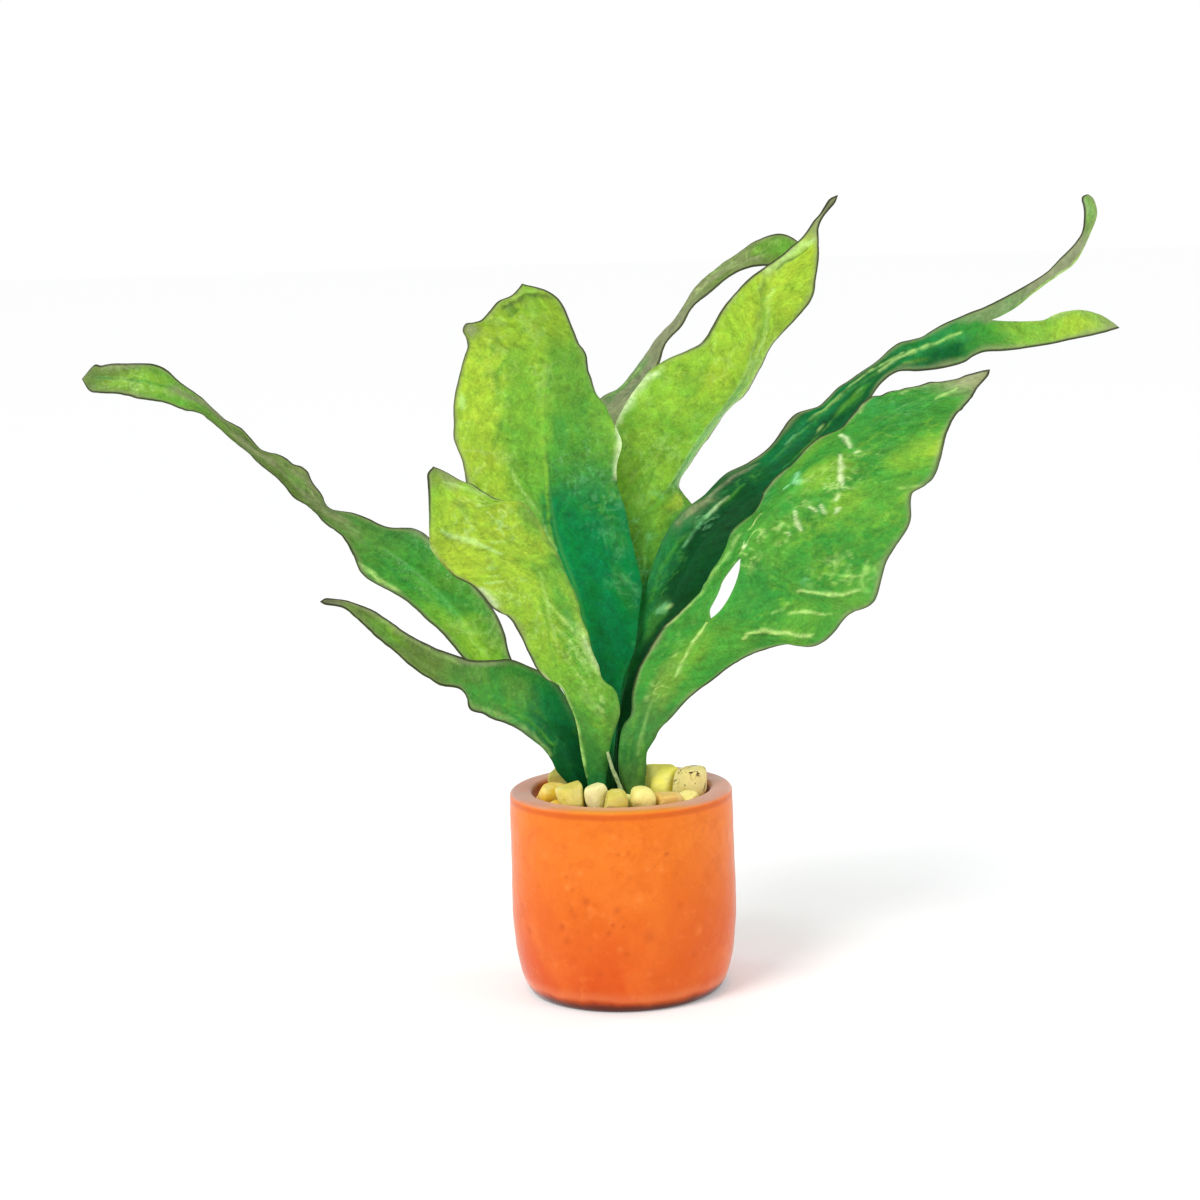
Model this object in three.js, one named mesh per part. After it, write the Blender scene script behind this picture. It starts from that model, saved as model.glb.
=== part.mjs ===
// Microsorum fern in a round terracotta pot.
// Millimetres, +Z up. The origin is the centre of the pot's flat underside; +X is to the right and
// -Y to the front of the plant. Every blade, stone and vessel is a separate closed solid.

import * as THREE from 'three';
import { ConvexGeometry } from 'three/addons/geometries/ConvexGeometry.js';
import { mergeVertices } from 'three/addons/utils/BufferGeometryUtils.js';

// ---- driving dimensions (mm) ----
const POT_RIM_RADIUS = 60;          // outside of the rim
const POT_SIDE_RADIUS = 60.7;       // the wall swells very slightly below the rim
const POT_HEIGHT = 110.3;
const POT_CORNER_WIDE = 11.2;       // rounded foot: horizontal and vertical reach of the curve
const POT_CORNER_HIGH = 47.8;
const POT_WALL = 11.7;              // wall thickness at the rim
const POT_FLOOR = 13;               // thickness of the floor
const RIM_EDGE = 1.6;               // rounding of the rim's two edges
const SIDES = 60;                   // facets round the pot

const GAP = 0.35;                   // clearance between pieces that touch
const MIX_TOP = 88.25;              // top of the potting mix
const STONE_BED = 88.6;             // stones rest from here upwards

const RHIZOME = { x: -6.5, y: 5, z: 94.45, rx: 21.5, ry: 19, rz: 5.85 };
const FOOT_Z = 100.6;               // the fronds' stalks stand on the rhizome at this height

const BLADE = 1.2;                  // blade thickness
const STALK = 4.2;                  // stalk thickness at the foot
const STALK_LENGTH = 48;            // the stalk thins to the blade over this length
const BLADE_COLUMNS = 2;            // strips across each half of a blade

// Each frond is a list of ribs from foot to tip. A rib gives the first margin, the midrib and the
// second margin as [x, y, z]. Where the blade is parted at the midrib, by a fork or by an opening,
// the rib has four points: margin, midrib side one, midrib side two, margin.
const FRONDS = [
  {
    name: 'frond_left_long',
    color: 0x5aa046,
    camber: 0.07,
    rows: [
    [[-14,9,100.6],[-17,9,100.6],[-20,9,100.6]],
    [[-19.3,9.9,114.1],[-22,9.5,113.4],[-24.9,9.2,112.3]],
    [[-25.4,11.3,126.9],[-28.5,10.5,125],[-31.7,9.7,122.9]],
    [[-32.6,13.2,138.8],[-36,11.9,135.9],[-39.8,10.6,132.6]],
    [[-40.1,16,150],[-44.3,14.2,146.2],[-48.6,12.4,141.8]],
    [[-47.3,19.2,160.2],[-52.7,16.7,156.3],[-58.9,14.2,151.4]],
    [[-53.7,23,169.9],[-60.9,19.6,166.6],[-69.4,16.3,162.7]],
    [[-58.8,27.4,181.1],[-68.4,23.2,177.3],[-79.2,18.9,174.8]],
    [[-61.9,32.7,193.6],[-75.4,27.8,188.2],[-89.4,22.8,186.7]],
    [[-67,38.2,203.6],[-82.9,32.6,198.9],[-98.5,27.1,196.7]],
    [[-74.2,44.1,213.1],[-91.4,38,208.9],[-108.3,31.9,205.2]],
    [[-83.8,51,223.9],[-100.9,44.2,218],[-118.6,37.5,213]],
    [[-94.4,57.9,234.7],[-111.1,50.5,226.6],[-131.8,43.1,219.4]],
    [[-106.4,64.8,244.6],[-122.3,56.7,234.2],[-142.1,48.6,229]],
    [[-121.9,71.5,246.5],[-134.2,62.6,240.9],[-146.3,53.7,237.7]],
    [[-139,78.8,251.6],[-145.9,68.3,248.1],[-155,57.7,247.2]],
    [[-154.5,84.6,255.9],[-157.7,72.9,255.2],[-164.1,61.2,254.9]],
    [[-165,88.9,264.7],[-168.8,77.1,263.4],[-172.9,65.2,262.5]],
    [[-171.3,92.1,277.9],[-178.4,81.3,273.2],[-183,70.4,271.7]],
    [[-184.3,96.2,285.2],[-188.8,85,282.3],[-193.4,73.8,281.9]],
    [[-198.6,101.5,290.7],[-200.1,88.6,290.5],[-202.8,76.7,290.2]],
    [[-209.9,105.2,301.7],[-211,92,299.2],[-211.8,79.3,298.6]],
    [[-222.8,108.2,310.9],[-221.5,95.4,308.4],[-221.8,82.5,306.7]],
    [[-233.9,110.3,321.2],[-232.6,98.7,316.9],[-232.8,87.1,314.1]],
    [[-244.8,111,330.1],[-245.1,102.1,323.7],[-245.1,93.2,316.8]],
    [[-255.2,111,339],[-258.2,104.7,328.9],[-258.8,98.6,320.4]],
    [[-270,112.4,341.1],[-272.1,107.3,332.6],[-272.8,102.1,323.6]],
    [[-285.2,114.8,341],[-286.5,110.3,333.7],[-286.1,105.9,324.8]],
    [[-300.8,112.5,333],[-300.8,112.5,333],[-300.8,112.5,333]],
    ],
  },
  {
    name: 'frond_left_low',
    color: 0x5a9638,
    camber: 0.08,
    rows: [
    [[-20,-3,100.6],[-23,-3,100.6],[-26,-3,100.6]],
    [[-18.3,-3.2,111],[-23.4,-4.5,110.6],[-26.5,-4.8,109.8]],
    [[-17.5,-3.6,121.8],[-25.6,-6.5,120],[-31,-7.2,117.5]],
    [[-18.8,-4.3,132.8],[-29.3,-8.7,128.7],[-35.5,-9.8,125.4]],
    [[-21.2,-6,143.8],[-34.1,-11.4,137.1],[-39.7,-13.1,133.5]],
    [[-25.5,-7.9,156.7],[-39.5,-14.8,145.1],[-45.5,-17.2,140.2]],
    [[-32.7,-10,170.3],[-45.8,-19,152.3],[-51.7,-22,146.2]],
    [[-41.7,-13.4,177.9],[-53.3,-23.2,157.8],[-58.4,-26.9,151.7]],
    [[-51.4,-17.7,183.2],[-60.9,-27.8,163.1],[-65.7,-31.9,155.1]],
    [[-61.7,-23.2,186.5],[-68.1,-33.2,169],[-71.8,-37.2,160]],
    [[-70.8,-29.7,187],[-75.4,-39.1,174.5],[-78.7,-43,165.8]],
    [[-79,-36.8,189.3],[-83.1,-45.3,179.3],[-82.9,-49.6,175.7]],
    [[-86.8,-43.7,193.5],[-90.6,-51.7,184.1],[-91.4,-56.9,179.2]],
    [[-95.1,-50.3,198.3],[-97.6,-58.3,189.8],[-97,-64.3,183.7]],
    [[-101.4,-57.2,202.8],[-104.2,-64.8,195.9],[-103.9,-70.9,191.1]],
    [[-107.1,-64,207.8],[-110.3,-70.9,202.4],[-111.2,-76.9,198.7]],
    [[-113.6,-70.3,213.7],[-116,-76.8,209.3],[-117.4,-82.2,205.7]],
    [[-119.7,-76.7,219.8],[-121.8,-82.5,215.9],[-123.4,-87.4,212.3]],
    [[-125.9,-83.1,224.7],[-127.8,-88.4,222.1],[-128.8,-92.7,219.3]],
    [[-133.2,-90,228.8],[-134.4,-93.8,227.5],[-134.7,-96.5,225.8]],
    [[-141.7,-97,231.7],[-141.8,-99.3,230.5],[-142.2,-100.5,228.8]],
    [[-147,-103,231.2],[-147,-103,231.2],[-147,-103,231.2]],
    ],
  },
  {
    name: 'frond_front',
    color: 0xa6c83c,
    camber: 0.06,
    rows: [
    [[-16,-10,100.6],[-13,-10,100.6],[-10,-10,100.6]],
    [[-17.3,-10.3,111.3],[-11.5,-10.3,111.6],[-8.6,-10.2,111.9]],
    [[-19.1,-11.2,122.3],[-11.8,-11.2,122.5],[-7.2,-10.6,122.9]],
    [[-20.8,-12.6,133.6],[-13.6,-12.5,133.2],[-5.6,-11.3,133.8]],
    [[-22.2,-16.1,145.5],[-16.4,-15.1,144],[-2.6,-13.1,144.3]],
    [[-24.6,-19.7,156.6],[-19.9,-18.2,154.6],[0.4,-15.2,154.1]],
    [[-28.7,-23.8,167.4],[-24.7,-21.6,164.5],[-0.7,-17.3,165.3]],
    [[-37.2,-28.5,175.2],[-30.3,-25.4,174],[-9.2,-19.2,174.8]],
    [[-44.8,-33.1,187.6],[-34.5,-29.2,184.2],[-12.2,-21.5,185]],
    [[-49,-38.5,197.8],[-36.7,-34,195.1],[-14.9,-24.9,194.3]],
    [[-52.2,-44.4,206.8],[-38.5,-39.2,206.1],[-17.3,-28.9,203.6]],
    [[-57.2,-50.4,213.7],[-41.4,-44.6,216.7],[-19.7,-32.9,213.5]],
    [[-65.4,-55.5,220.5],[-46.1,-49,226.3],[-22.6,-36.4,224.9]],
    [[-72.2,-59.7,229.5],[-52.4,-52.6,234.6],[-26.3,-39.6,236.1]],
    [[-79.3,-62.9,234.7],[-59.6,-55.9,242],[-30.6,-42.8,245.2]],
    [[-85.9,-66.3,240.6],[-66.3,-59.2,249.7],[-35.1,-46.5,254]],
    [[-91.1,-69.4,248.1],[-72.4,-62.4,257.9],[-39.8,-50.6,263.7]],
    [[-93.8,-71.6,256.6],[-77.8,-65.3,266.5],[-48.7,-54.9,273.6]],
    [[-93.4,-72.8,268.1],[-82.6,-67.7,275.4],[-59.7,-59.3,275]],
    [[-93.4,-73,281.2],[-87,-69.9,284.3],[-70.9,-64.2,283]],
    [[-90.2,-73,293.9],[-90.2,-73,293.9],[-90.2,-73,293.9]],
    ],
  },
  {
    name: 'frond_centre',
    color: 0x6fae3c,
    camber: 0.06,
    rows: [
    [[-9,1,100.6],[-6,1,100.6],[-3,1,100.6]],
    [[-9.5,1.2,112.8],[-6.4,1.2,112.8],[-3.9,1.2,112.7]],
    [[-12.3,1.8,124.9],[-7.7,1.7,124.9],[-3.7,1.8,124.7]],
    [[-15.8,3.6,137],[-9,2.6,136.9],[-2.5,3.6,136.4]],
    [[-18.2,5.7,148.8],[-9.5,3.6,148.9],[-0.6,5.2,148.3]],
    [[-21.3,8.1,160.1],[-10.2,4.8,160.8],[1.4,7,160]],
    [[-25.9,10.8,170.4],[-11.8,6,172.7],[4.2,9.2,171.1]],
    [[-31,13.6,180.8],[-14,7.3,184.4],[8.4,11.5,181.8]],
    [[-36.6,16.6,191.4],[-16.3,8.7,196.1],[11.3,13.9,192.9]],
    [[-42.9,19.6,202.7],[-18.8,10.4,207.7],[13.1,16.7,204.1]],
    [[-50.2,22.5,215],[-21.7,12.1,219.2],[13.8,20.2,215]],
    [[-58.2,25.3,228.5],[-25.5,13.6,230.4],[12.8,23.3,227.3]],
    [[-66.4,27.8,242.9],[-29.3,14.9,241.7],[10.2,25.8,240.8]],
    [[-72.1,30.2,254.9],[-31.8,16.5,253.3],[7.2,28.6,252.5]],
    [[-76.3,32.1,266.1],[-33.3,18.1,265.1],[4.2,31.1,263.6]],
    [[-79,33.3,277.4],[-34.8,19.3,276.9],[2.5,33,274.8]],
    [[-81.9,34.2,288.6],[-36.1,20.2,288.7],[3.4,34.2,286.3]],
    [[-85.8,34.8,299.8],[-36.8,20.8,300.7],[3.6,34.9,297.8]],
    [[-84.7,34.8,312],[-36.4,20.9,312.6],[-0.9,34.8,309.3]],
    [[-83,33.5,324.3],[-35,20.3,324.5],[-7,33.5,320.6]],
    [[-80,31.7,336],[-33.6,19.1,336.4],[-10.8,31.7,333.9]],
    [[-76,27.7,348.3],[-33.9,16.6,348.3],[-13.7,27.7,345.9]],
    [[-76,19.2,361.4],[-36.5,11.2,360],[-18.2,19.2,355.9]],
    [[-61.8,6.9,369],[-40.8,3.2,371.1],[-22.8,6.9,369.2]],
    [[-44.3,-7,382.3],[-44.3,-7,382.3],[-44.3,-7,382.3]],
    ],
  },
  {
    name: 'frond_back_right',
    color: 0x9cc63a,
    camber: 0.06,
    rows: [
    [[-4,16.5,100.6],[-1,16.5,100.6],[2,16.5,100.6]],
    [[-4,17.4,114.6],[-1.4,17.4,114.6],[0.8,17.4,114.4]],
    [[-4.1,19.1,128.7],[-0.8,19.1,128.5],[1.7,19.1,128.3]],
    [[-4.8,22.2,143.1],[0.5,22.2,142],[3.7,22.1,142.8]],
    [[-5.9,25.7,156.5],[2.6,25.7,155.3],[6.5,25.8,156]],
    [[-7,28.6,167.7],[5.3,28.6,168.7],[9.9,29.6,166.9]],
    [[-8.1,31.4,179.9],[8.3,31.4,182.1],[14.6,33.5,178.4]],
    [[-8.9,34,195.5],[11.3,34,195.5],[22.4,37.1,192.3]],
    [[-9,36.6,211.1],[13.4,36.6,209.1],[30.7,40.9,206.6]],
    [[-8.3,39.4,225],[14.5,39.4,222.8],[38.1,44.9,221.9]],
    [[-7.1,42.3,238.7],[16.4,42.3,236.3],[43,49.5,236.2]],
    [[-5.5,45.2,251.3],[20.5,45.3,249.5],[45.8,55.5,247.4]],
    [[-3.4,48.5,267.1],[26.8,48.5,261.8],[42.6,61.9,257.9]],
    [[0.1,52.7,292.5],[34.4,51.8,273.4],[38.6,68.5,270]],
    [[3.9,55.4,304.6],[41.8,53.8,285.2],[47.8,72.9,282.1]],
    [[10.2,58.7,315.5],[49.9,56.4,296.4],[55.9,76.9,294.6]],
    [[20.4,63.1,327.8],[59,60.2,306.9],[65.2,80.6,305.2]],
    [[34.8,66.3,338.1],[67.8,63.3,317.8],[74.8,81.8,312.6]],
    [[51.1,69.4,345.1],[75.1,66.4,329.6],[81.7,82,325.1]],
    [[60.2,72.7,356.8],[80.5,69.8,342.5],[91.6,82,339.8]],
    [[66.6,75.5,367],[84.3,73.6,355.9],[102.1,82,352.7]],
    [[77.4,79.7,377.3],[88.8,77.9,369.2],[114,82.1,366.5]],
    [[91.6,82.8,387.2],[96.2,81.9,381.1],[118.3,83.4,381.2]],
    [[102.3,85.4,394.9],[106.9,84.5,390.7],[119.4,85.3,393.1]],
    [[111.5,87.6,402.9],[115.8,87.6,401.2],[119.6,87.6,402]],
    [[120.5,90.8,413.8],[121.8,90.8,413.8],[123.4,90.8,413.2]],
    [[131.5,95,424.4],[131.5,95,424.4],[131.5,95,424.4]],
    ],
  },
  {
    name: 'frond_back_strap',
    color: 0x93a26b,
    camber: 0.1,
    rows: [
    [[-13,21.5,100.6],[-10,21.5,100.6],[-7,21.5,100.6]],
    [[-9.6,24.3,117.3],[-8.3,23.8,117.4],[-5.7,23.3,117.5]],
    [[-9.9,28,134.1],[-7.8,27,134.1],[-5.4,26,134.2]],
    [[-10.9,33.3,150.4],[-8.1,31.9,150.5],[-5.5,30.5,150.7]],
    [[-12.1,39.5,166.5],[-8.9,37.7,166.8],[-5.9,35.9,167]],
    [[-13.3,45.3,182.9],[-10,42.9,183.2],[-6.4,40.5,183.5]],
    [[-14.5,50.8,199.4],[-11,47.7,199.8],[-7,44.6,200.1]],
    [[-15.4,56.2,216],[-11.6,52.4,216.5],[-7.3,48.6,216.8]],
    [[-16,61.5,232.8],[-11.7,57.2,233.2],[-7.2,52.8,233.5]],
    [[-16.2,66.7,249.5],[-11.2,62.1,249.9],[-6.1,57.2,250.2]],
    [[-15.8,72.3,266.2],[-10.1,67,266.7],[-3.8,61.9,266.9]],
    [[-14.6,78.2,282.5],[-8,71.9,283.5],[0,67,283.5]],
    [[-11.3,85.9,300.6],[-3.1,78.2,299.8],[7,73,299.1]],
    [[-1.4,94.9,316.8],[6.7,85.4,313.5],[16,79,313.1]],
    [[13.1,101.8,326.5],[19.3,90.8,325.2],[24.3,82.5,325.7]],
    [[24.5,107.2,341.3],[28.2,96.2,340],[31.1,86.1,340]],
    [[37.7,113.5,354.2],[39.3,102.5,353.3],[41,91.4,353]],
    [[48.3,117.4,369.7],[49.4,106.3,367.5],[51.5,95.3,366.3]],
    [[61.6,121.6,384],[62.7,111.3,379],[63,101.1,375]],
    [[78.9,123.9,394.5],[77.8,115.6,388.1],[77.9,107.3,384.1]],
    [[95.3,125,403.1],[94.8,120.1,393.5],[94.9,115.1,385.6]],
    [[112.2,126,397.1],[112.6,124.9,390.9],[111.8,123.7,385.8]],
    [[117.2,126,387],[117.2,126,387],[117.2,126,387]],
    ],
  },
  {
    name: 'frond_forked',
    color: 0x2f7f3c,
    camber: 0.06,
    rows: [
    [[1.5,7,100.6],[4.5,7,100.6],[7.5,7,100.6]],
    [[-1.9,8.1,117.7],[0.5,8.3,116.8],[3.8,8.5,116.4]],
    [[-1.6,10,134],[1,10,132.8],[4.9,10,132.7]],
    [[0.5,13,148.8],[4.4,12.1,148.5],[9,11.3,148.5]],
    [[3.8,15.5,162.5],[9.1,14.1,164],[15.5,12.6,163.8]],
    [[7.3,17.9,176.1],[14.9,15.9,178.9],[23.4,13.9,178.8]],
    [[11.1,20.4,190.5],[21.9,17.9,193.4],[33.8,15.4,192.9]],
    [[14.9,22.8,205.6],[29.5,19.7,207.6],[45.4,16.6,206.5]],
    [[18.8,25.2,221.2],[37.1,21.3,221.8],[55.4,17.4,221.6]],
    [[26.2,27.2,240.4],[45.2,22.5,235.7],[64.9,17.8,235.8]],
    [[36.7,29.6,253.9],[55.2,24,248.3],[75,18.5,247.9]],
    [[50,32.3,264],[66.9,25.8,259.4],[86,19.4,259.1]],
    [[63.1,34.9,275.5],[79.4,27.6,269.4],[97.3,20.3,269.3]],
    [[76.7,37.2,282.4],[92.4,29.1,279],[107.9,21.1,278]],
    [[90.2,39.6,293.5],[105,30.7,289],[120.2,21.9,287.4]],
    [[101.6,42.1,306.3],[117.2,32.4,299.5],[130.4,22.8,297.9]],
    [[120,44.8,314.9],[128.7,34,310.8],[137.9,23.3,310.2]],
    [[136.5,46.9,327.2],[140.8,35.8,321.4],[143.5,24.7,319.8]],
    [[149.1,47.5,335.4],[154,37.5,330.7],[156.2,27.5,328.7]],
    [[165.5,46.5,344.5],[167.5,39.7,339.6],[171,30.8,328.7]],
    [[180.9,46.9,351.3],[182.4,41.6,346],[185.1,33.5,330.2]],
    [[198.6,47.9,358.6],[198.1,43.8,350.8],[198.1,36.8,335.2]],
    [[209.1,49,362.5],[208.7,46,353.9],[213.2,40,337.4]],
    [[219,51.6,367],[218,48.7,357.5],[217.9,48.9,353.3],[221,42.9,337.7]],
    [[227.5,55.2,370.9],[226.5,51.9,362.3],[226.5,50.3,353],[228.3,44.3,338.5]],
    [[235.5,59.5,374.7],[234.8,55.4,368.3],[234.6,50.8,353.1],[235.3,44.8,339.3]],
    [[243.9,63.7,379.7],[244.4,58.9,374.5],[241.8,51.5,354.6],[242,45.8,340.1]],
    [[251.3,67.9,386.4],[253.2,62.7,379.7],[248.4,52,357],[248.5,47.1,341.2]],
    [[258.7,72,392.6],[260.8,67.2,385.7],[255.2,52,357.9],[254.6,47.6,342.3]],
    [[264.2,76.2,398.8],[267,72.1,395.7],[261.5,52.2,357.7],[260.9,48.5,343.3]],
    [[266.5,80.7,405.8],[271.9,77.1,404.8],[267.3,53,356.1],[267.3,49.8,344.4]],
    [[267.1,84,412.1],[273.9,81.5,411.9],[272,52.5,354],[272,50.5,345.3]],
    [[266.3,85.9,417.2],[273.3,84.8,416.6],[275.8,52,351.4],[275.7,51.1,346.3]],
    [[268.5,87.4,420.2],[271.6,87.2,419.5],[279.2,52.5,348.8],[279,52.3,347.1]],
    [[270.2,88,420.4],[270.2,88,420.4],[280.7,53,347.5],[280.7,53,347.5]],
    ],
  },
  {
    name: 'frond_front_right',
    color: 0x54a63f,
    camber: 0.05,
    rows: [
    [[6,-9,100.6],[9,-9,100.6],[12,-9,100.6]],
    [[1.4,-8.2,111.9],[6.8,-9,112.3],[12.8,-9.2,111.8]],
    [[-0.9,-8,123.8],[7.1,-9,124],[14,-9.9,123.5]],
    [[-0.1,-9.2,136.1],[9.3,-10.6,135.8],[16.7,-12.2,135.6]],
    [[3.2,-10.5,147.7],[12.9,-13.3,147.4],[23.1,-15.8,146.4]],
    [[6.8,-11.3,158.4],[17.4,-16,158.5],[31.4,-19.4,155.5]],
    [[8.7,-12.3,169.3],[23.2,-18.7,168.8],[39.9,-22.9,164.2]],
    [[11.9,-13.9,179.1],[30.4,-21.8,178.2],[48.9,-26.8,171.2]],
    [[18.1,-16.1,190.7],[37.8,-25.5,187.3],[61.3,-31.9,181.5]],
    [[24.2,-18.5,199.4],[44.1,-29.4,197.2],[73.7,-37.2,188]],
    [[31.9,-21.6,206.9],[48.9,-33.8,206.1],[87.2,-43,192]],
    [[43,-26.1,218.7],[51.9,-39.4,218.8],[57.5,-39.4,215.8],[107.1,-49.8,195.4]],
    [[50.1,-28.6,228.2],[57.1,-42.8,230.5],[62.9,-42.8,227.6],[119.1,-54,208.4]],
    [[53.8,-30.8,237.3],[65.1,-45.7,240.4],[127.1,-57.6,212.8]],
    [[59,-32.8,246.4],[70.6,-48.5,248.4],[133.7,-61.2,220.4]],
    [[65.8,-35.7,255.6],[77.1,-51.8,257.5],[136.6,-64.9,232.3]],
    [[72.3,-39.5,264.7],[83.9,-55.5,266.3],[141.1,-68.2,244.3]],
    [[78.6,-42.8,273.4],[90.9,-58.8,274.7],[147.8,-70.6,254]],
    [[86.8,-45.7,284.3],[98.4,-61.7,282.7],[150,-72.8,265.7]],
    [[95.1,-49.2,291.4],[106.3,-64.6,290.1],[154,-75,275.8]],
    [[103,-53.1,298.9],[114.7,-67.7,296.6],[161.9,-77.3,282.9]],
    [[112.6,-57.2,304.3],[123.5,-70.9,302.5],[164.6,-79.5,292.5]],
    [[121,-61.7,310.7],[132.2,-73.8,308.5],[166.4,-80.9,301.3]],
    [[128.9,-66.3,319.9],[141,-76.2,314.3],[169.9,-81.7,309.6]],
    [[138.7,-70.7,324.8],[150.3,-78.3,319],[173.5,-82.4,315.5]],
    [[150,-74.7,325.8],[160.1,-80.3,322.7],[177.6,-83.1,319.5]],
    [[163.9,-77.8,328.9],[169.9,-81.9,326.1],[181.2,-84,323.9]],
    [[177,-81.7,332.5],[179.4,-83.8,330.2],[184.6,-84.9,328.6]],
    [[188.4,-86,335.3],[188.4,-86,335.3],[188.4,-86,335.3]],
    ],
  },
];

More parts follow.
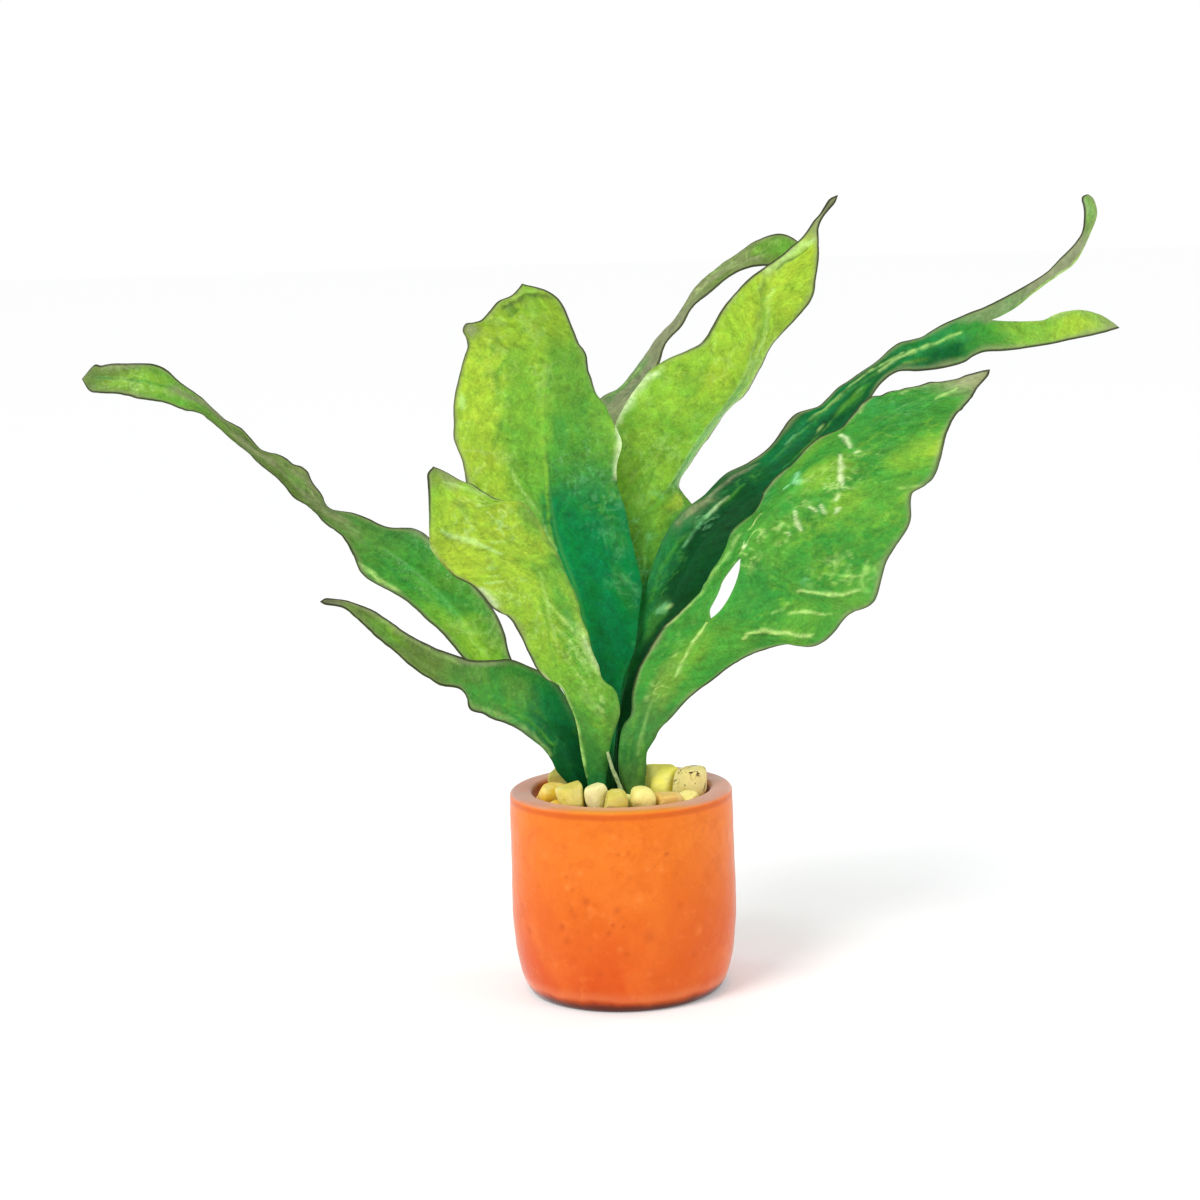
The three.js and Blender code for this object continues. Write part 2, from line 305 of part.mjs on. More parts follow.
// Gravel: every chip has a centre and its broken faces. A face is its outward direction x, y, z and
// its distance from the centre.
const CHIPS = [
  { at: [-36.22, -14.51, 109.54], faces: [
    [-0.33,0.759,-0.561,7.88], [0.265,-0.879,-0.398,6.93], [0.35,-0.026,-0.936,7.37], [-0.978,-0.208,0,9],
    [-0.914,-0.407,0,8.45], [-0.809,-0.588,0,9.61], [-0.824,0.161,0.543,8.19], [-0.222,0.864,0.453,7.45],
    [0.374,-0.672,0.639,7.41], [0.869,-0.142,-0.475,8.12], [-0.819,-0.362,-0.444,8.94], [-0.649,0.592,-0.478,8.2],
    [0.021,-0.435,-0.9,9.17], [0.482,0.856,-0.188,9.13], [0.011,-0.148,0.989,6.85], [1,0,0,10.08],
    [0,-1,0,10.08], [0.585,0.667,0.461,9.3], [0.431,0.613,0.662,9.03], [0.539,0.654,0.53,9.12],
    [0.488,0.637,0.597,9.03],
  ] },
  { at: [-26.52, -31.13, 112.97], faces: [
    [0.991,-0.13,0.023,6.63], [-0.532,0.461,-0.71,6.21], [0.386,-0.059,-0.921,8.77], [-0.809,-0.588,0,7.69],
    [-0.669,-0.743,0,6.56], [-0.5,-0.866,0,7.22], [0.926,0.215,0.311,7.51], [0.571,0.737,-0.362,8.55],
    [0.155,-0.623,-0.766,8.28], [-0.303,0.876,0.375,7.67], [-0.579,-0.725,0.372,6.88], [-0.234,-0.047,0.971,6.49],
    [0.317,-0.875,0.366,6.53], [-0.927,-0.15,-0.343,7.59], [-0.21,-0.21,0.955,6.14], [-1,0,0,9.36],
    [0,1,0,9.36],
  ] },
  { at: [-13.33, -32.87, 113.28], faces: [
    [-0.991,0.13,-0.023,6.17], [0.852,-0.514,-0.103,6.47], [0.369,0.675,-0.639,6.71], [-0.303,0.031,-0.952,8.44],
    [0.765,0.424,0.485,6.39], [-0.566,0.799,0.204,6.74], [-0.488,-0.864,-0.124,7.44], [0.519,-0.852,0.068,7],
    [-0.305,0.034,0.952,6.89], [0.332,0.061,-0.941,7.91], [-0.753,-0.012,-0.658,8.1], [0.293,0.915,-0.276,7.18],
    [0.973,-0.058,-0.223,8.06], [-0.189,0.008,0.982,7.56],
  ] },
  { at: [-2.64, -39.31, 111.98], faces: [
    [-0.852,0.514,0.103,5.58], [0.981,0.188,0.039,5.65], [0.432,0.848,-0.308,6.27], [0.206,0.082,-0.975,7.15],
    [-0.105,-0.995,0,8.07], [-0.937,-0.195,0.288,5.94], [-0.148,-0.418,0.896,5.56], [0.373,0.374,-0.849,6.15],
    [-0.731,0.667,-0.144,6.63], [0.346,0.675,0.652,5.94], [-0.155,-0.646,-0.748,6.91], [0.407,-0.901,0.151,6.46],
    [0.912,-0.247,-0.329,7.12], [0.679,-0.197,0.707,5.94], [-0.182,0.041,0.982,6.07], [-1,0,0,7.92],
    [0,1,0,7.92], [0,-1,0,7.92],
  ] },
  { at: [10.65, -36.77, 112.52], faces: [
    [-0.981,-0.188,-0.039,7.4], [0.905,0.36,-0.229,7.97], [-0.686,0.636,-0.354,7.25], [-0.49,-0.057,-0.87,9.25],
    [0.424,0.306,-0.852,9.94], [0.309,-0.951,0,9.18], [-0.457,-0.592,-0.664,7.71], [0.734,0.445,-0.514,8.84],
    [-0.889,-0.198,0.413,6.73], [-0.162,0.607,-0.778,8.99], [0.268,-0.598,0.756,7.44], [0.607,-0.761,-0.229,9.11],
    [0.028,0.605,0.796,7.92], [-0.796,0.59,-0.131,8.34], [0.753,0.123,0.646,6.77], [-0.066,0.039,0.997,6.66],
    [1,0,0,9.84], [0,1,0,9.84], [0,-1,0,9.84],
  ] },
  { at: [21.64, 5.5, 111.93], faces: [
    [0.843,-0.536,0.029,10.04], [0.473,0.871,-0.133,12.11], [-0.597,0.762,-0.252,12.57], [0.931,0.314,-0.187,10.93],
    [0.616,-0.014,-0.787,11.87], [0.42,-0.692,-0.587,14.79], [-0.25,-0.625,-0.74,12.32], [0.058,0.99,-0.126,11.93],
    [-0.903,0.277,-0.327,12.21], [-0.066,0.551,0.832,9.37], [0.15,0.454,-0.878,11.09], [0.864,0.344,0.368,10.72],
    [-0.872,-0.356,0.337,9.76], [-0.029,-0.682,0.73,9.83], [0.1,-0.127,0.987,9.04], [0,-1,0,13.68],
    [-0.479,-0.032,-0.877,15.13], [-0.52,-0.84,-0.155,14.49], [-0.52,-0.85,-0.084,14.33],
  ] },
  { at: [38.25, -5.06, 112.5], faces: [
    [-0.843,0.536,-0.029,9.15], [-0.165,-0.957,-0.238,10.97], [0.055,0.969,-0.242,9.68], [-0.14,0.489,-0.861,10.89],
    [-0.23,-0.455,-0.86,10.49], [1,0,0,9.19], [0.978,0.208,0,11.08], [0.914,-0.407,0,10.44],
    [0.978,-0.208,0,8.97], [0.893,-0.409,0.186,9.89], [0.158,0.111,0.981,10.2], [0.042,-0.998,-0.052,10.81],
    [-0.89,0.432,0.145,9.97], [-0.295,-0.394,-0.871,10.02], [-0.339,0.488,-0.804,10.11], [0.495,0.74,-0.455,10.65],
    [-0.776,-0.58,0.247,10.28], [0.707,-0.085,-0.702,10.38], [-0.126,0.055,0.991,8.98],
  ] },
  { at: [24.98, -31.07, 108.89], faces: [
    [-0.905,-0.36,0.229,7.37], [0.783,0.619,-0.066,6.8], [-0.346,0.051,-0.937,6.59], [0.5,-0.866,0,8.04],
    [0.669,-0.743,0,7.64], [0.293,-0.388,-0.874,7.62], [-0.506,-0.171,0.846,7.12], [-0.09,-0.958,-0.274,8.24],
    [0.646,-0.108,0.756,6.52], [0.024,0.958,0.286,6.49], [0.591,0.701,-0.399,7.53], [-0.824,-0.038,-0.565,7.26],
    [0.841,-0.517,-0.159,8.27], [-0.163,0.506,-0.847,7.69], [-0.023,0.012,1,4.35], [1,0,0,9.12],
    [-1,0,0,9.12], [0,-1,0,9.12],
  ] },
  { at: [-30.23, 17.76, 112.3], faces: [
    [0.315,0.923,-0.219,7.27], [-0.293,0.409,-0.864,6.65], [-0.665,0.144,0.732,8.11], [0.885,-0.457,0.092,7.97],
    [-0.241,-0.969,0.046,8.38], [0.509,0.742,0.435,7.93], [-0.501,-0.263,-0.825,7.68], [0.518,0.642,-0.565,8.62],
    [-0.74,0.671,-0.045,7.83], [0.338,-0.098,0.936,6.91], [0.402,-0.399,-0.824,8.52], [0.057,-0.217,0.974,4.99],
    [1,0,0,9.84], [-1,0,0,9.84], [0.419,-0.872,0.251,6.74], [0.263,-0.833,0.487,7.07],
    [0.566,-0.815,-0.126,7.59], [0.346,-0.859,0.378,6.84],
  ] },
  { at: [35.15, -23.03, 108.04], faces: [
    [0.165,0.957,0.238,7.3], [-0.783,-0.619,0.066,5.7], [-0.098,0.564,-0.82,6.26], [0.809,-0.588,0,5.46],
    [0.914,-0.407,0,5.96], [-0.072,0.931,-0.359,7.16], [0.45,0.539,0.712,6.18], [0.803,-0.229,-0.55,6.9],
    [-0.913,-0.17,-0.372,7.05], [0.824,-0.266,0.5,6.21], [0.07,-0.925,0.374,5.93], [0.138,-0.8,-0.584,6.69],
    [-0.593,0.691,0.414,6.23], [-0.123,-0.287,0.95,2.74], [1,0,0,7.92], [-1,0,0,7.92],
  ] },
  { at: [2.5, -29.21, 108.31], faces: [
    [0.686,-0.636,0.354,4.14], [-0.914,0.347,-0.209,6.02], [-0.101,-0.551,-0.829,5.93], [0.2,-0.484,0.852,4.53],
    [-0.687,0.518,0.51,5.33], [0.133,0.441,-0.888,5.92], [0.016,-0.881,-0.473,5.61], [-0.779,0.337,-0.529,5.5],
    [0.833,-0.244,-0.497,5.98], [0.457,0.879,-0.135,5.89], [0.333,0.443,0.832,4.88], [-0.381,-0.867,0.321,4.45],
    [-0.081,-0.147,0.986,4.26], [1,0,0,6.6], [-1,0,0,6.6], [0,1,0,6.6],
  ] },
  { at: [32.06, 24.69, 109.0], faces: [
    [-0.79,0.605,-0.1,8.36], [0.473,-0.88,-0.04,7.5], [-0.426,-0,-0.905,7.36], [0.914,0.407,0,8.11],
    [0.809,0.588,0,6.99], [0.669,0.743,0,7.64], [-0.592,0.201,0.781,7], [-0.363,-0.805,-0.47,8.85],
    [-0.881,0.178,-0.439,8.21], [0.928,0.228,-0.295,8.86], [0.287,0.461,-0.84,9.25], [0.831,-0.513,0.215,7.95],
    [-0.017,1,-0.022,8.09], [-0.43,-0.753,0.498,7.42], [0.098,-0.148,0.984,3.6], [-1,0,0,10.08],
  ] },
  { at: [18.77, 34.87, 107.31], faces: [
    [0.79,-0.605,0.1,7.97], [-0.925,0.365,0.107,7.15], [-0.642,-0.764,-0.062,8.15], [0.365,-0.578,-0.73,7.98],
    [-0.587,0.017,-0.81,7], [0.5,0.866,0,7.86], [0.309,0.951,0,8.48], [0.716,-0.638,0.283,6.5],
    [0.579,0.407,0.706,6.54], [-0.773,-0.299,-0.56,8.46], [0.604,0.733,-0.313,8.01], [0.095,-0.856,-0.508,7.9],
    [0.266,-0.01,-0.964,8.93], [-0.281,-0.183,0.942,6.91], [-0.228,0.831,0.507,6.81], [-0.589,0.638,-0.497,8.77],
    [0.098,-0.148,0.984,5.29], [1,0,0,9.6], [0,-1,0,9.6],
  ] },
  { at: [4.87, 40.35, 108.91], faces: [
    [0.925,-0.365,-0.107,7.37], [-0.995,-0.1,0.005,8.69], [0.189,-0.972,-0.142,9.29], [-0.57,-0.803,-0.176,7.36],
    [0.289,-0.326,-0.9,7.21], [0.309,0.951,0,7.55], [0.105,0.995,0,6.8], [-0.105,0.995,0,7.81],
    [-0.155,0.964,0.216,7.1], [-0.647,-0.143,0.749,7.49], [0.58,0.615,0.534,7.73], [0.197,-0.91,0.364,8.01],
    [-0.655,0.07,-0.752,7.79], [0.568,0.73,-0.381,9.13], [0.987,-0.16,-0.009,8.34], [0.098,-0.148,0.984,3.69],
  ] },
  { at: [-12.55, 38.6, 109.0], faces: [
    [0.995,0.1,-0.005,8.33], [-0.881,-0.473,0,6.88], [0.698,-0.692,-0.186,6.99], [0.336,-0.111,-0.935,6.76],
    [-0.105,0.995,0,7.74], [-0.309,0.951,0,6.85], [-0.5,0.866,0,7.73], [-0.021,0.77,-0.637,7.85],
    [0.753,0.039,-0.657,7.91], [0.535,-0.459,0.71,7.29], [0.169,-0.981,-0.092,8.07], [0.765,0.545,0.344,7.19],
    [-0.32,0.593,0.739,6.6], [-0.913,0.404,-0.063,8.53], [-0.357,-0.607,-0.71,8.01], [0.098,-0.148,0.984,3.6],
  ] },
  { at: [-25.5, 31.66, 109.0], faces: [
    [-0.315,-0.923,0.219,7.27], [0.881,0.473,0,7.31], [-0.591,-0.589,-0.551,7.33], [0.27,-0.264,-0.926,7.05],
    [-0.5,0.866,0,7.27], [-0.669,0.743,0,6.85], [0.317,-0.475,0.821,7.47], [-0.87,-0.397,0.293,8.13],
    [0.714,0.457,0.531,7.61], [0.356,-0.69,-0.63,8.66], [-0.77,0.521,0.368,7.26], [-0.09,-0.979,0.182,8.64],
    [0.927,0.082,-0.367,8.97], [-0.048,0.803,-0.594,8.69], [-0.568,0.086,-0.818,7.97], [0.098,-0.148,0.984,3.6],
    [1,0,0,9.84], [-1,0,0,9.84], [0,1,0,9.84],
  ] },
  { at: [-41.23, -2.96, 101.0], faces: [
    [0.33,-0.759,0.561,6.84], [0.419,0.798,-0.434,6.31], [0.615,-0.692,-0.378,7.55], [-1,0,0,6.21],
    [-0.978,-0.208,0,6.49], [-0.771,-0.636,-0.015,7.01], [0.987,-0.154,-0.044,8.01], [0.279,0.871,-0.404,7.24],
    [0.441,-0.645,-0.624,7.09], [-0.324,-0.292,-0.9,6.91], [0.405,-0.61,0.681,6.11], [0.632,0.469,0.617,7.17],
    [-0.698,0.396,0.596,7.18], [-0.697,0.625,-0.351,8.06], [0,1,0,8.88], [0,-1,0,8.88],
    [0,0,1,8.88],
  ] },
  { at: [-34.06, 23.11, 101.0], faces: [
    [0.293,-0.409,0.864,5.92], [0.591,0.589,0.551,6.68], [0.851,0.293,-0.436,6.38], [-0.054,-0.905,-0.423,6.63],
    [-0.669,0.743,0,7.47], [-0.809,0.588,0,6.3], [-0.914,0.407,0,6.92], [-0.95,-0.23,0.212,6.17],
    [0.639,0.688,0.343,6.67], [-0.373,0.332,-0.866,8.18], [0.041,-0.504,0.862,6.1], [0.501,-0.132,-0.855,7.22],
    [0.183,0.909,-0.374,8.15], [-0.482,-0.606,-0.633,7.99], [0.63,-0.768,-0.112,7.54], [1,0,0,9.12],
    [0,1,0,9.12], [0,0,1,9.12],
  ] },
  { at: [-32.87, -25.63, 104.5], faces: [
    [-0.265,0.879,0.398,5.23], [0.532,-0.461,0.71,5.22], [0.154,0.72,-0.677,5.98], [0.77,-0.371,-0.519,7.7],
    [-0.809,-0.588,0,5.78], [-0.669,-0.743,0,6.4], [0.135,0.753,0.645,6.82], [0.164,0.189,-0.968,7.18],
    [0.975,0.153,0.162,6.72], [0.375,-0.917,-0.136,6.61], [-0.603,0.782,-0.158,6.99], [-0.123,-0.191,0.974,5.84],
    [-0.534,-0.819,-0.209,6.92], [-0.974,-0.148,0.173,7.3], [-0.69,-0.01,-0.724,7.32],
  ] },
  { at: [8.35, 22.47, 106.3], faces: [
    [0.597,-0.762,0.252,9.2], [0.642,0.764,0.062,7.58], [-0.862,0.508,0.012,6.59], [0.813,0.107,-0.572,9.39],
    [0.066,0.73,-0.68,7.56], [-0.005,0.88,0.475,6.88], [0.826,0.536,0.175,7.23], [0.315,-0.581,0.751,6.07],
    [-0.874,0.189,-0.448,8.05], [0.747,-0.29,-0.598,7.99], [0.087,0.263,-0.961,7.83], [0.029,-0.999,0.035,6.91],
    [-0.26,0.877,-0.404,7.32], [0.098,-0.148,0.984,6.3], [1,0,0,8.88], [-0.611,-0.396,-0.685,7.46],
    [0.073,-0.731,-0.679,7.55], [-0.72,-0.631,-0.289,6.34], [-0.771,-0.604,0.203,6.35], [-0.775,-0.631,0.041,6.11],
    [-0.258,-0.708,-0.657,7.83], [-0.757,-0.641,-0.125,6.12],
  ] },
  { at: [-3.06, 29.19, 106.47], faces: [
    [0.57,0.803,0.176,6.05], [-0.698,0.692,0.186,6.12], [0.862,-0.508,-0.012,6.15], [0.685,0.325,-0.652,7.94],
    [-0.287,0.516,-0.807,6], [0.071,0.976,-0.206,6.61], [0.965,0.262,-0.023,7.28], [-0.947,0.291,-0.133,7.04],
    [0.471,-0.155,-0.868,7.13], [-0.374,0.188,-0.908,6.69], [-0.559,-0.112,0.822,6.85], [0.617,-0.585,0.527,6.12],
    [-0.026,0.754,0.656,6.24], [0.098,-0.148,0.984,6.13], [-0.375,-0.825,0.423,5.36], [-0.404,-0.808,-0.428,6.38],
    [-0.426,-0.904,-0.025,5.07], [-0.411,-0.887,0.208,5],
  ] },
  { at: [39.19, 11.43, 108.39], faces: [
    [-0.931,-0.314,0.187,7.43], [-0.055,-0.969,0.242,6.84], [-0.473,0.88,0.04,7.07], [-0.245,-0.396,-0.885,6.97],
    [-0.588,0.557,-0.586,11.21], [0.978,0.208,0,6.73], [0.914,0.407,0,6.99], [-0.337,-0.253,0.907,7.34],
    [0.279,0.759,-0.589,7.79], [0.391,0.751,0.531,6.59], [-0.889,0.335,0.312,6.92], [0.555,-0.508,0.659,7.46],
    [0.331,-0.908,-0.256,7.53], [0.561,-0.181,-0.808,8.54], [0.098,-0.148,0.984,5.61],
  ] },
  { at: [-8.96, -24.87, 105.7], faces: [
    [-0.369,-0.675,0.639,4.64], [0.914,-0.347,0.209,6.02], [-0.619,-0.453,-0.641,6.26], [0.722,0.089,-0.686,7.13],
    [-0.478,0.467,-0.744,6.49], [0.479,-0.812,-0.333,5.75], [-0.598,0.618,-0.51,5.46], [-0.888,0.258,0.381,4.91],
    [-0.267,-0.439,-0.858,5.92], [0.228,0.955,0.188,5.68], [0.565,-0.452,0.69,4.77], [-0.099,0.127,0.987,4.7],
    [0.466,0.282,-0.838,5.97], [-0.528,-0.772,0.354,5.48], [1,0,0,6.6], [-1,0,0,6.6],
    [0,-1,0,6.6],
  ] },
  { at: [35.32, 5.19, 94.45], faces: [
    [-0.616,0.014,0.787,9.83], [0.245,0.396,0.885,8.28], [-0.461,0.887,0,10.73], [-0.087,-0.995,0.038,9.49],
    [0.978,0.208,0,11.81], [0.914,0.407,0,13.06], [0,0,-1,5.5], [-0.723,0.664,0.189,9.18],
    [-0.652,-0.251,0.715,9.07], [-0.784,-0.614,-0.086,8.82], [0.887,-0.38,-0.264,10.2], [0.77,0.296,0.565,8.89],
    [0.003,0.616,-0.788,10.03], [0.147,-0.418,-0.896,8.77], [0.021,0.768,0.64,8.46], [0.277,-0.372,0.886,7.39],
    [1,0,0,11.04], [-1,0,0,11.04], [0,1,0,11.04],
  ] },
  { at: [25.2, 24.68, 94.45], faces: [
    [0.426,0,0.905,8.23], [-0.365,0.578,0.73,9.15], [-0.813,-0.107,0.572,10.83], [0.461,-0.887,0,10.73],
    [-0.832,0.554,0.003,9.18], [0,0,-1,5.5], [0.815,-0.516,-0.263,9.75], [-0.477,0.766,0.432,8.72],
    [-0.585,-0.784,0.206,8.52], [-0.53,0.271,-0.804,9.72], [0.071,-0.124,0.99,8.61], [0.562,0.806,0.186,8.94],
    [0.526,0.516,-0.676,10.06], [0.369,-0.793,0.485,9.16], [1,0,0,11.04], [-1,0,0,11.04],
    [0,1,0,11.04], [0,-1,0,11.04],
  ] },
  { at: [9.49, 35.14, 94.51], faces: [
    [0.587,-0.017,0.81,8.31], [-0.289,0.326,0.9,8.29], [-0.066,-0.73,0.68,9.28], [-0.685,-0.325,0.652,9.89],
    [0.832,-0.554,-0.003,9.18], [-0.995,0.103,-0.004,8.2], [0.5,0.866,0,12.26], [0.309,0.951,0,11.09],
    [0,0,-1,5.56], [0.541,0.518,-0.663,8.56], [0.94,-0.309,-0.141,9.94], [0.061,0.713,0.699,7.91],
    [0.173,-0.502,-0.847,9.33], [-0.368,-0.319,0.874,7.9], [-0.874,0.301,0.382,8.91], [-0.331,-0.925,-0.189,9.96],
    [0.511,-0.312,0.801,7.93], [1,0,0,11.04], [0,1,0,11.04], [0,-1,0,11.04],
  ] },
  { at: [-7.32, 36.88, 94.45], faces: [
    [0.634,0.181,0.752,9.82], [-0.336,0.111,0.935,8.29], [0.287,-0.516,0.807,8.39], [0.995,-0.103,0.004,8.2],
    [-0.83,-0.558,-0,8.15], [-0.105,0.995,0,10], [-0.309,0.951,0,10.11], [0,0,-1,5.5],
    [-0.399,0.845,-0.355,9.17], [0.691,0.673,0.263,8.96], [0.894,-0.016,-0.448,9.9], [-0.661,0.156,0.734,8.17],
    [0.419,-0.908,-0.015,9.49], [0.393,-0.379,0.838,8.96], [-0.835,0.016,-0.55,9.82], [-0.523,-0.847,0.1,8.9],
    [-1,0,0,11.04],
  ] },
  { at: [-21.26, 27.51, 94.45], faces: [
    [0.43,0.547,0.718,10.47], [-0.27,0.264,0.926,8.16], [-0.851,-0.293,0.436,8.16], [0.83,0.558,0,8.15],
    [0,0,-1,5.5], [-0.712,0.037,0.701,7.98], [-0.605,-0.79,0.1,8.65], [0.95,-0.258,-0.178,8.96],
    [-0.87,0.43,-0.242,9.32], [-0.132,0.99,0.054,9.17], [0.352,-0.696,0.626,7.66], [0.804,0.213,0.555,8.92],
    [0.53,0.639,-0.557,9.07], [0.192,-0.936,-0.294,7.59], [0.584,-0.808,0.075,6.58], [0.183,-0.98,0.071,7.01],
  ] },
  { at: [-34.91, 9.09, 94.45], faces: [
    [-0.419,-0.798,0.434,8.29], [0.054,0.905,0.423,8.37], [-0.978,0.208,0,11.4], [0,0,-1,5.5],
    [-0.394,0.61,0.688,7.73], [-0.723,-0.315,-0.615,9.38], [-0.205,-0.905,0.372,7.78], [0.25,0.446,-0.859,8.79],
    [0.928,-0.283,0.243,7.95], [-0.654,0.583,-0.481,9.85], [0.536,0.423,0.731,8.13], [0.231,-0.439,-0.869,10.19],
    [0.405,0.91,-0.085,10.08], [-1,0,0,11.04], [0,1,0,11.04], [0,-1,0,11.04],
    [0,0,1,11.04], [0.951,0.091,-0.294,7.57], [0.953,-0.294,0.075,6.62], [0.992,0.107,0.071,6.95],
  ] },
  { at: [-30.58, -14.93, 94.45], faces: [
    [-0.35,0.026,0.936,8.24], [-0.615,0.692,0.378,9.27], [-0.154,-0.72,0.677,8.38], [0.977,-0.212,0.035,8.66],
    [-0.914,-0.407,0,13.43], [-0.809,-0.588,0,13.92], [0,0,-1,5.5], [-0.873,0.266,-0.409,9.88],
    [0.386,0.032,0.922,8.19], [-0.193,-0.865,-0.463,10.21], [-0.5,-0.355,0.79,9.14], [0.981,-0.026,-0.193,8.56],
    [-0.31,0.928,-0.207,9.24], [0.623,-0.703,0.344,7.41], [-0.711,0.485,0.51,9.17], [-1,0,0,11.04],
    [0,1,0,11.04], [0,-1,0,11.04], [0.701,0.711,0.051,10.11], [0.323,0.841,0.434,11.23],
  ] },
  { at: [-19.08, -32.27, 95.22], faces: [
    [0.303,-0.031,0.952,10.02], [-0.77,0.371,0.519,9.69], [0.619,0.453,0.641,9.59], [-0.552,0.833,-0.037,10.16],
    [0.962,-0.271,0,10.13], [0.224,0.975,-0.016,8.42], [-0.669,-0.743,0,10.69], [-0.5,-0.866,0,9.95],
    [0,0,-1,6.27], [-0.307,-0.584,-0.751,9.61], [0.847,-0.037,0.53,8.69], [-0.997,0.075,-0.029,9.42],
    [0.397,-0.826,0.4,7.97], [0.617,0.447,-0.648,8.72], [-0.546,0.223,0.808,8.11], [0.826,-0.488,-0.281,8.75],
    [-0.29,0.373,-0.881,9.03], [1,0,0,11.04], [0,-1,0,11.04],
  ] },
  { at: [0.9, -37.91, 95.22], faces: [
    [-0.206,-0.082,0.975,9.54], [0.49,0.057,0.87,10.13], [0.101,0.551,0.829,9.37], [-0.962,0.271,-0,10.13],
    [0.926,0.377,-0.038,9.88], [0.098,0.995,-0.017,8.42], [-0.105,-0.995,0,9.83], [0.105,-0.995,0,9.64],
    [0,0,-1,6.27], [0.272,0.091,0.958,9.13], [-0.831,-0.495,0.253,7.72], [0.015,0.94,-0.342,10.24],
    [0.813,-0.491,0.313,7.73], [-0.028,-0.935,0.353,8.38], [0.819,0.572,0.037,10.06], [0.227,-0.668,-0.709,9.28],
    [-0.275,0.825,0.494,8.4],
  ] },
  { at: [19.65, -30.28, 94.45], faces: [
    [0.346,-0.051,0.937,8.33], [0.709,0.332,0.622,11.62], [-0.926,-0.377,0.038,9.88], [0.656,0.754,0.035,10.41],
    [-0.035,0.999,0.039,8.43], [-0.931,0.365,0.028,10.16], [0.5,-0.866,0,11.39], [0.669,-0.743,0,11.79],
    [0,0,-1,5.5], [-0.368,0.869,0.332,8.09], [0.413,-0.39,0.823,9.19], [-0.121,0.389,-0.913,8.74],
    [-0.197,-0.966,-0.169,8.9], [0.708,-0.512,-0.487,9.69], [-0.628,-0.269,0.73,7.7], [0.758,0.621,-0.2,10.11],
    [-0.958,-0.058,-0.279,8.58], [0.225,0.469,0.854,7.71], [1,0,0,11.04],
  ] },
  { at: [33.62, -14.21, 95.2], faces: [
    [0.23,0.455,0.86,9.12], [0.098,-0.564,0.82,8.89], [0.087,0.995,-0.038,9.49], [-0.656,-0.754,-0.035,10.41],
    [-0.994,-0.107,-0.013,8.44], [0.914,-0.407,0,10.95], [0,0,-1,6.25], [-0.529,-0.115,0.841,8.15],
    [-0.332,-0.506,-0.796,8.79], [0.847,0.124,0.517,7.64], [-0.127,0.821,-0.556,9.51], [0.859,0.395,-0.326,9.97],
    [-0.936,0.337,-0.102,9.71], [0.484,-0.875,-0.026,9.81], [-0.182,0.858,0.48,9.12], [-0.656,-0.729,0.198,10.3],
    [1,0,0,11.04], [0,-1,0,11.04],
  ] },
  { at: [19.14, -15.77, 95.01], faces: [
    [0.035,-0.999,-0.039,5.6], [0.994,0.107,0.013,5.62], [0,0,-1,6.06], [-0.139,0.827,0.545,5.79],
    [0.566,0.725,-0.393,7.32], [-0.603,0.668,-0.437,7.33], [-0.267,-0.938,0.22,6.26], [0.776,0.365,0.514,5.54],
    [-0.961,-0.215,0.173,6.89], [-0.002,-0.593,-0.805,7.27], [0.846,-0.497,-0.191,6.59], [0.209,-0.523,0.826,6.25],
    [-1,0,0,7.92], [0,1,0,7.92], [0,0,1,7.92],
  ] },
  { at: [2.32, -23.48, 94.98], faces: [
    [0.013,-0.395,0.919,7.47], [-0.722,-0.089,0.686,7.99], [-0.098,-0.995,0.017,5.58], [0.931,-0.365,-0.028,7.96],
    [0,0,-1,6.03], [-0.715,0.67,0.201,6.23], [-0.396,-0.709,0.584,6.58], [0.505,0.022,-0.863,6.7],
    [-0.254,-0.904,-0.344,7.22], [0.714,0.632,0.302,6.44], [0.066,0.297,0.953,5.8], [0.736,-0.669,-0.103,6.92],
    [0.172,0.934,-0.313,6.33], [-0.979,-0.167,-0.119,6.91], [1,0,0,7.92], [0.002,0.932,0.362,6.38],
    [0.01,0.998,0.055,5.57], [0.011,0.918,-0.397,6.1], [0.012,0.956,-0.294,5.79], [0.012,0.983,-0.181,5.6],
    [0.011,0.998,-0.063,5.52],
  ] },
  { at: [-15.84, -18.13, 94.98], faces: [
    [0.478,-0.467,0.744,7.41], [-0.977,0.212,-0.035,5.94], [-0.224,-0.975,0.016,5.59], [0,0,-1,6.03],
    [-0.287,-0.283,-0.915,7.3], [-0.148,-0.955,-0.256,6.92], [0.604,-0.469,-0.644,6.38], [0.528,0.658,-0.538,7.04],
    [0.515,-0.169,0.84,6.36], [-0.176,0.978,0.115,6.81], [-0.92,-0.392,0.004,6.49], [-0.604,-0.036,0.796,6.51],
    [-0.111,-0.768,0.631,6.31], [1,0,0,7.92], [0,0,1,7.92], [0.593,0.705,0.388,7.02],
    [0.196,0.981,0.003,4.94], [0.686,0.727,0.003,5.64], [-0.039,0.713,0.7,8.42],
  ] },
];

// A thin aerial root from beside the front frond's stalk down into the mix: [x, y, z, radius].
const AERIAL_ROOT = [
  [-6.7, -14.6, 132.9, 0.8],
  [-5.5, -14.2, 127.9, 0.95],
  [-4.1, -13.8, 122.8, 1.05],
  [-2.3, -13.4, 118.3, 1.15],
  [-0.8, -12.9, 114, 1.2],
  [0.5, -12.6, 110.2, 1.3],
  [1.6, -13.6, 105.5, 1.4],
  [2.2, -15, 100.7, 1.5],
  [2.4, -15.6, 95, 1.6],
  [2.4, -15.8, 88.7, 1.6],
];

// ---- helpers ----
const v3 = (a) => new THREE.Vector3(a[0], a[1], a[2]);

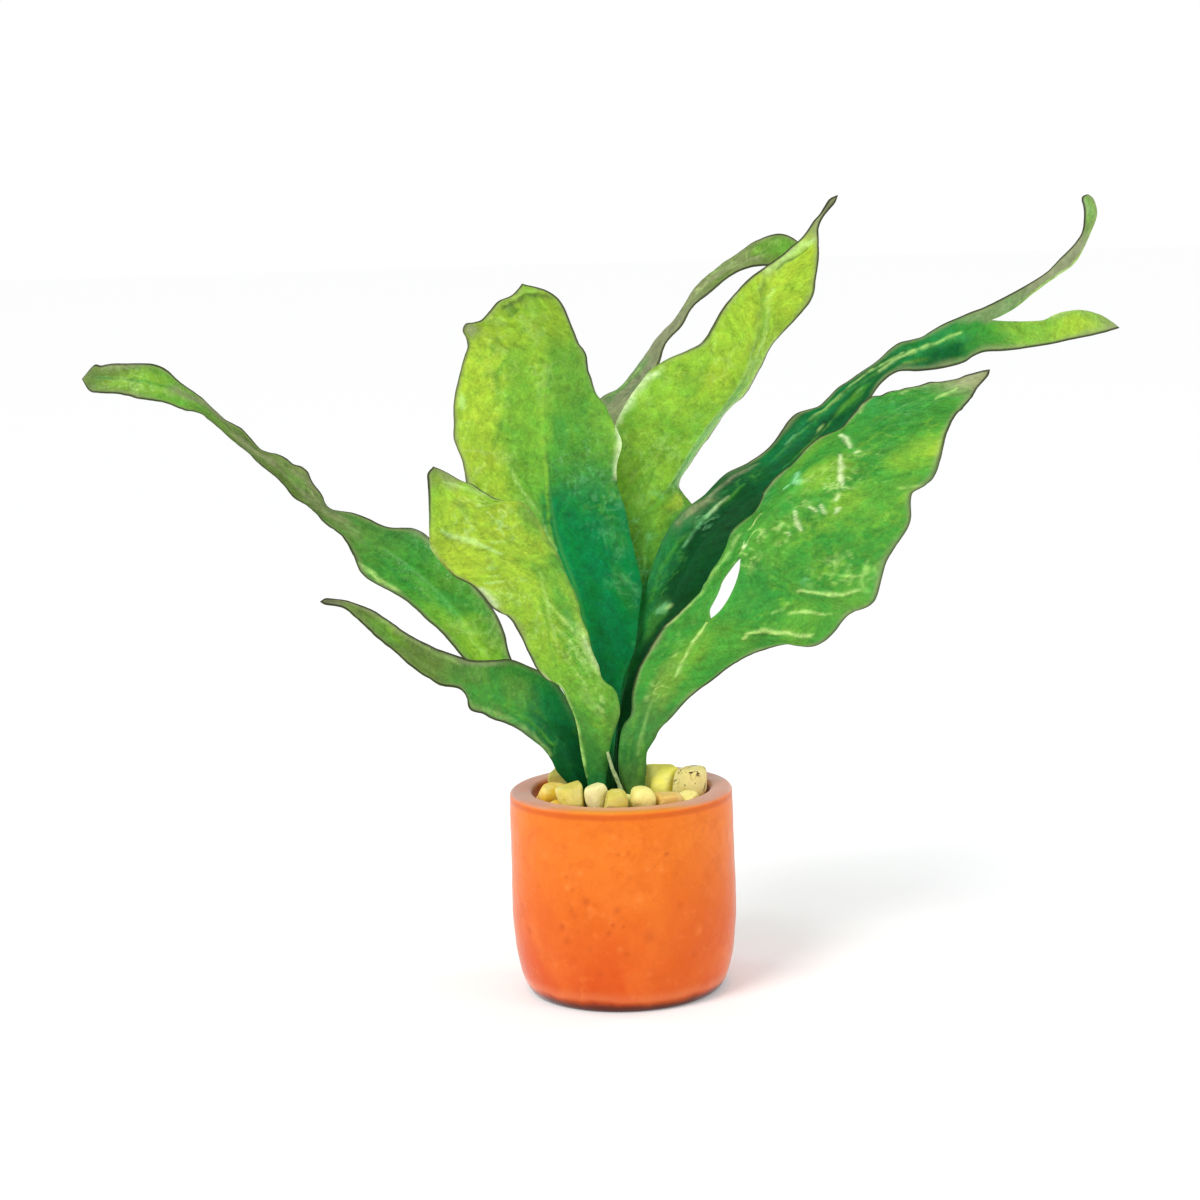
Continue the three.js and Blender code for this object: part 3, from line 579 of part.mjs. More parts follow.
function geometryFrom(points, faces) {
  const geometry = new THREE.BufferGeometry();
  const flat = new Float32Array(points.length * 3);
  points.forEach((p, i) => flat.set([p.x, p.y, p.z], i * 3));
  geometry.setAttribute('position', new THREE.BufferAttribute(flat, 3));
  geometry.setIndex(faces.flat());
  geometry.computeVertexNormals();
  return geometry;
}

function piece(name, geometry, color, roughness) {
  const mesh = new THREE.Mesh(geometry, new THREE.MeshStandardMaterial({ color, roughness, metalness: 0 }));
  mesh.name = name;
  return mesh;
}

// A blade: an open sheet through the ribs, thickened to both sides and closed along its margins.
function frondGeometry({ rows, camber }) {
  const points = [];
  const along = [];
  const lookup = new Map();
  const add = (p, s) => {
    const key = `${p.x.toFixed(3)},${p.y.toFixed(3)},${p.z.toFixed(3)}`;
    if (!lookup.has(key)) {
      lookup.set(key, points.length);
      points.push(p);
      along.push(s);
    }
    return lookup.get(key);
  };

  const ribs = rows.map((r) => (r.length === 4 ? r.map(v3) : [v3(r[0]), v3(r[1]), v3(r[1]), v3(r[2])]));
  const mids = ribs.map((r) => r[1].clone().add(r[2]).multiplyScalar(0.5));
  let length = 0;
  const stations = mids.map((m, i) => (length += i ? m.distanceTo(mids[i - 1]) : 0));

  const grid = ribs.map((r, i) => {
    const ahead = mids[Math.min(i + 1, mids.length - 1)].clone().sub(mids[Math.max(i - 1, 0)]);
    const across = r[3].clone().sub(r[0]);
    const normal = across.cross(ahead).normalize();
    const halves = [[r[0], r[1]], [r[2], r[3]]];
    return halves.map(([from, to]) => {
      const line = [];
      const bulge = from.distanceTo(to) * camber;
      for (let k = 0; k <= BLADE_COLUMNS; k++) {
        const w = k / BLADE_COLUMNS;
        const p = from.clone().lerp(to, w).addScaledVector(normal, bulge * 4 * w * (1 - w));
        line.push(add(p, stations[i]));
      }
      return line;
    });
  });

  const sheet = [];
  const tri = (a, b, c) => {
    if (a !== b && b !== c && c !== a) sheet.push([a, b, c]);
  };
  for (let i = 0; i + 1 < grid.length; i++) {
    for (let half = 0; half < 2; half++) {
      for (let k = 0; k < BLADE_COLUMNS; k++) {
        const a = grid[i][half][k];
        const b = grid[i][half][k + 1];
        const c = grid[i + 1][half][k + 1];
        const d = grid[i + 1][half][k];
        tri(a, b, c);
        tri(a, c, d);
      }
    }
  }

  const normals = points.map(() => new THREE.Vector3());
  for (const [a, b, c] of sheet) {
    const n = points[b].clone().sub(points[a]).cross(points[c].clone().sub(points[a]));
    for (const i of [a, b, c]) normals[i].add(n);
  }
  const count = points.length;
  const top = [];
  const under = [];
  points.forEach((p, i) => {
    const fade = Math.min(1, along[i] / STALK_LENGTH);
    const half = (STALK + (BLADE - STALK) * fade * (2 - fade)) / 2;
    const n = normals[i].normalize();
    for (const [list, sign] of [[top, 1], [under, -1]]) {
      const q = p.clone().addScaledVector(n, sign * half);
      q.z = Math.max(q.z, FOOT_Z);
      list.push(q);
    }
  });

  const faces = [];
  const edges = new Map();
  for (const [a, b, c] of sheet) {
    faces.push([a, b, c], [c + count, b + count, a + count]);
    for (const [m, n] of [[a, b], [b, c], [c, a]]) {
      const back = `${n}_${m}`;
      if (edges.has(back)) edges.delete(back);
      else edges.set(`${m}_${n}`, [m, n]);
    }
  }
  for (const [m, n] of edges.values()) {
    faces.push([n, m, m + count], [n, m + count, n + count]);
  }
  return geometryFrom([...top, ...under], faces);
}

// A chip of gravel. Its corners are the points where three of its broken faces meet, inside all the others.
function chipGeometry({ at, faces }) {
  const flats = faces.map(([x, y, z, reach]) => ({ n: new THREE.Vector3(x, y, z).normalize(), reach }));
  const corners = [];
  for (let i = 0; i < flats.length; i++) {
    for (let j = i + 1; j < flats.length; j++) {
      for (let k = j + 1; k < flats.length; k++) {
        const [a, b, c] = [flats[i], flats[j], flats[k]];
        const bc = b.n.clone().cross(c.n);
        const det = a.n.dot(bc);
        if (Math.abs(det) < 1e-3) continue;
        const p = bc.multiplyScalar(a.reach)
          .addScaledVector(c.n.clone().cross(a.n), b.reach)
          .addScaledVector(a.n.clone().cross(b.n), c.reach)
          .divideScalar(det);
        if (flats.some(({ n, reach }) => n.dot(p) > reach + 1e-6)) continue;
        if (corners.every((q) => q.distanceTo(p) > 0.12)) corners.push(p);
      }
    }
  }
  const hull = new ConvexGeometry(corners.map((p) => p.add(new THREE.Vector3(...at))));
  hull.deleteAttribute('normal');
  const whole = mergeVertices(hull);
  whole.computeVertexNormals();
  return whole;
}

// A solid of revolution about Z from [radius, height] pairs that start and end on the axis,
// written from the bottom up the outside.
function turned(profile, sides) {
  const points = [];
  const rings = profile.map(([r, z]) => {
    if (r < 1e-6) {
      points.push(new THREE.Vector3(0, 0, z));
      return [points.length - 1];
    }
    const ring = [];
    for (let i = 0; i < sides; i++) {
      const t = (2 * Math.PI * i) / sides;
      ring.push(points.length);
      points.push(new THREE.Vector3(r * Math.cos(t), r * Math.sin(t), z));
    }
    return ring;
  });
  const faces = [];
  for (let k = 0; k + 1 < rings.length; k++) {
    const lo = rings[k];
    const hi = rings[k + 1];
    for (let i = 0; i < sides; i++) {
      const j = (i + 1) % sides;
      if (lo.length === 1) faces.push([lo[0], hi[j], hi[i]]);
      else if (hi.length === 1) faces.push([lo[i], lo[j], hi[0]]);
      else faces.push([lo[i], lo[j], hi[j]], [lo[i], hi[j], hi[i]]);
    }
  }
  return geometryFrom(points, faces);
}

const innerRadius = POT_RIM_RADIUS - POT_WALL;

function potProfile() {
  const profile = [[0, 0]];
  const steps = 8;
  for (let i = steps; i >= 0; i--) {
    const t = (Math.PI / 2) * (i / steps);
    profile.push([
      POT_SIDE_RADIUS - POT_CORNER_WIDE + POT_CORNER_WIDE * Math.cos(t),
      POT_CORNER_HIGH - POT_CORNER_HIGH * Math.sin(t),
    ]);
  }
  profile.push(
    [POT_RIM_RADIUS, POT_HEIGHT - RIM_EDGE],
    [POT_RIM_RADIUS - RIM_EDGE * 0.3, POT_HEIGHT - RIM_EDGE * 0.3],
    [POT_RIM_RADIUS - RIM_EDGE, POT_HEIGHT],
    [innerRadius + RIM_EDGE, POT_HEIGHT],
    [innerRadius + RIM_EDGE * 0.3, POT_HEIGHT - RIM_EDGE * 0.3],
    [innerRadius, POT_HEIGHT - RIM_EDGE],
    [innerRadius, 48],
    [innerRadius - 2.2, 26],
    [innerRadius - 8, POT_FLOOR + 2.5],
    [innerRadius - 14, POT_FLOOR],
    [0, POT_FLOOR],
  );
  return profile;
}

function mixProfile() {
  return [
    [0, POT_FLOOR + GAP],
    [innerRadius - 14.2, POT_FLOOR + GAP],
    [innerRadius - 8.4, POT_FLOOR + 2.5 + GAP],
    [innerRadius - 2.2 - GAP, 26 + GAP],
    [innerRadius - GAP, 48 + GAP],
    [innerRadius - GAP, MIX_TOP - 0.8],
    [innerRadius - 3, MIX_TOP],
    [0, MIX_TOP],
  ];
}

// The rhizome: a low knobbly cushion with a nearly flat top that the stalks stand on.
function rhizomeGeometry() {
  const { x, y, z, rx, ry, rz } = RHIZOME;
  const sides = 28;
  const levels = 9;
  const points = [new THREE.Vector3(x, y, z - rz)];
  for (let k = 1; k < levels; k++) {
    const phi = Math.PI * (k / levels) - Math.PI / 2;
    for (let i = 0; i < sides; i++) {
      const t = (2 * Math.PI * i) / sides;
      const lump = 1 + 0.05 * Math.sin(3 * t + 0.6) + 0.035 * Math.sin(7 * t + k);
      const flat = (u, e) => Math.sign(u) * Math.abs(u) ** e;
      points.push(new THREE.Vector3(
        x + rx * 0.93 * lump * flat(Math.cos(phi), 0.35) * Math.cos(t),
        y + ry * 0.93 * lump * flat(Math.cos(phi), 0.35) * Math.sin(t),
        z + rz * flat(Math.sin(phi), 0.6),
      ));
    }
  }
  points.push(new THREE.Vector3(x, y, z + rz));
  const last = points.length - 1;
  const faces = [];
  for (let i = 0; i < sides; i++) {
    const j = (i + 1) % sides;
    faces.push([0, 1 + j, 1 + i]);
    for (let k = 0; k + 2 < levels; k++) {
      const lo = 1 + k * sides;
      const hi = lo + sides;
      faces.push([lo + i, lo + j, hi + j], [lo + i, hi + j, hi + i]);
    }
    const top = 1 + (levels - 2) * sides;
    faces.push([top + i, top + j, last]);
  }
  return geometryFrom(points, faces);
}

// A round tapering strand through [x, y, z, radius] points, closed at both ends.
function strandGeometry(path, sides = 8) {
  const curve = new THREE.CatmullRomCurve3(path.map(v3));
  const steps = (path.length - 1) * 2;
  const frames = curve.computeFrenetFrames(steps, false);
  const points = [];
  for (let i = 0; i <= steps; i++) {
    const t = i / steps;
    const at = t * (path.length - 1);
    const k = Math.min(Math.floor(at), path.length - 2);
    const radius = path[k][3] + (path[k + 1][3] - path[k][3]) * (at - k);
    const centre = curve.getPoint(t);
    for (let s = 0; s < sides; s++) {
      const a = (2 * Math.PI * s) / sides;
      points.push(centre.clone()
        .addScaledVector(frames.normals[i], radius * Math.cos(a))
        .addScaledVector(frames.binormals[i], radius * Math.sin(a)));
    }
  }
  for (const p of points) p.z = Math.max(p.z, STONE_BED);
  const faces = [];
  for (let i = 0; i < steps; i++) {
    for (let s = 0; s < sides; s++) {
      const a = i * sides + s;
      const b = i * sides + ((s + 1) % sides);
      faces.push([a, b, b + sides], [a, b + sides, a + sides]);
    }
  }
  for (let s = 1; s + 1 < sides; s++) {
    faces.push([0, s + 1, s]);
    const e = steps * sides;
    faces.push([e, e + s, e + s + 1]);
  }
  return geometryFrom(points, faces);
}

// ---- the plant ----
const fern = new THREE.Group();
fern.name = 'microsorum_fern';

const vessel = new THREE.Group();
vessel.add(piece('pot', turned(potProfile(), SIDES), 0xe8772e, 0.75));
vessel.add(piece('potting_mix', turned(mixProfile(), 48), 0x3b2a1e, 0.95));
fern.add(vessel);

const gravel = new THREE.Group();
CHIPS.forEach((chip, i) => {
  const tint = [0xf4e9a0, 0xf0d94f, 0xf8f2d0, 0xe9dca0][i % 4];
  gravel.add(piece(`stone_${String(i + 1).padStart(2, '0')}`, chipGeometry(chip), tint, 0.85));
});
fern.add(gravel);

const plant = new THREE.Group();
plant.add(piece('rhizome', rhizomeGeometry(), 0x5a4326, 0.9));
plant.add(piece('aerial_root', strandGeometry(AERIAL_ROOT), 0xb9c79b, 0.7));
for (const frond of FRONDS) plant.add(piece(frond.name, frondGeometry(frond), frond.color, 0.45));
fern.add(plant);

export default fern;
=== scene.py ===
# A microsorum fern in a round terracotta pot topped with pale gravel.
# Metres, +Z up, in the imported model's frame. The plant data below is in millimetres.

import math
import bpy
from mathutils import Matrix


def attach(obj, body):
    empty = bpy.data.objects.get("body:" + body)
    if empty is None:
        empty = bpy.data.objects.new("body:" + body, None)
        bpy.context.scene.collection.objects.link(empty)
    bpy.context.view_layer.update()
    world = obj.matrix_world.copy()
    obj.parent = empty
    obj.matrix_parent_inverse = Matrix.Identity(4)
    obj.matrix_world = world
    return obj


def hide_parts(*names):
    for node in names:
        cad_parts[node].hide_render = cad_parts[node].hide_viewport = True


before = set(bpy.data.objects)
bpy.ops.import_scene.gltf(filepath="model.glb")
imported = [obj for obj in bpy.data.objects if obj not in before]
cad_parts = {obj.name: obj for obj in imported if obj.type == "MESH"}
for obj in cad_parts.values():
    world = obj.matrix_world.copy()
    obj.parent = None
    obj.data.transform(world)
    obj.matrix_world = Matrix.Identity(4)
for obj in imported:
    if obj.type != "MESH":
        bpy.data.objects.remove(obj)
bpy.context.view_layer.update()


import bpy
import numpy as np
from mathutils import Matrix, Vector

MM = 0.001

# ---------------------------------------------------------------- plant data (mm)
# rows: ribs from foot to tip, each [first margin, midrib side one, (midrib side two,) second margin].
# tone: the blade's main colours along its length; the darker tones near the foot are partly painted shade among the
# stalks.
# paint: soft patches and lines in blade coordinates, where s runs from the foot along the midrib and c across from it,
# both in mm.
# Many of them are painted light: white, pale and mint lines, dots and puckers are mostly painted highlights and glints,
# and dark and teal patches and sunken dark lines in creases are mostly painted shade.
FRONDS = [
    {
        "name": "frond_left_long",
        "camber": 0.07,
        "rib_tone": 0.02,
        "cols": 20,
        "sub": 5,
        "seed": 1.0,
        "ruffle": 1.3,
        "ruffle_len": 31,
        "quilt": 0.25,
        "crinkle": 0.45,
        "broad": 1.2,
        "rib": 0.5,
        "pitch": 7.5,
        "tone": [[0, "deep"], [0.1, "green"], [0.24, "mid"], [0.42, "green"], [0.6, "olive"], [0.74, "olive"], [0.86, "mid"], [0.95, "olive"], [1, "olive"]],
        "paint": [
            ["dot", [109.2, -0.0, 30, 16], "lime", 0.65],
            ["dot", [150.7, -13.7, 28, 14], "mid", 0.6],
            ["dot", [103.4, -10.2, 12, 10], "olive", 0.5],
            ["box", [103.4, 224.7, -1.0, -0.35, 20, 0.3], "deep", 0.3],
            ["dot", [134.9, -1.3, 16, 10], "deep", 0.45],
            ["dot", [125.5, 12.3, 20, 8], "lime", 0.4],
            ["dot", [98.8, 10.2, 20, 10], "lime", 0.5],
            ["line", [[[181.5, 19.9], [166.7, 20.1], [153.1, 17.2]], 1.6], "pale", 0.75, 0.6],
            ["line", [[[140.9, 8.0], [164.2, 9.8], [185.3, 6.9]], 1.6], "deep", 0.35, -0.3],
            ["line", [[[239.0, 1.8], [271.3, 0.9], [298.9, -6.7], [320.4, -8.3]], 1.2], "grey", 0.55, 0.2],
            ["dot", [360.3, -0.8, 26, 10], "lime", 0.5],
            ["dot", [374.9, 4.4, 22, 8], "lime", 0.55],
            ["line", [[[331.3, -5.8], [356.7, -0.0], [381.1, 0.7], [392.2, -0.0]], 1.1], "deep", 0.55, -0.3],
            ["crumple", [366.4, 1.5, 30, 9, 6], "pale", 0.4, 0.15],
            ["dot", [394.6, 0.9, 7, 9], "dry", 0.25],
            ["line", [[[247.4, -9.9], [254.6, -6.9], [259.4, -7.6]], 1.6], "grey", 0.6, 0.4],
            ["line", [[[236.6, -6.2], [246.2, -6.2]], 1.0], "pale", 0.5, 0.4],
            ["crumple", [120.8, -2.5, 40, 16, 9], "pale", 0.22, 0.12],
            ["dot", [231.8, -1.8, 26, 12], "margin", 0.55],
            ["dot", [249.8, -7.4, 20, 10], "margin", 0.35],
            ["dot", [265.4, -3.5, 16, 9], "margin", 0.3],
            ["dot", [254.6, -3.0, 18, 6], "mid", 0.4],
            ["dot", [211.3, 4.0, 18, 8], "margin", 0.3],
            ["line", [[[308.5, -11.3], [320.4, -9.2], [332.5, -3.3], [342.2, -1.6]], 4.6], "margin", 0.8, 0.1],
            ["dot", [285.7, -0.9, 24, 9], "margin", 0.7],
            ["dot", [378.6, 8.6, 12, 5], "olive", 0.5],
        ],
        "rows": [
            [[-14.0, 9.0, 100.6], [-17.0, 9.0, 100.6], [-20.0, 9.0, 100.6]],
            [[-15.7, 9.2, 105.2], [-18.5, 9.1, 105.0], [-21.6, 9.0, 104.5]],
            [[-17.5, 9.5, 109.7], [-20.1, 9.3, 109.2], [-23.1, 9.1, 108.4]],
            [[-19.3, 9.9, 114.1], [-22.0, 9.5, 113.4], [-24.9, 9.2, 112.3]],
            [[-21.2, 10.3, 118.5], [-24.0, 9.8, 117.3], [-26.8, 9.4, 116.0]],
            [[-23.3, 10.8, 122.7], [-26.1, 10.1, 121.2], [-29.1, 9.5, 119.6]],
            [[-25.4, 11.3, 126.9], [-28.5, 10.5, 125.0], [-31.7, 9.7, 122.9]],
            [[-27.7, 11.9, 130.9], [-30.9, 10.9, 128.7], [-34.3, 10.0, 126.3]],
            [[-30.1, 12.5, 134.9], [-33.4, 11.4, 132.3], [-37.1, 10.2, 129.5]],
            [[-32.6, 13.2, 138.8], [-36.0, 11.9, 135.9], [-39.8, 10.6, 132.6]],
            [[-35.1, 14.1, 142.6], [-38.7, 12.6, 139.4], [-42.6, 11.2, 135.7]],
            [[-37.6, 15.0, 146.3], [-41.5, 13.4, 142.8], [-45.6, 11.7, 138.7]],
            [[-40.1, 16.0, 150.0], [-44.3, 14.2, 146.2], [-48.6, 12.4, 141.8]],
            [[-42.6, 17.0, 153.5], [-47.1, 15.0, 149.6], [-51.9, 13.0, 144.9]],
            [[-45.0, 18.0, 156.9], [-49.9, 15.8, 153.0], [-55.3, 13.6, 148.1]],
            [[-47.3, 19.2, 160.2], [-52.7, 16.7, 156.3], [-58.9, 14.2, 151.4]],
            [[-49.5, 20.4, 163.5], [-55.5, 17.6, 159.7], [-62.5, 14.8, 154.9]],
            [[-51.6, 21.7, 166.7], [-58.2, 18.6, 163.1], [-66.0, 15.5, 158.7]],
            [[-53.7, 23.0, 169.9], [-60.9, 19.6, 166.6], [-69.4, 16.3, 162.7]],
            [[-55.8, 24.4, 173.3], [-63.5, 20.7, 170.1], [-72.6, 17.1, 166.7]],
            [[-57.3, 25.9, 177.1], [-66.0, 21.9, 173.7], [-75.9, 17.9, 170.8]],
            [[-58.8, 27.4, 181.1], [-68.4, 23.2, 177.3], [-79.2, 18.9, 174.8]],
            [[-59.9, 29.2, 185.3], [-70.8, 24.6, 180.9], [-82.8, 20.1, 178.8]],
            [[-60.6, 30.9, 189.6], [-73.1, 26.2, 184.6], [-86.2, 21.5, 182.7]],
            [[-61.9, 32.7, 193.6], [-75.4, 27.8, 188.2], [-89.4, 22.8, 186.7]],
            [[-63.4, 34.5, 197.3], [-77.8, 29.4, 191.8], [-92.3, 24.2, 190.3]],
            [[-65.0, 36.3, 200.6], [-80.3, 31.0, 195.4], [-95.3, 25.6, 193.6]],
            [[-67.0, 38.2, 203.6], [-82.9, 32.6, 198.9], [-98.5, 27.1, 196.7]],
            [[-69.3, 40.1, 206.6], [-85.6, 34.3, 202.3], [-101.7, 28.6, 199.5]],
            [[-71.6, 42.0, 209.7], [-88.4, 36.1, 205.7], [-105.0, 30.2, 202.3]],
            [[-74.2, 44.1, 213.1], [-91.4, 38.0, 208.9], [-108.3, 31.9, 205.2]],
            [[-77.1, 46.3, 216.7], [-94.4, 40.0, 212.0], [-111.6, 33.7, 207.9]],
            [[-80.4, 48.6, 220.3], [-97.6, 42.1, 215.1], [-114.9, 35.6, 210.6]],
            [[-83.8, 51.0, 223.9], [-100.9, 44.2, 218.0], [-118.6, 37.5, 213.0]],
            [[-87.3, 53.3, 227.5], [-104.2, 46.4, 221.0], [-122.5, 39.4, 215.1]],
            [[-90.8, 55.6, 231.1], [-107.6, 48.4, 223.8], [-127.0, 41.3, 217.1]],
            [[-94.4, 57.9, 234.7], [-111.1, 50.5, 226.6], [-131.8, 43.1, 219.4]],
            [[-98.2, 60.2, 238.3], [-114.7, 52.6, 229.3], [-136.5, 45.0, 222.1]],
            [[-102.2, 62.5, 241.6], [-118.4, 54.7, 231.8], [-140.1, 46.8, 225.5]],
            [[-106.4, 64.8, 244.6], [-122.3, 56.7, 234.2], [-142.1, 48.6, 229.0]],
            [[-111.2, 67.0, 246.3], [-126.2, 58.7, 236.5], [-143.2, 50.4, 232.2]],
            [[-116.5, 69.2, 246.5], [-130.2, 60.6, 238.7], [-144.5, 52.1, 234.9]],
            [[-121.9, 71.5, 246.5], [-134.2, 62.6, 240.9], [-146.3, 53.7, 237.7]],
            [[-127.6, 73.9, 247.4], [-138.1, 64.5, 243.2], [-148.7, 55.1, 240.8]],
            [[-133.3, 76.4, 249.4], [-142.0, 66.4, 245.6], [-151.6, 56.5, 244.1]],
            [[-139.0, 78.8, 251.6], [-145.9, 68.3, 248.1], [-155.0, 57.7, 247.2]],
            [[-144.4, 81.0, 253.5], [-149.8, 70.0, 250.5], [-158.3, 59.0, 250.0]],
            [[-149.6, 82.9, 254.8], [-153.8, 71.5, 252.9], [-161.3, 60.1, 252.5]],
            [[-154.5, 84.6, 255.9], [-157.7, 72.9, 255.2], [-164.1, 61.2, 254.9]],
            [[-159.1, 86.2, 257.4], [-161.6, 74.3, 257.7], [-166.9, 62.4, 257.3]],
            [[-162.7, 87.7, 260.5], [-165.3, 75.6, 260.4], [-169.8, 63.6, 259.8]],
            [[-165.0, 88.9, 264.7], [-168.8, 77.1, 263.4], [-172.9, 65.2, 262.5]],
            [[-167.8, 89.9, 268.7], [-172.0, 78.6, 266.6], [-176.2, 67.2, 265.2]],
            [[-169.8, 91.0, 273.1], [-175.2, 80.0, 269.9], [-179.6, 69.0, 268.3]],
            [[-171.3, 92.1, 277.9], [-178.4, 81.3, 273.2], [-183.0, 70.4, 271.7]],
            [[-175.2, 93.4, 281.2], [-181.8, 82.5, 276.4], [-186.7, 71.6, 275.3]],
            [[-180.2, 94.7, 282.4], [-185.2, 83.7, 279.4], [-190.2, 72.8, 278.8]],
            [[-184.3, 96.2, 285.2], [-188.8, 85.0, 282.3], [-193.4, 73.8, 281.9]],
            [[-188.8, 98.0, 287.7], [-192.5, 86.2, 285.1], [-196.6, 74.8, 284.8]],
            [[-193.8, 99.9, 288.9], [-196.3, 87.4, 287.8], [-199.7, 75.8, 287.5]],
            [[-198.6, 101.5, 290.7], [-200.1, 88.6, 290.5], [-202.8, 76.7, 290.2]],
            [[-202.5, 102.9, 294.2], [-203.8, 89.8, 293.3], [-205.9, 77.6, 293.0]],
            [[-206.1, 104.1, 298.0], [-207.4, 90.9, 296.2], [-208.9, 78.5, 295.8]],
            [[-209.9, 105.2, 301.7], [-211.0, 92.0, 299.2], [-211.8, 79.3, 298.6]],
            [[-214.3, 106.3, 304.7], [-214.5, 93.2, 302.2], [-214.8, 80.2, 301.5]],
            [[-218.8, 107.2, 307.4], [-218.0, 94.3, 305.3], [-217.9, 81.3, 304.3]],
            [[-222.8, 108.2, 310.9], [-221.5, 95.4, 308.4], [-221.8, 82.5, 306.7]],
            [[-226.5, 109.1, 314.5], [-225.1, 96.5, 311.4], [-225.5, 83.8, 309.4]],
            [[-230.2, 109.8, 318.0], [-228.7, 97.6, 314.3], [-229.0, 85.4, 312.3]],
            [[-233.9, 110.3, 321.2], [-232.6, 98.7, 316.9], [-232.8, 87.1, 314.1]],
            [[-237.7, 110.6, 324.1], [-236.6, 99.9, 319.4], [-236.9, 89.1, 315.0]],
            [[-241.4, 110.9, 326.9], [-240.8, 101.0, 321.6], [-240.9, 91.2, 315.8]],
            [[-244.8, 111.0, 330.1], [-245.1, 102.1, 323.7], [-245.1, 93.2, 316.8]],
            [[-248.0, 111.0, 333.4], [-249.4, 103.0, 325.6], [-249.5, 95.1, 318.1]],
            [[-251.3, 111.0, 336.6], [-253.8, 103.9, 327.3], [-254.1, 96.9, 319.4]],
            [[-255.2, 111.0, 339.0], [-258.2, 104.7, 328.9], [-258.8, 98.6, 320.4]],
            [[-259.8, 111.1, 340.5], [-262.8, 105.6, 330.4], [-263.5, 99.9, 321.1]],
            [[-264.9, 111.7, 340.9], [-267.4, 106.4, 331.6], [-268.2, 101.0, 322.3]],
            [[-270.0, 112.4, 341.1], [-272.1, 107.3, 332.6], [-272.8, 102.1, 323.6]],
            [[-275.1, 113.1, 341.2], [-276.8, 108.2, 333.2], [-277.4, 103.2, 324.3]],
            [[-280.1, 114.0, 341.3], [-281.6, 109.3, 333.5], [-281.8, 104.5, 324.6]],
            [[-285.2, 114.8, 341.0], [-286.5, 110.3, 333.7], [-286.1, 105.9, 324.8]],
            [[-289.8, 115.0, 340.2], [-291.3, 111.2, 334.0], [-291.0, 107.4, 325.2]],
            [[-293.8, 114.3, 340.6], [-296.1, 111.8, 334.3], [-296.3, 109.2, 326.3]],
            [[-300.8, 112.5, 333.0], [-300.8, 112.5, 333.0], [-300.8, 112.5, 333.0]],
        ],
    },
    {
        "name": "frond_left_low",
        "camber": 0.08,
        "rib_tone": 0.0,
        "cols": 22,
        "sub": 5,
        "seed": 2.0,
        "ruffle": 1.2,
        "ruffle_len": 24,
        "quilt": 0.2,
        "crinkle": 0.45,
        "broad": 1.0,
        "rib": 0.4,
        "pitch": 7.0,
        "grow": [25, 80],
        "tone": [[0, "black"], [0.1, "dark"], [0.25, "deep"], [0.4, "green"], [0.5, "green"], [0.6, "olive"], [0.8, "olive"], [0.93, "olive"], [1, "dry"]],
        "paint": [
            # the dark, teal and black patches near the foot are painted shade where the front frond shadows this blade
            ["dot", [46.6, -6.4, 26, 18], "dark", 0.85],
            ["dot", [53.5, -16.5, 18, 14], "teal", 0.6],
            ["dot", [61.3, -12.1, 16, 10], "deep", 0.5],
            ["dot", [33.1, -4.7, 26, 14], "dark", 0.7],
            ["box", [23.2, 36.4, -1.3, 1.3, 10, 0.2], "black", 0.4],
            ["dot", [83.7, -6.9, 24, 12], "green", 0.6],
            ["dot", [100.9, -4.9, 26, 14], "green", 0.5],
            ["dot", [75.8, -10.6, 20, 12], "olive", 0.35],
            ["dot", [108.2, -7.3, 18, 10], "olive", 0.5],
            ["dot", [83.7, 6.0, 14, 5], "olive", 0.4],
            ["line", [[[106.3, 8.1], [94.5, 8.6], [82.8, 6.7], [68.1, 6.2], [51.8, 6.6], [37.2, 5.8]], 1.4], "pale", 0.3, 0.3],
            ["line", [[[79.3, 0.7], [65.5, 1.3], [52.6, 1.8], [41.4, 1.5]], 1.0], "mid", 0.35, 0.3],
            ["dot", [143.2, -3.2, 26, 9], "olive", 0.5],
            ["dot", [171.0, -0.0, 22, 8], "mid", 0.5],
            ["dot", [161.3, -3.8, 14, 5], "lime", 0.45],
            ["line", [[[116.3, -9.7], [146.9, -9.1], [178.0, -5.3]], 0.9], "pale", 0.3, 0.3],
            ["line", [[[88.2, -19.6], [103.6, -13.7], [120.9, -10.4]], 1.4], "grey", 0.45, 0.2],
            ["crumple", [78.4, -3.5, 30, 12, 6], "mid", 0.4, 0.15],
            ["crumple", [43.1, -4.8, 26, 14, 5], "green", 0.35, 0.12],
            ["dot", [210.0, 0.1, 12, 8], "dry", 0.85],
        ],
        "rows": [
            [[-20.0, -3.0, 100.6], [-23.0, -3.0, 100.6], [-26.0, -3.0, 100.6]],
            [[-19.4, -3.0, 104.0], [-22.9, -3.5, 104.0], [-26.1, -3.6, 103.7]],
            [[-18.8, -3.1, 107.5], [-23.0, -4.0, 107.3], [-26.2, -4.2, 106.7]],
            [[-18.3, -3.2, 111.0], [-23.4, -4.5, 110.6], [-26.5, -4.8, 109.8]],
            [[-17.8, -3.3, 114.5], [-24.0, -5.1, 113.8], [-27.4, -5.6, 112.7]],
            [[-17.5, -3.4, 118.2], [-24.7, -5.8, 116.9], [-29.1, -6.3, 115.2]],
            [[-17.5, -3.6, 121.8], [-25.6, -6.5, 120.0], [-31.0, -7.2, 117.5]],
            [[-17.7, -3.8, 125.5], [-26.7, -7.2, 122.9], [-32.8, -8.0, 119.9]],
            [[-18.2, -4.0, 129.1], [-28.0, -7.9, 125.9], [-34.4, -8.9, 122.5]],
            [[-18.8, -4.3, 132.8], [-29.3, -8.7, 128.7], [-35.5, -9.8, 125.4]],
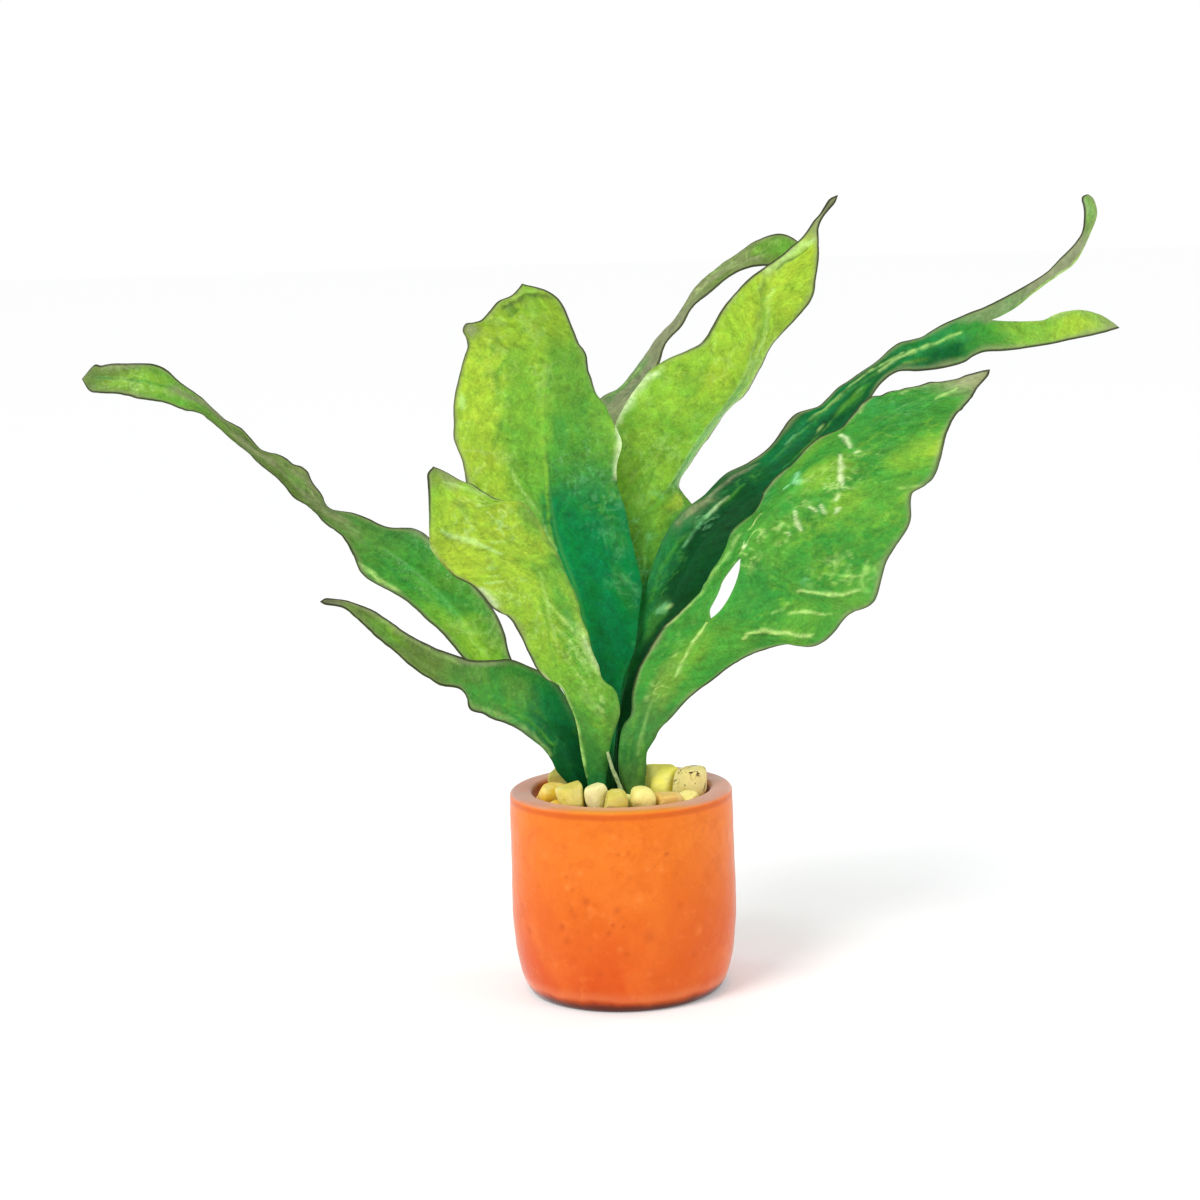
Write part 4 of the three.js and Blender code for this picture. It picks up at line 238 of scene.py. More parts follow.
            [[-19.5, -4.8, 136.4], [-30.8, -9.6, 131.6], [-36.6, -10.9, 128.3]],
            [[-20.3, -5.4, 140.0], [-32.4, -10.5, 134.3], [-38.1, -12.0, 131.0]],
            [[-21.2, -6.0, 143.8], [-34.1, -11.4, 137.1], [-39.7, -13.1, 133.5]],
            [[-22.3, -6.7, 147.8], [-35.8, -12.5, 139.8], [-41.4, -14.4, 136.0]],
            [[-23.7, -7.3, 152.0], [-37.6, -13.6, 142.5], [-43.4, -15.7, 138.2]],
            [[-25.5, -7.9, 156.7], [-39.5, -14.8, 145.1], [-45.5, -17.2, 140.2]],
            [[-27.7, -8.5, 161.6], [-41.5, -16.2, 147.7], [-47.6, -18.7, 142.1]],
            [[-30.2, -9.2, 166.3], [-43.6, -17.6, 150.1], [-49.7, -20.4, 144.1]],
            [[-32.7, -10.0, 170.3], [-45.8, -19.0, 152.3], [-51.7, -22.0, 146.2]],
            [[-35.5, -10.9, 173.5], [-48.2, -20.4, 154.3], [-53.8, -23.6, 148.2]],
            [[-38.5, -12.1, 175.9], [-50.7, -21.7, 156.1], [-56.0, -25.2, 150.1]],
            [[-41.7, -13.4, 177.9], [-53.3, -23.2, 157.8], [-58.4, -26.9, 151.7]],
            [[-44.9, -14.7, 179.6], [-55.8, -24.6, 159.5], [-60.8, -28.5, 153.1]],
            [[-48.1, -16.2, 181.3], [-58.4, -26.2, 161.3], [-63.3, -30.2, 154.2]],
            [[-51.4, -17.7, 183.2], [-60.9, -27.8, 163.1], [-65.7, -31.9, 155.1]],
            [[-54.8, -19.4, 184.9], [-63.3, -29.6, 165.0], [-67.9, -33.6, 156.3]],
            [[-58.2, -21.3, 186.1], [-65.7, -31.4, 167.0], [-69.8, -35.4, 158.1]],
            [[-61.7, -23.2, 186.5], [-68.1, -33.2, 169.0], [-71.8, -37.2, 160.0]],
            [[-64.9, -25.2, 186.6], [-70.5, -35.1, 170.9], [-74.4, -39.1, 161.2]],
            [[-67.9, -27.4, 186.8], [-72.9, -37.1, 172.7], [-77.1, -41.0, 162.8]],
            [[-70.8, -29.7, 187.0], [-75.4, -39.1, 174.5], [-78.7, -43.0, 165.8]],
            [[-73.6, -32.1, 187.4], [-77.9, -41.2, 176.2], [-79.7, -45.1, 169.4]],
            [[-76.4, -34.4, 188.2], [-80.5, -43.2, 177.8], [-80.6, -47.3, 172.9]],
            [[-79.0, -36.8, 189.3], [-83.1, -45.3, 179.3], [-82.9, -49.6, 175.7]],
            [[-81.5, -39.1, 190.6], [-85.6, -47.4, 180.8], [-86.0, -52.0, 177.2]],
            [[-84.1, -41.5, 192.0], [-88.2, -49.5, 182.4], [-88.9, -54.4, 178.2]],
            [[-86.8, -43.7, 193.5], [-90.6, -51.7, 184.1], [-91.4, -56.9, 179.2]],
            [[-89.6, -45.9, 195.1], [-93.0, -53.9, 185.9], [-93.4, -59.4, 180.3]],
            [[-92.5, -48.1, 196.7], [-95.3, -56.1, 187.8], [-95.2, -61.9, 181.8]],
            [[-95.1, -50.3, 198.3], [-97.6, -58.3, 189.8], [-97.0, -64.3, 183.7]],
            [[-97.4, -52.6, 199.8], [-99.8, -60.5, 191.8], [-99.1, -66.6, 185.9]],
            [[-99.5, -54.9, 201.3], [-102.0, -62.6, 193.8], [-101.4, -68.8, 188.4]],
            [[-101.4, -57.2, 202.8], [-104.2, -64.8, 195.9], [-103.9, -70.9, 191.1]],
            [[-103.2, -59.5, 204.4], [-106.3, -66.9, 198.0], [-106.5, -73.0, 193.7]],
            [[-105.1, -61.8, 206.1], [-108.3, -68.9, 200.2], [-108.9, -75.0, 196.3]],
            [[-107.1, -64.0, 207.8], [-110.3, -70.9, 202.4], [-111.2, -76.9, 198.7]],
            [[-109.3, -66.2, 209.6], [-112.2, -72.9, 204.7], [-113.3, -78.7, 201.1]],
            [[-111.4, -68.3, 211.6], [-114.1, -74.8, 207.0], [-115.3, -80.5, 203.5]],
            [[-113.6, -70.3, 213.7], [-116.0, -76.8, 209.3], [-117.4, -82.2, 205.7]],
            [[-115.6, -72.4, 215.8], [-117.9, -78.7, 211.5], [-119.4, -83.9, 207.9]],
            [[-117.7, -74.5, 217.9], [-119.8, -80.6, 213.8], [-121.5, -85.6, 210.1]],
            [[-119.7, -76.7, 219.8], [-121.8, -82.5, 215.9], [-123.4, -87.4, 212.3]],
            [[-121.6, -78.8, 221.6], [-123.7, -84.5, 218.1], [-125.3, -89.2, 214.7]],
            [[-123.7, -80.9, 223.2], [-125.7, -86.5, 220.1], [-127.0, -91.0, 217.0]],
            [[-125.9, -83.1, 224.7], [-127.8, -88.4, 222.1], [-128.8, -92.7, 219.3]],
            [[-128.2, -85.3, 226.1], [-129.9, -90.3, 224.0], [-130.6, -94.2, 221.6]],
            [[-130.6, -87.6, 227.4], [-132.1, -92.0, 225.9], [-132.6, -95.4, 223.8]],
            [[-133.2, -90.0, 228.8], [-134.4, -93.8, 227.5], [-134.7, -96.5, 225.8]],
            [[-135.9, -92.4, 230.0], [-136.8, -95.6, 228.9], [-137.1, -97.7, 227.3]],
            [[-138.7, -94.7, 230.9], [-139.2, -97.4, 229.9], [-139.7, -99.0, 228.2]],
            [[-141.7, -97.0, 231.7], [-141.8, -99.3, 230.5], [-142.2, -100.5, 228.8]],
            [[-144.7, -99.7, 232.3], [-144.4, -101.1, 230.9], [-144.9, -101.8, 229.5]],
            [[-147.0, -103.0, 231.2], [-147.0, -103.0, 231.2], [-147.0, -103.0, 231.2]],
        ],
    },
    {
        "name": "frond_front",
        "camber": 0.06,
        "rib_tone": 0.0,
        "cols": 36,
        "sub": 5,
        "seed": 3.0,
        "ruffle": 1.6,
        "ruffle_len": 27,
        "quilt": 0.3,
        "crinkle": 0.6,
        "broad": 1.3,
        "rib": 0.5,
        "pitch": 7.0,
        "grow": [25, 80],
        "tone": [[0, "dark"], [0.06, "deep"], [0.13, "green"], [0.22, "green"], [0.3, "mid"], [0.42, "lime"], [0.8, "yellow"], [0.95, "lime"], [1, "olive"]],
        "paint": [
            ["box", [21.1, 61.8, -1, 1, 14, 0.2], "olive", 0.3],
            ["box", [39.6, 105.1, 0.2, 1.2, 14, 0.2], "mid", 0.3],
            ["dot", [26.6, -0.5, 26, 9], "dark", 0.45],
            ["dot", [64.7, 8.4, 14, 6], "pale", 0.3],
            ["dot", [64.7, 5.0, 22, 8], "mid", 0.4],
            # the pale and white lines, dots and crumples on this blade are mostly painted highlights on its crumpled
            # skin; olive and green ones with a sunken lift are painted shade in its creases
            ["crumple", [189.5, 7.3, 26, 22, 5], "pale", 0.7, 0.35],
            ["crumple", [190.4, 14.3, 22, 18, 4], "olive", 0.55, -0.2],
            ["crumple", [200.0, 7.5, 20, 16, 5], "olive", 0.4, -0.2],
            ["line", [[[193.9, -12.5], [183.4, -6.3], [175.4, -0.0], [167.3, 4.7]], 1.5], "pale", 0.9, 0.6],
            ["line", [[[189.5, -12.1], [179.8, -6.4], [170.0, -0.0]], 1.2], "olive", 0.35, -0.4],
            ["line", [[[175.4, 4.9], [174.5, 12.3]], 1.0], "pale", 0.7, 0.4],
            ["line", [[[189.5, -21.2], [184.3, -22.1], [179.8, -22.4]], 1.5], "white", 0.7, 0.4],
            ["line", [[[155.7, -10.9], [153.9, -6.2]], 1.0], "pale", 0.7, 0.4],
            ["line", [[[152.1, -15.5], [149.3, -7.7]], 1.0], "pale", 0.6, 0.4],
            ["line", [[[148.4, -20.0], [142.9, -19.9], [137.3, -19.2]], 2.4], "white", 0.85, 0.4],
            ["crumple", [146.6, -4.6, 22, 14, 4], "pale", 0.65, 0.25],
            ["crumple", [119.5, -6.5, 30, 12, 5], "pale", 0.4, 0.2],
            ["crumple", [147.5, 2.0, 26, 14, 5], "olive", 0.35, -0.15],
            ["line", [[[158.3, 15.6], [144.7, 10.0], [129.6, 3.6], [108.1, 1.7], [88.0, 1.7]], 1.2], "green", 0.4, -0.4],
            ["line", [[[153.0, 15.0], [139.1, 9.5], [122.5, 5.2], [102.0, 5.1]], 1.0], "pale", 0.4, 0.4],
            ["box", [70.5, 172.7, 0.3, 1.25, 20, 0.3], "mid", 0.45],
            ["dot", [147.5, 16.3, 14, 7], "mid", 0.5],
            ["dot", [132.5, 16.4, 16, 6], "green", 0.45],
            ["dot", [119.5, 17.1, 12, 5], "deep", 0.4],
            ["dot", [155.7, 26.2, 10, 5], "green", 0.4],
            ["line", [[[132.5, 7.3], [122.5, 12.1], [109.2, 16.8], [93.9, 20.3], [81.2, 20.7]], 1.3], "pale", 0.5, 0.4],
            ["line", [[[117.4, 5.1], [108.1, 11.8], [93.9, 16.9], [80.2, 15.8]], 1.1], "pale", 0.4, 0.3],
            ["line", [[[125.6, 7.0], [114.3, 11.8], [98.9, 16.9]], 1.1], "green", 0.45, -0.3],
            ["line", [[[111.2, 6.7], [96.9, 13.5], [80.2, 14.2]], 1.0], "green", 0.4, -0.3],
            ["line", [[[98.9, 6.8], [86.0, 9.9], [74.4, 11.4]], 1.0], "pale", 0.35, 0.3],
            ["line", [[[118.4, 18.8], [103.0, 21.9], [89.9, 23.5], [79.2, 22.0]], 3.0], "pale", 0.62, 0.3],
            ["line", [[[168.2, 33.3], [157.4, 31.1], [145.7, 28.1], [132.5, 25.5]], 3.0], "green", 0.65, -0.2],
            ["dot", [182.5, 30.1, 12, 9], "mid", 0.7],
            ["dot", [186.9, 29.7, 9, 6], "olive", 0.4],
            ["dot", [154.8, 26.0, 12, 8], "green", 0.35],
            ["line", [[[109.2, 20.2], [96.9, 22.0], [85.0, 23.0]], 1.6], "white", 0.55, 0.3],
            ["crumple", [93.9, 15.2, 34, 14, 5], "pale", 0.5, 0.25],
            ["crumple", [105.1, 15.2, 34, 14, 4], "green", 0.4, -0.15],
            ["dot", [61.8, 11.3, 4, 3], "pale", 0.6],
            ["dot", [64.7, 16.8, 3, 2], "pale", 0.5],
            ["dot", [80.2, -8.1, 5, 4], "white", 0.75],
            ["line", [[[77.3, -2.9], [59.9, -5.4], [44.4, -6.1], [30.2, -6.9], [19.3, -6.9]], 1.1], "pale", 0.6, 0.35],
            ["line", [[[70.5, -3.2], [56.0, -3.8], [38.7, -4.8]], 1.0], "deep", 0.3, -0.2],
            ["dot", [204.3, 3.4, 22, 14], "yellow", 0.5],
            ["dot", [199.1, 3.9, 9, 6], "olive", 0.4],
            ["dot", [219.7, -0.0, 10, 14], "olive", 0.45],
            ["dot", [219.7, 4.9, 12, 8], "margin", 0.5],
            ["line", [[[197.4, -16.3], [187.8, -21.6], [178.9, -22.5]], 2.2], "yellow", 0.6, 0.1],
            ["line", [[[215.4, 2.1], [212.0, 10.6], [208.5, 19.7]], 1.4], "pale", 0.5, 0.3],
            ["crumple", [55.1, 5.7, 20, 9, 4], "lime", 0.45, 0.2],
            ["rim", [171.8, 202.5, -1.3, -0.5], "", 0.85],
            ["rim", [52.1, 202.5, 0.5, 1.3], "", 0.8],
            ["rim", [21.1, 72.4, -1.3, -0.5], "", 0.9],
        ],
        "rows": [
            [[-16.0, -10.0, 100.6], [-13.0, -10.0, 100.6], [-10.0, -10.0, 100.6]],
            [[-16.4, -10.0, 104.1], [-12.3, -10.0, 104.3], [-9.5, -10.0, 104.4]],
            [[-16.9, -10.1, 107.7], [-11.8, -10.2, 107.9], [-9.1, -10.1, 108.1]],
            [[-17.3, -10.3, 111.3], [-11.5, -10.3, 111.6], [-8.6, -10.2, 111.9]],
            [[-17.8, -10.6, 115.0], [-11.4, -10.6, 115.2], [-8.2, -10.3, 115.6]],
            [[-18.3, -10.8, 118.7], [-11.5, -10.9, 118.9], [-7.7, -10.4, 119.3]],
            [[-19.1, -11.2, 122.3], [-11.8, -11.2, 122.5], [-7.2, -10.6, 122.9]],
            [[-19.7, -11.6, 126.0], [-12.3, -11.6, 126.0], [-6.7, -10.8, 126.6]],
            [[-20.3, -12.0, 129.7], [-12.9, -12.0, 129.6], [-6.3, -11.0, 130.2]],
            [[-20.8, -12.6, 133.6], [-13.6, -12.5, 133.2], [-5.6, -11.3, 133.8]],
            [[-21.3, -13.7, 137.6], [-14.5, -13.3, 136.8], [-4.8, -11.8, 137.4]],
            [[-21.7, -14.9, 141.6], [-15.4, -14.2, 140.4], [-3.8, -12.4, 140.9]],
            [[-22.2, -16.1, 145.5], [-16.4, -15.1, 144.0], [-2.6, -13.1, 144.3]],
            [[-22.8, -17.3, 149.3], [-17.5, -16.0, 147.5], [-1.4, -13.7, 147.6]],
            [[-23.6, -18.5, 153.0], [-18.6, -17.1, 151.1], [-0.3, -14.4, 150.8]],
            [[-24.6, -19.7, 156.6], [-19.9, -18.2, 154.6], [0.4, -15.2, 154.1]],
            [[-25.9, -21.0, 160.1], [-21.3, -19.3, 158.0], [0.4, -16.0, 157.6]],
            [[-27.3, -22.4, 163.7], [-22.9, -20.5, 161.3], [0.0, -16.7, 161.3]],
            [[-28.7, -23.8, 167.4], [-24.7, -21.6, 164.5], [-0.7, -17.3, 165.3]],
            [[-30.4, -25.3, 171.0], [-26.6, -22.9, 167.7], [-3.1, -18.0, 169.0]],
            [[-33.3, -27.0, 173.6], [-28.5, -24.2, 170.8], [-6.7, -18.6, 171.7]],
            [[-37.2, -28.5, 175.2], [-30.3, -25.4, 174.0], [-9.2, -19.2, 174.8]],
            [[-40.5, -30.0, 178.6], [-31.9, -26.7, 177.3], [-10.2, -19.9, 178.3]],
            [[-43.1, -31.5, 183.1], [-33.3, -27.9, 180.7], [-11.2, -20.7, 181.7]],
            [[-44.8, -33.1, 187.6], [-34.5, -29.2, 184.2], [-12.2, -21.5, 185.0]],
            [[-46.3, -34.7, 191.4], [-35.4, -30.6, 187.7], [-13.2, -22.4, 188.2]],
            [[-47.8, -36.6, 194.7], [-36.1, -32.2, 191.4], [-14.1, -23.6, 191.3]],
            [[-49.0, -38.5, 197.8], [-36.7, -34.0, 195.1], [-14.9, -24.9, 194.3]],
            [[-50.1, -40.4, 200.9], [-37.3, -35.7, 198.7], [-15.7, -26.3, 197.3]],
            [[-51.1, -42.4, 203.9], [-37.8, -37.5, 202.4], [-16.5, -27.6, 200.4]],
            [[-52.2, -44.4, 206.8], [-38.5, -39.2, 206.1], [-17.3, -28.9, 203.6]],
            [[-53.3, -46.4, 209.5], [-39.3, -41.1, 209.7], [-18.1, -30.3, 206.8]],
            [[-54.9, -48.5, 211.9], [-40.2, -42.9, 213.2], [-18.9, -31.6, 210.1]],
            [[-57.2, -50.4, 213.7], [-41.4, -44.6, 216.7], [-19.7, -32.9, 213.5]],
            [[-59.9, -52.2, 215.1], [-42.7, -46.2, 220.0], [-20.6, -34.2, 217.1]],
            [[-62.7, -53.9, 217.5], [-44.3, -47.6, 223.2], [-21.6, -35.3, 220.9]],
            [[-65.4, -55.5, 220.5], [-46.1, -49.0, 226.3], [-22.6, -36.4, 224.9]],
            [[-67.7, -57.0, 223.9], [-48.1, -50.2, 229.2], [-23.8, -37.4, 228.9]],
            [[-70.0, -58.4, 227.1], [-50.2, -51.4, 232.0], [-25.0, -38.5, 232.7]],
            [[-72.2, -59.7, 229.5], [-52.4, -52.6, 234.6], [-26.3, -39.6, 236.1]],
            [[-74.6, -60.8, 231.5], [-54.8, -53.7, 237.1], [-27.7, -40.6, 239.3]],
            [[-77.0, -61.9, 233.1], [-57.2, -54.8, 239.6], [-29.1, -41.7, 242.3]],
            [[-79.3, -62.9, 234.7], [-59.6, -55.9, 242.0], [-30.6, -42.8, 245.2]],
            [[-81.7, -64.0, 236.3], [-61.9, -57.0, 244.5], [-32.2, -44.0, 248.1]],
            [[-83.9, -65.1, 238.4], [-64.2, -58.1, 247.0], [-33.7, -45.2, 251.1]],
            [[-85.9, -66.3, 240.6], [-66.3, -59.2, 249.7], [-35.1, -46.5, 254.0]],
            [[-87.7, -67.4, 243.0], [-68.4, -60.3, 252.4], [-36.5, -47.8, 257.1]],
            [[-89.4, -68.5, 245.5], [-70.4, -61.4, 255.1], [-38.0, -49.2, 260.3]],
            [[-91.1, -69.4, 248.1], [-72.4, -62.4, 257.9], [-39.8, -50.6, 263.7]],
            [[-92.6, -70.2, 250.6], [-74.2, -63.4, 260.7], [-42.0, -52.0, 267.5]],
            [[-93.5, -71.0, 253.5], [-76.1, -64.4, 263.6], [-44.9, -53.4, 271.1]],
            [[-93.8, -71.6, 256.6], [-77.8, -65.3, 266.5], [-48.7, -54.9, 273.6]],
            [[-93.8, -72.1, 260.1], [-79.5, -66.2, 269.4], [-52.8, -56.3, 274.1]],
            [[-93.6, -72.5, 263.9], [-81.0, -67.0, 272.4], [-56.4, -57.8, 274.3]],
            [[-93.4, -72.8, 268.1], [-82.6, -67.7, 275.4], [-59.7, -59.3, 275.0]],
            [[-93.3, -73.0, 272.4], [-84.1, -68.5, 278.3], [-63.1, -60.9, 276.7]],
            [[-93.3, -73.0, 276.7], [-85.5, -69.2, 281.3], [-66.8, -62.5, 279.3]],
            [[-93.4, -73.0, 281.2], [-87.0, -69.9, 284.3], [-70.9, -64.2, 283.0]],
            [[-93.5, -73.0, 285.8], [-88.4, -70.7, 287.4], [-76.6, -66.3, 285.7]],
            [[-93.3, -73.0, 290.5], [-89.4, -71.7, 290.6], [-82.6, -69.1, 289.9]],
            [[-90.2, -73.0, 293.9], [-90.2, -73.0, 293.9], [-90.2, -73.0, 293.9]],
        ],
    },
    {
        "name": "frond_centre",
        "camber": 0.06,
        "rib_tone": 0.1,
        "cols": 42,
        "sub": 5,
        "seed": 4.0,
        "ruffle": 1.3,
        "ruffle_len": 44,
        "quilt": 0.25,
        "crinkle": 0.4,
        "broad": 1.4,
        "rib": 1.0,
        "pitch": 9.0,
        "rim_from": [80, 120],
        "tone": [[0, "black"], [0.08, "dark"], [0.22, "deep"], [0.36, "green"], [0.6, "mid"], [0.8, "lime"], [1, "lime"]],
        "paint": [
            ["box", [114.5, 283.9, -1.3, -0.42, 30, 0.22], "yellow", 0.75],
            ["box", [103.6, 212.3, -0.5, 0.0, 20, 0.15], "mid", 0.55],
            ["dot", [262.3, -6.1, 26, 16], "yellow", 0.35],
            ["box", [35.5, 135.5, -1.2, -0.1, 25, 0.2], "mid", 0.5],
            ["box", [136.5, 262.3, 0.05, 1.3, 30, 0.15], "green", 0.5],
            ["dot", [206.3, 9.0, 14, 8], "deep", 0.5],
            ["dot", [215.3, 19.3, 20, 10], "green", 0.4],
            # the right half is painted teal, deep and dark as painted shade, on the side that faces away from the light
            ["box", [32.5, 175.4, -0.12, 1.3, 10, 0.07], "teal", 1.0],
            ["box", [32.5, 166.5, 0.0, 1.3, 12, 0.06], "teal", 0.6],
            ["box", [157.5, 193.4, 0.05, 1.3, 16, 0.1], "deep", 0.6],
            ["box", [30.5, 135.5, 0.02, 0.5, 34, 0.2], "dark", 0.3],
            ["dot", [119.5, 28.6, 20, 6], "green", 0.25],
            ["dot", [148.5, 32.3, 16, 7], "green", 0.3],
            ["dot", [173.4, 36.7, 14, 8], "green", 0.3],
            ["crumple", [119.5, 28.6, 44, 12, 6], "mint", 0.2, 0.15],
            ["crumple", [185.4, 31.7, 38, 26, 6], "mid", 0.4, 0.2],
            ["crumple", [168.5, 28.4, 30, 24, 5], "mint", 0.22, 0.15],
            ["crumple", [202.3, 27.9, 26, 24, 5], "lime", 0.3, 0.15],
            ["dot", [207.3, 38.8, 16, 6], "lime", 0.5],
            ["crumple", [185.4, 20.2, 30, 22, 4], "mint", 0.25, 0.15],
            ["dot", [201.3, 34.3, 26, 9], "mid", 0.5],
            ["line", [[[245.3, -23.4], [236.3, -27.9], [221.2, -25.1]], 2.2], "green", 0.5, -0.5],
            ["line", [[[213.3, -21.5], [205.3, -25.4], [197.4, -28.2]], 2.2], "green", 0.45, -0.4],
            ["dot", [231.3, -17.7, 26, 10], "mid", 0.5],
            ["dot", [202.3, -18.1, 24, 9], "mid", 0.4],
            ["dot", [245.3, -13.4, 16, 8], "mid", 0.3],
            ["dot", [271.5, 9.9, 22, 12], "yellow", 0.5],
            ["dot", [221.2, -35.9, 9, 6], "yellow", 0.7],
            ["dot", [224.2, -46.5, 5, 3], "pale", 0.6],
            # the folded tip: painted shadow along its crease
            ["line", [[[281.3, -14.1], [283.9, -7.0], [286.4, -0.0], [287.7, 7.4], [285.1, 13.7]], 1.7], "dry", 0.6, -1.0],
            ["line", [[[278.8, -14.8], [276.3, -11.2], [278.8, -6.6]], 1.3], "deep", 0.5, -0.5],
            ["dot", [281.3, -11.3, 5, 4], "dark", 0.5],
            ["line", [[[283.9, -10.6], [290.3, -1.4], [290.3, 7.2]], 1.2], "pale", 0.35, 0.4],
            # a painted highlight on the curled right margin
            ["line", [[[208.3, 41.4], [202.3, 43.4], [195.4, 43.0], [188.4, 40.9], [180.4, 39.7]], 1.9], "white", 1.0, 0.8],
            ["line", [[[228.2, -0.0], [207.3, -0.0], [185.4, -0.0], [157.5, -3.1], [133.5, -5.0], [94.6, -7.7]], 1.2], "lime", 0.55, 0.3],
            # painted shade along one side of the midrib
            ["line", [[[196.4, 3.1], [168.5, -0.0], [138.5, -2.7], [99.6, -5.0], [74.6, -3.3]], 1.0], "dark", 0.35, -0.2],
            ["dot", [264.6, -38.1, 9, 10], "grey", 0.8],
            ["line", [[[186.4, -20.0], [177.4, -16.5], [169.5, -13.0], [159.5, -6.2], [151.5, -5.9], [141.5, -2.7]], 1.0], "pale", 0.5, 0.4],
            ["line", [[[185.4, -16.6], [174.4, -9.9], [162.5, -3.1]], 0.9], "green", 0.35, -0.2],
            ["line", [[[167.5, -16.1], [157.5, -9.2], [147.5, -8.6]], 0.8], "pale", 0.4, 0.3],
            ["line", [[[168.5, -29.1], [157.5, -18.4], [139.5, -13.4], [119.5, -12.9]], 0.9], "pale", 0.3, 0.3],
            ["crumple", [197.4, -35.3, 60, 26, 8], "pale", 0.3, 0.15],
            ["crumple", [250.5, -12.8, 50, 30, 8], "pale", 0.25, 0.12],
            ["crumple", [234.3, -21.0, 50, 30, 6], "green", 0.3, -0.1],
            ["rim", [71.6, 229.2, 0.5, 1.3], "", 1.0],
            ["rim", [46.5, 122.5, -1.3, -0.5], "", 1.0],
        ],
        "rows": [
            [[-9.0, 1.0, 100.6], [-6.0, 1.0, 100.6], [-3.0, 1.0, 100.6]],
            [[-9.1, 1.0, 104.6], [-5.9, 1.0, 104.7], [-3.3, 1.0, 104.7]],
            [[-9.3, 1.1, 108.7], [-6.1, 1.1, 108.8], [-3.6, 1.1, 108.7]],
            [[-9.5, 1.2, 112.8], [-6.4, 1.2, 112.8], [-3.9, 1.2, 112.7]],
            [[-10.0, 1.3, 116.9], [-6.8, 1.4, 116.9], [-4.1, 1.3, 116.7]],
            [[-11.1, 1.5, 120.9], [-7.2, 1.5, 120.9], [-3.9, 1.5, 120.8]],
            [[-12.3, 1.8, 124.9], [-7.7, 1.7, 124.9], [-3.7, 1.8, 124.7]],
            [[-13.6, 2.4, 129.0], [-8.2, 2.0, 128.9], [-3.4, 2.4, 128.6]],
            [[-14.8, 3.0, 133.0], [-8.7, 2.3, 132.9], [-3.0, 3.0, 132.5]],
            [[-15.8, 3.6, 137.0], [-9.0, 2.6, 136.9], [-2.5, 3.6, 136.4]],
            [[-16.7, 4.3, 141.0], [-9.2, 2.9, 140.9], [-1.9, 4.1, 140.4]],
            [[-17.5, 5.0, 144.9], [-9.4, 3.3, 144.9], [-1.2, 4.7, 144.3]],
            [[-18.2, 5.7, 148.8], [-9.5, 3.6, 148.9], [-0.6, 5.2, 148.3]],
            [[-19.1, 6.5, 152.6], [-9.6, 4.0, 152.9], [0.1, 5.8, 152.3]],
            [[-20.1, 7.3, 156.4], [-9.9, 4.4, 156.9], [0.7, 6.4, 156.2]],
            [[-21.3, 8.1, 160.1], [-10.2, 4.8, 160.8], [1.4, 7.0, 160.0]],
            [[-22.7, 9.0, 163.6], [-10.7, 5.2, 164.8], [2.0, 7.7, 163.8]],
            [[-24.3, 9.9, 167.0], [-11.2, 5.6, 168.7], [3.0, 8.4, 167.5]],
            [[-25.9, 10.8, 170.4], [-11.8, 6.0, 172.7], [4.2, 9.2, 171.1]],
            [[-27.6, 11.7, 173.8], [-12.5, 6.4, 176.6], [5.6, 9.9, 174.7]],
            [[-29.3, 12.6, 177.3], [-13.2, 6.8, 180.5], [7.0, 10.7, 178.2]],
            [[-31.0, 13.6, 180.8], [-14.0, 7.3, 184.4], [8.4, 11.5, 181.8]],
            [[-32.9, 14.6, 184.3], [-14.7, 7.7, 188.3], [9.5, 12.2, 185.5]],
            [[-34.7, 15.6, 187.8], [-15.5, 8.2, 192.2], [10.4, 13.0, 189.2]],
            [[-36.6, 16.6, 191.4], [-16.3, 8.7, 196.1], [11.3, 13.9, 192.9]],
            [[-38.6, 17.6, 195.0], [-17.1, 9.3, 200.0], [12.0, 14.7, 196.7]],
            [[-40.7, 18.6, 198.8], [-17.9, 9.8, 203.8], [12.6, 15.6, 200.4]],
            [[-42.9, 19.6, 202.7], [-18.8, 10.4, 207.7], [13.1, 16.7, 204.1]],
            [[-45.2, 20.6, 206.7], [-19.7, 10.9, 211.5], [13.5, 17.8, 207.7]],
            [[-47.6, 21.6, 210.8], [-20.7, 11.5, 215.4], [13.7, 19.0, 211.3]],
            [[-50.2, 22.5, 215.0], [-21.7, 12.1, 219.2], [13.8, 20.2, 215.0]],
            [[-52.7, 23.5, 219.3], [-22.9, 12.7, 222.9], [13.7, 21.4, 218.8]],
            [[-55.4, 24.4, 223.7], [-24.1, 13.2, 226.7], [13.4, 22.4, 222.9]],
            [[-58.2, 25.3, 228.5], [-25.5, 13.6, 230.4], [12.8, 23.3, 227.3]],
            [[-61.2, 26.2, 233.4], [-26.9, 14.1, 234.2], [12.0, 24.1, 231.9]],
            [[-64.0, 27.0, 238.3], [-28.2, 14.5, 237.9], [11.2, 25.0, 236.5]],
            [[-66.4, 27.8, 242.9], [-29.3, 14.9, 241.7], [10.2, 25.8, 240.8]],
            [[-68.6, 28.6, 247.1], [-30.3, 15.4, 245.5], [9.2, 26.7, 244.9]],
            [[-70.4, 29.4, 251.0], [-31.1, 15.9, 249.4], [8.2, 27.7, 248.8]],
            [[-72.1, 30.2, 254.9], [-31.8, 16.5, 253.3], [7.2, 28.6, 252.5]],
            [[-73.6, 30.9, 258.6], [-32.3, 17.1, 257.2], [6.1, 29.5, 256.2]],
            [[-75.0, 31.5, 262.3], [-32.8, 17.6, 261.1], [5.1, 30.4, 259.9]],
            [[-76.3, 32.1, 266.1], [-33.3, 18.1, 265.1], [4.2, 31.1, 263.6]],
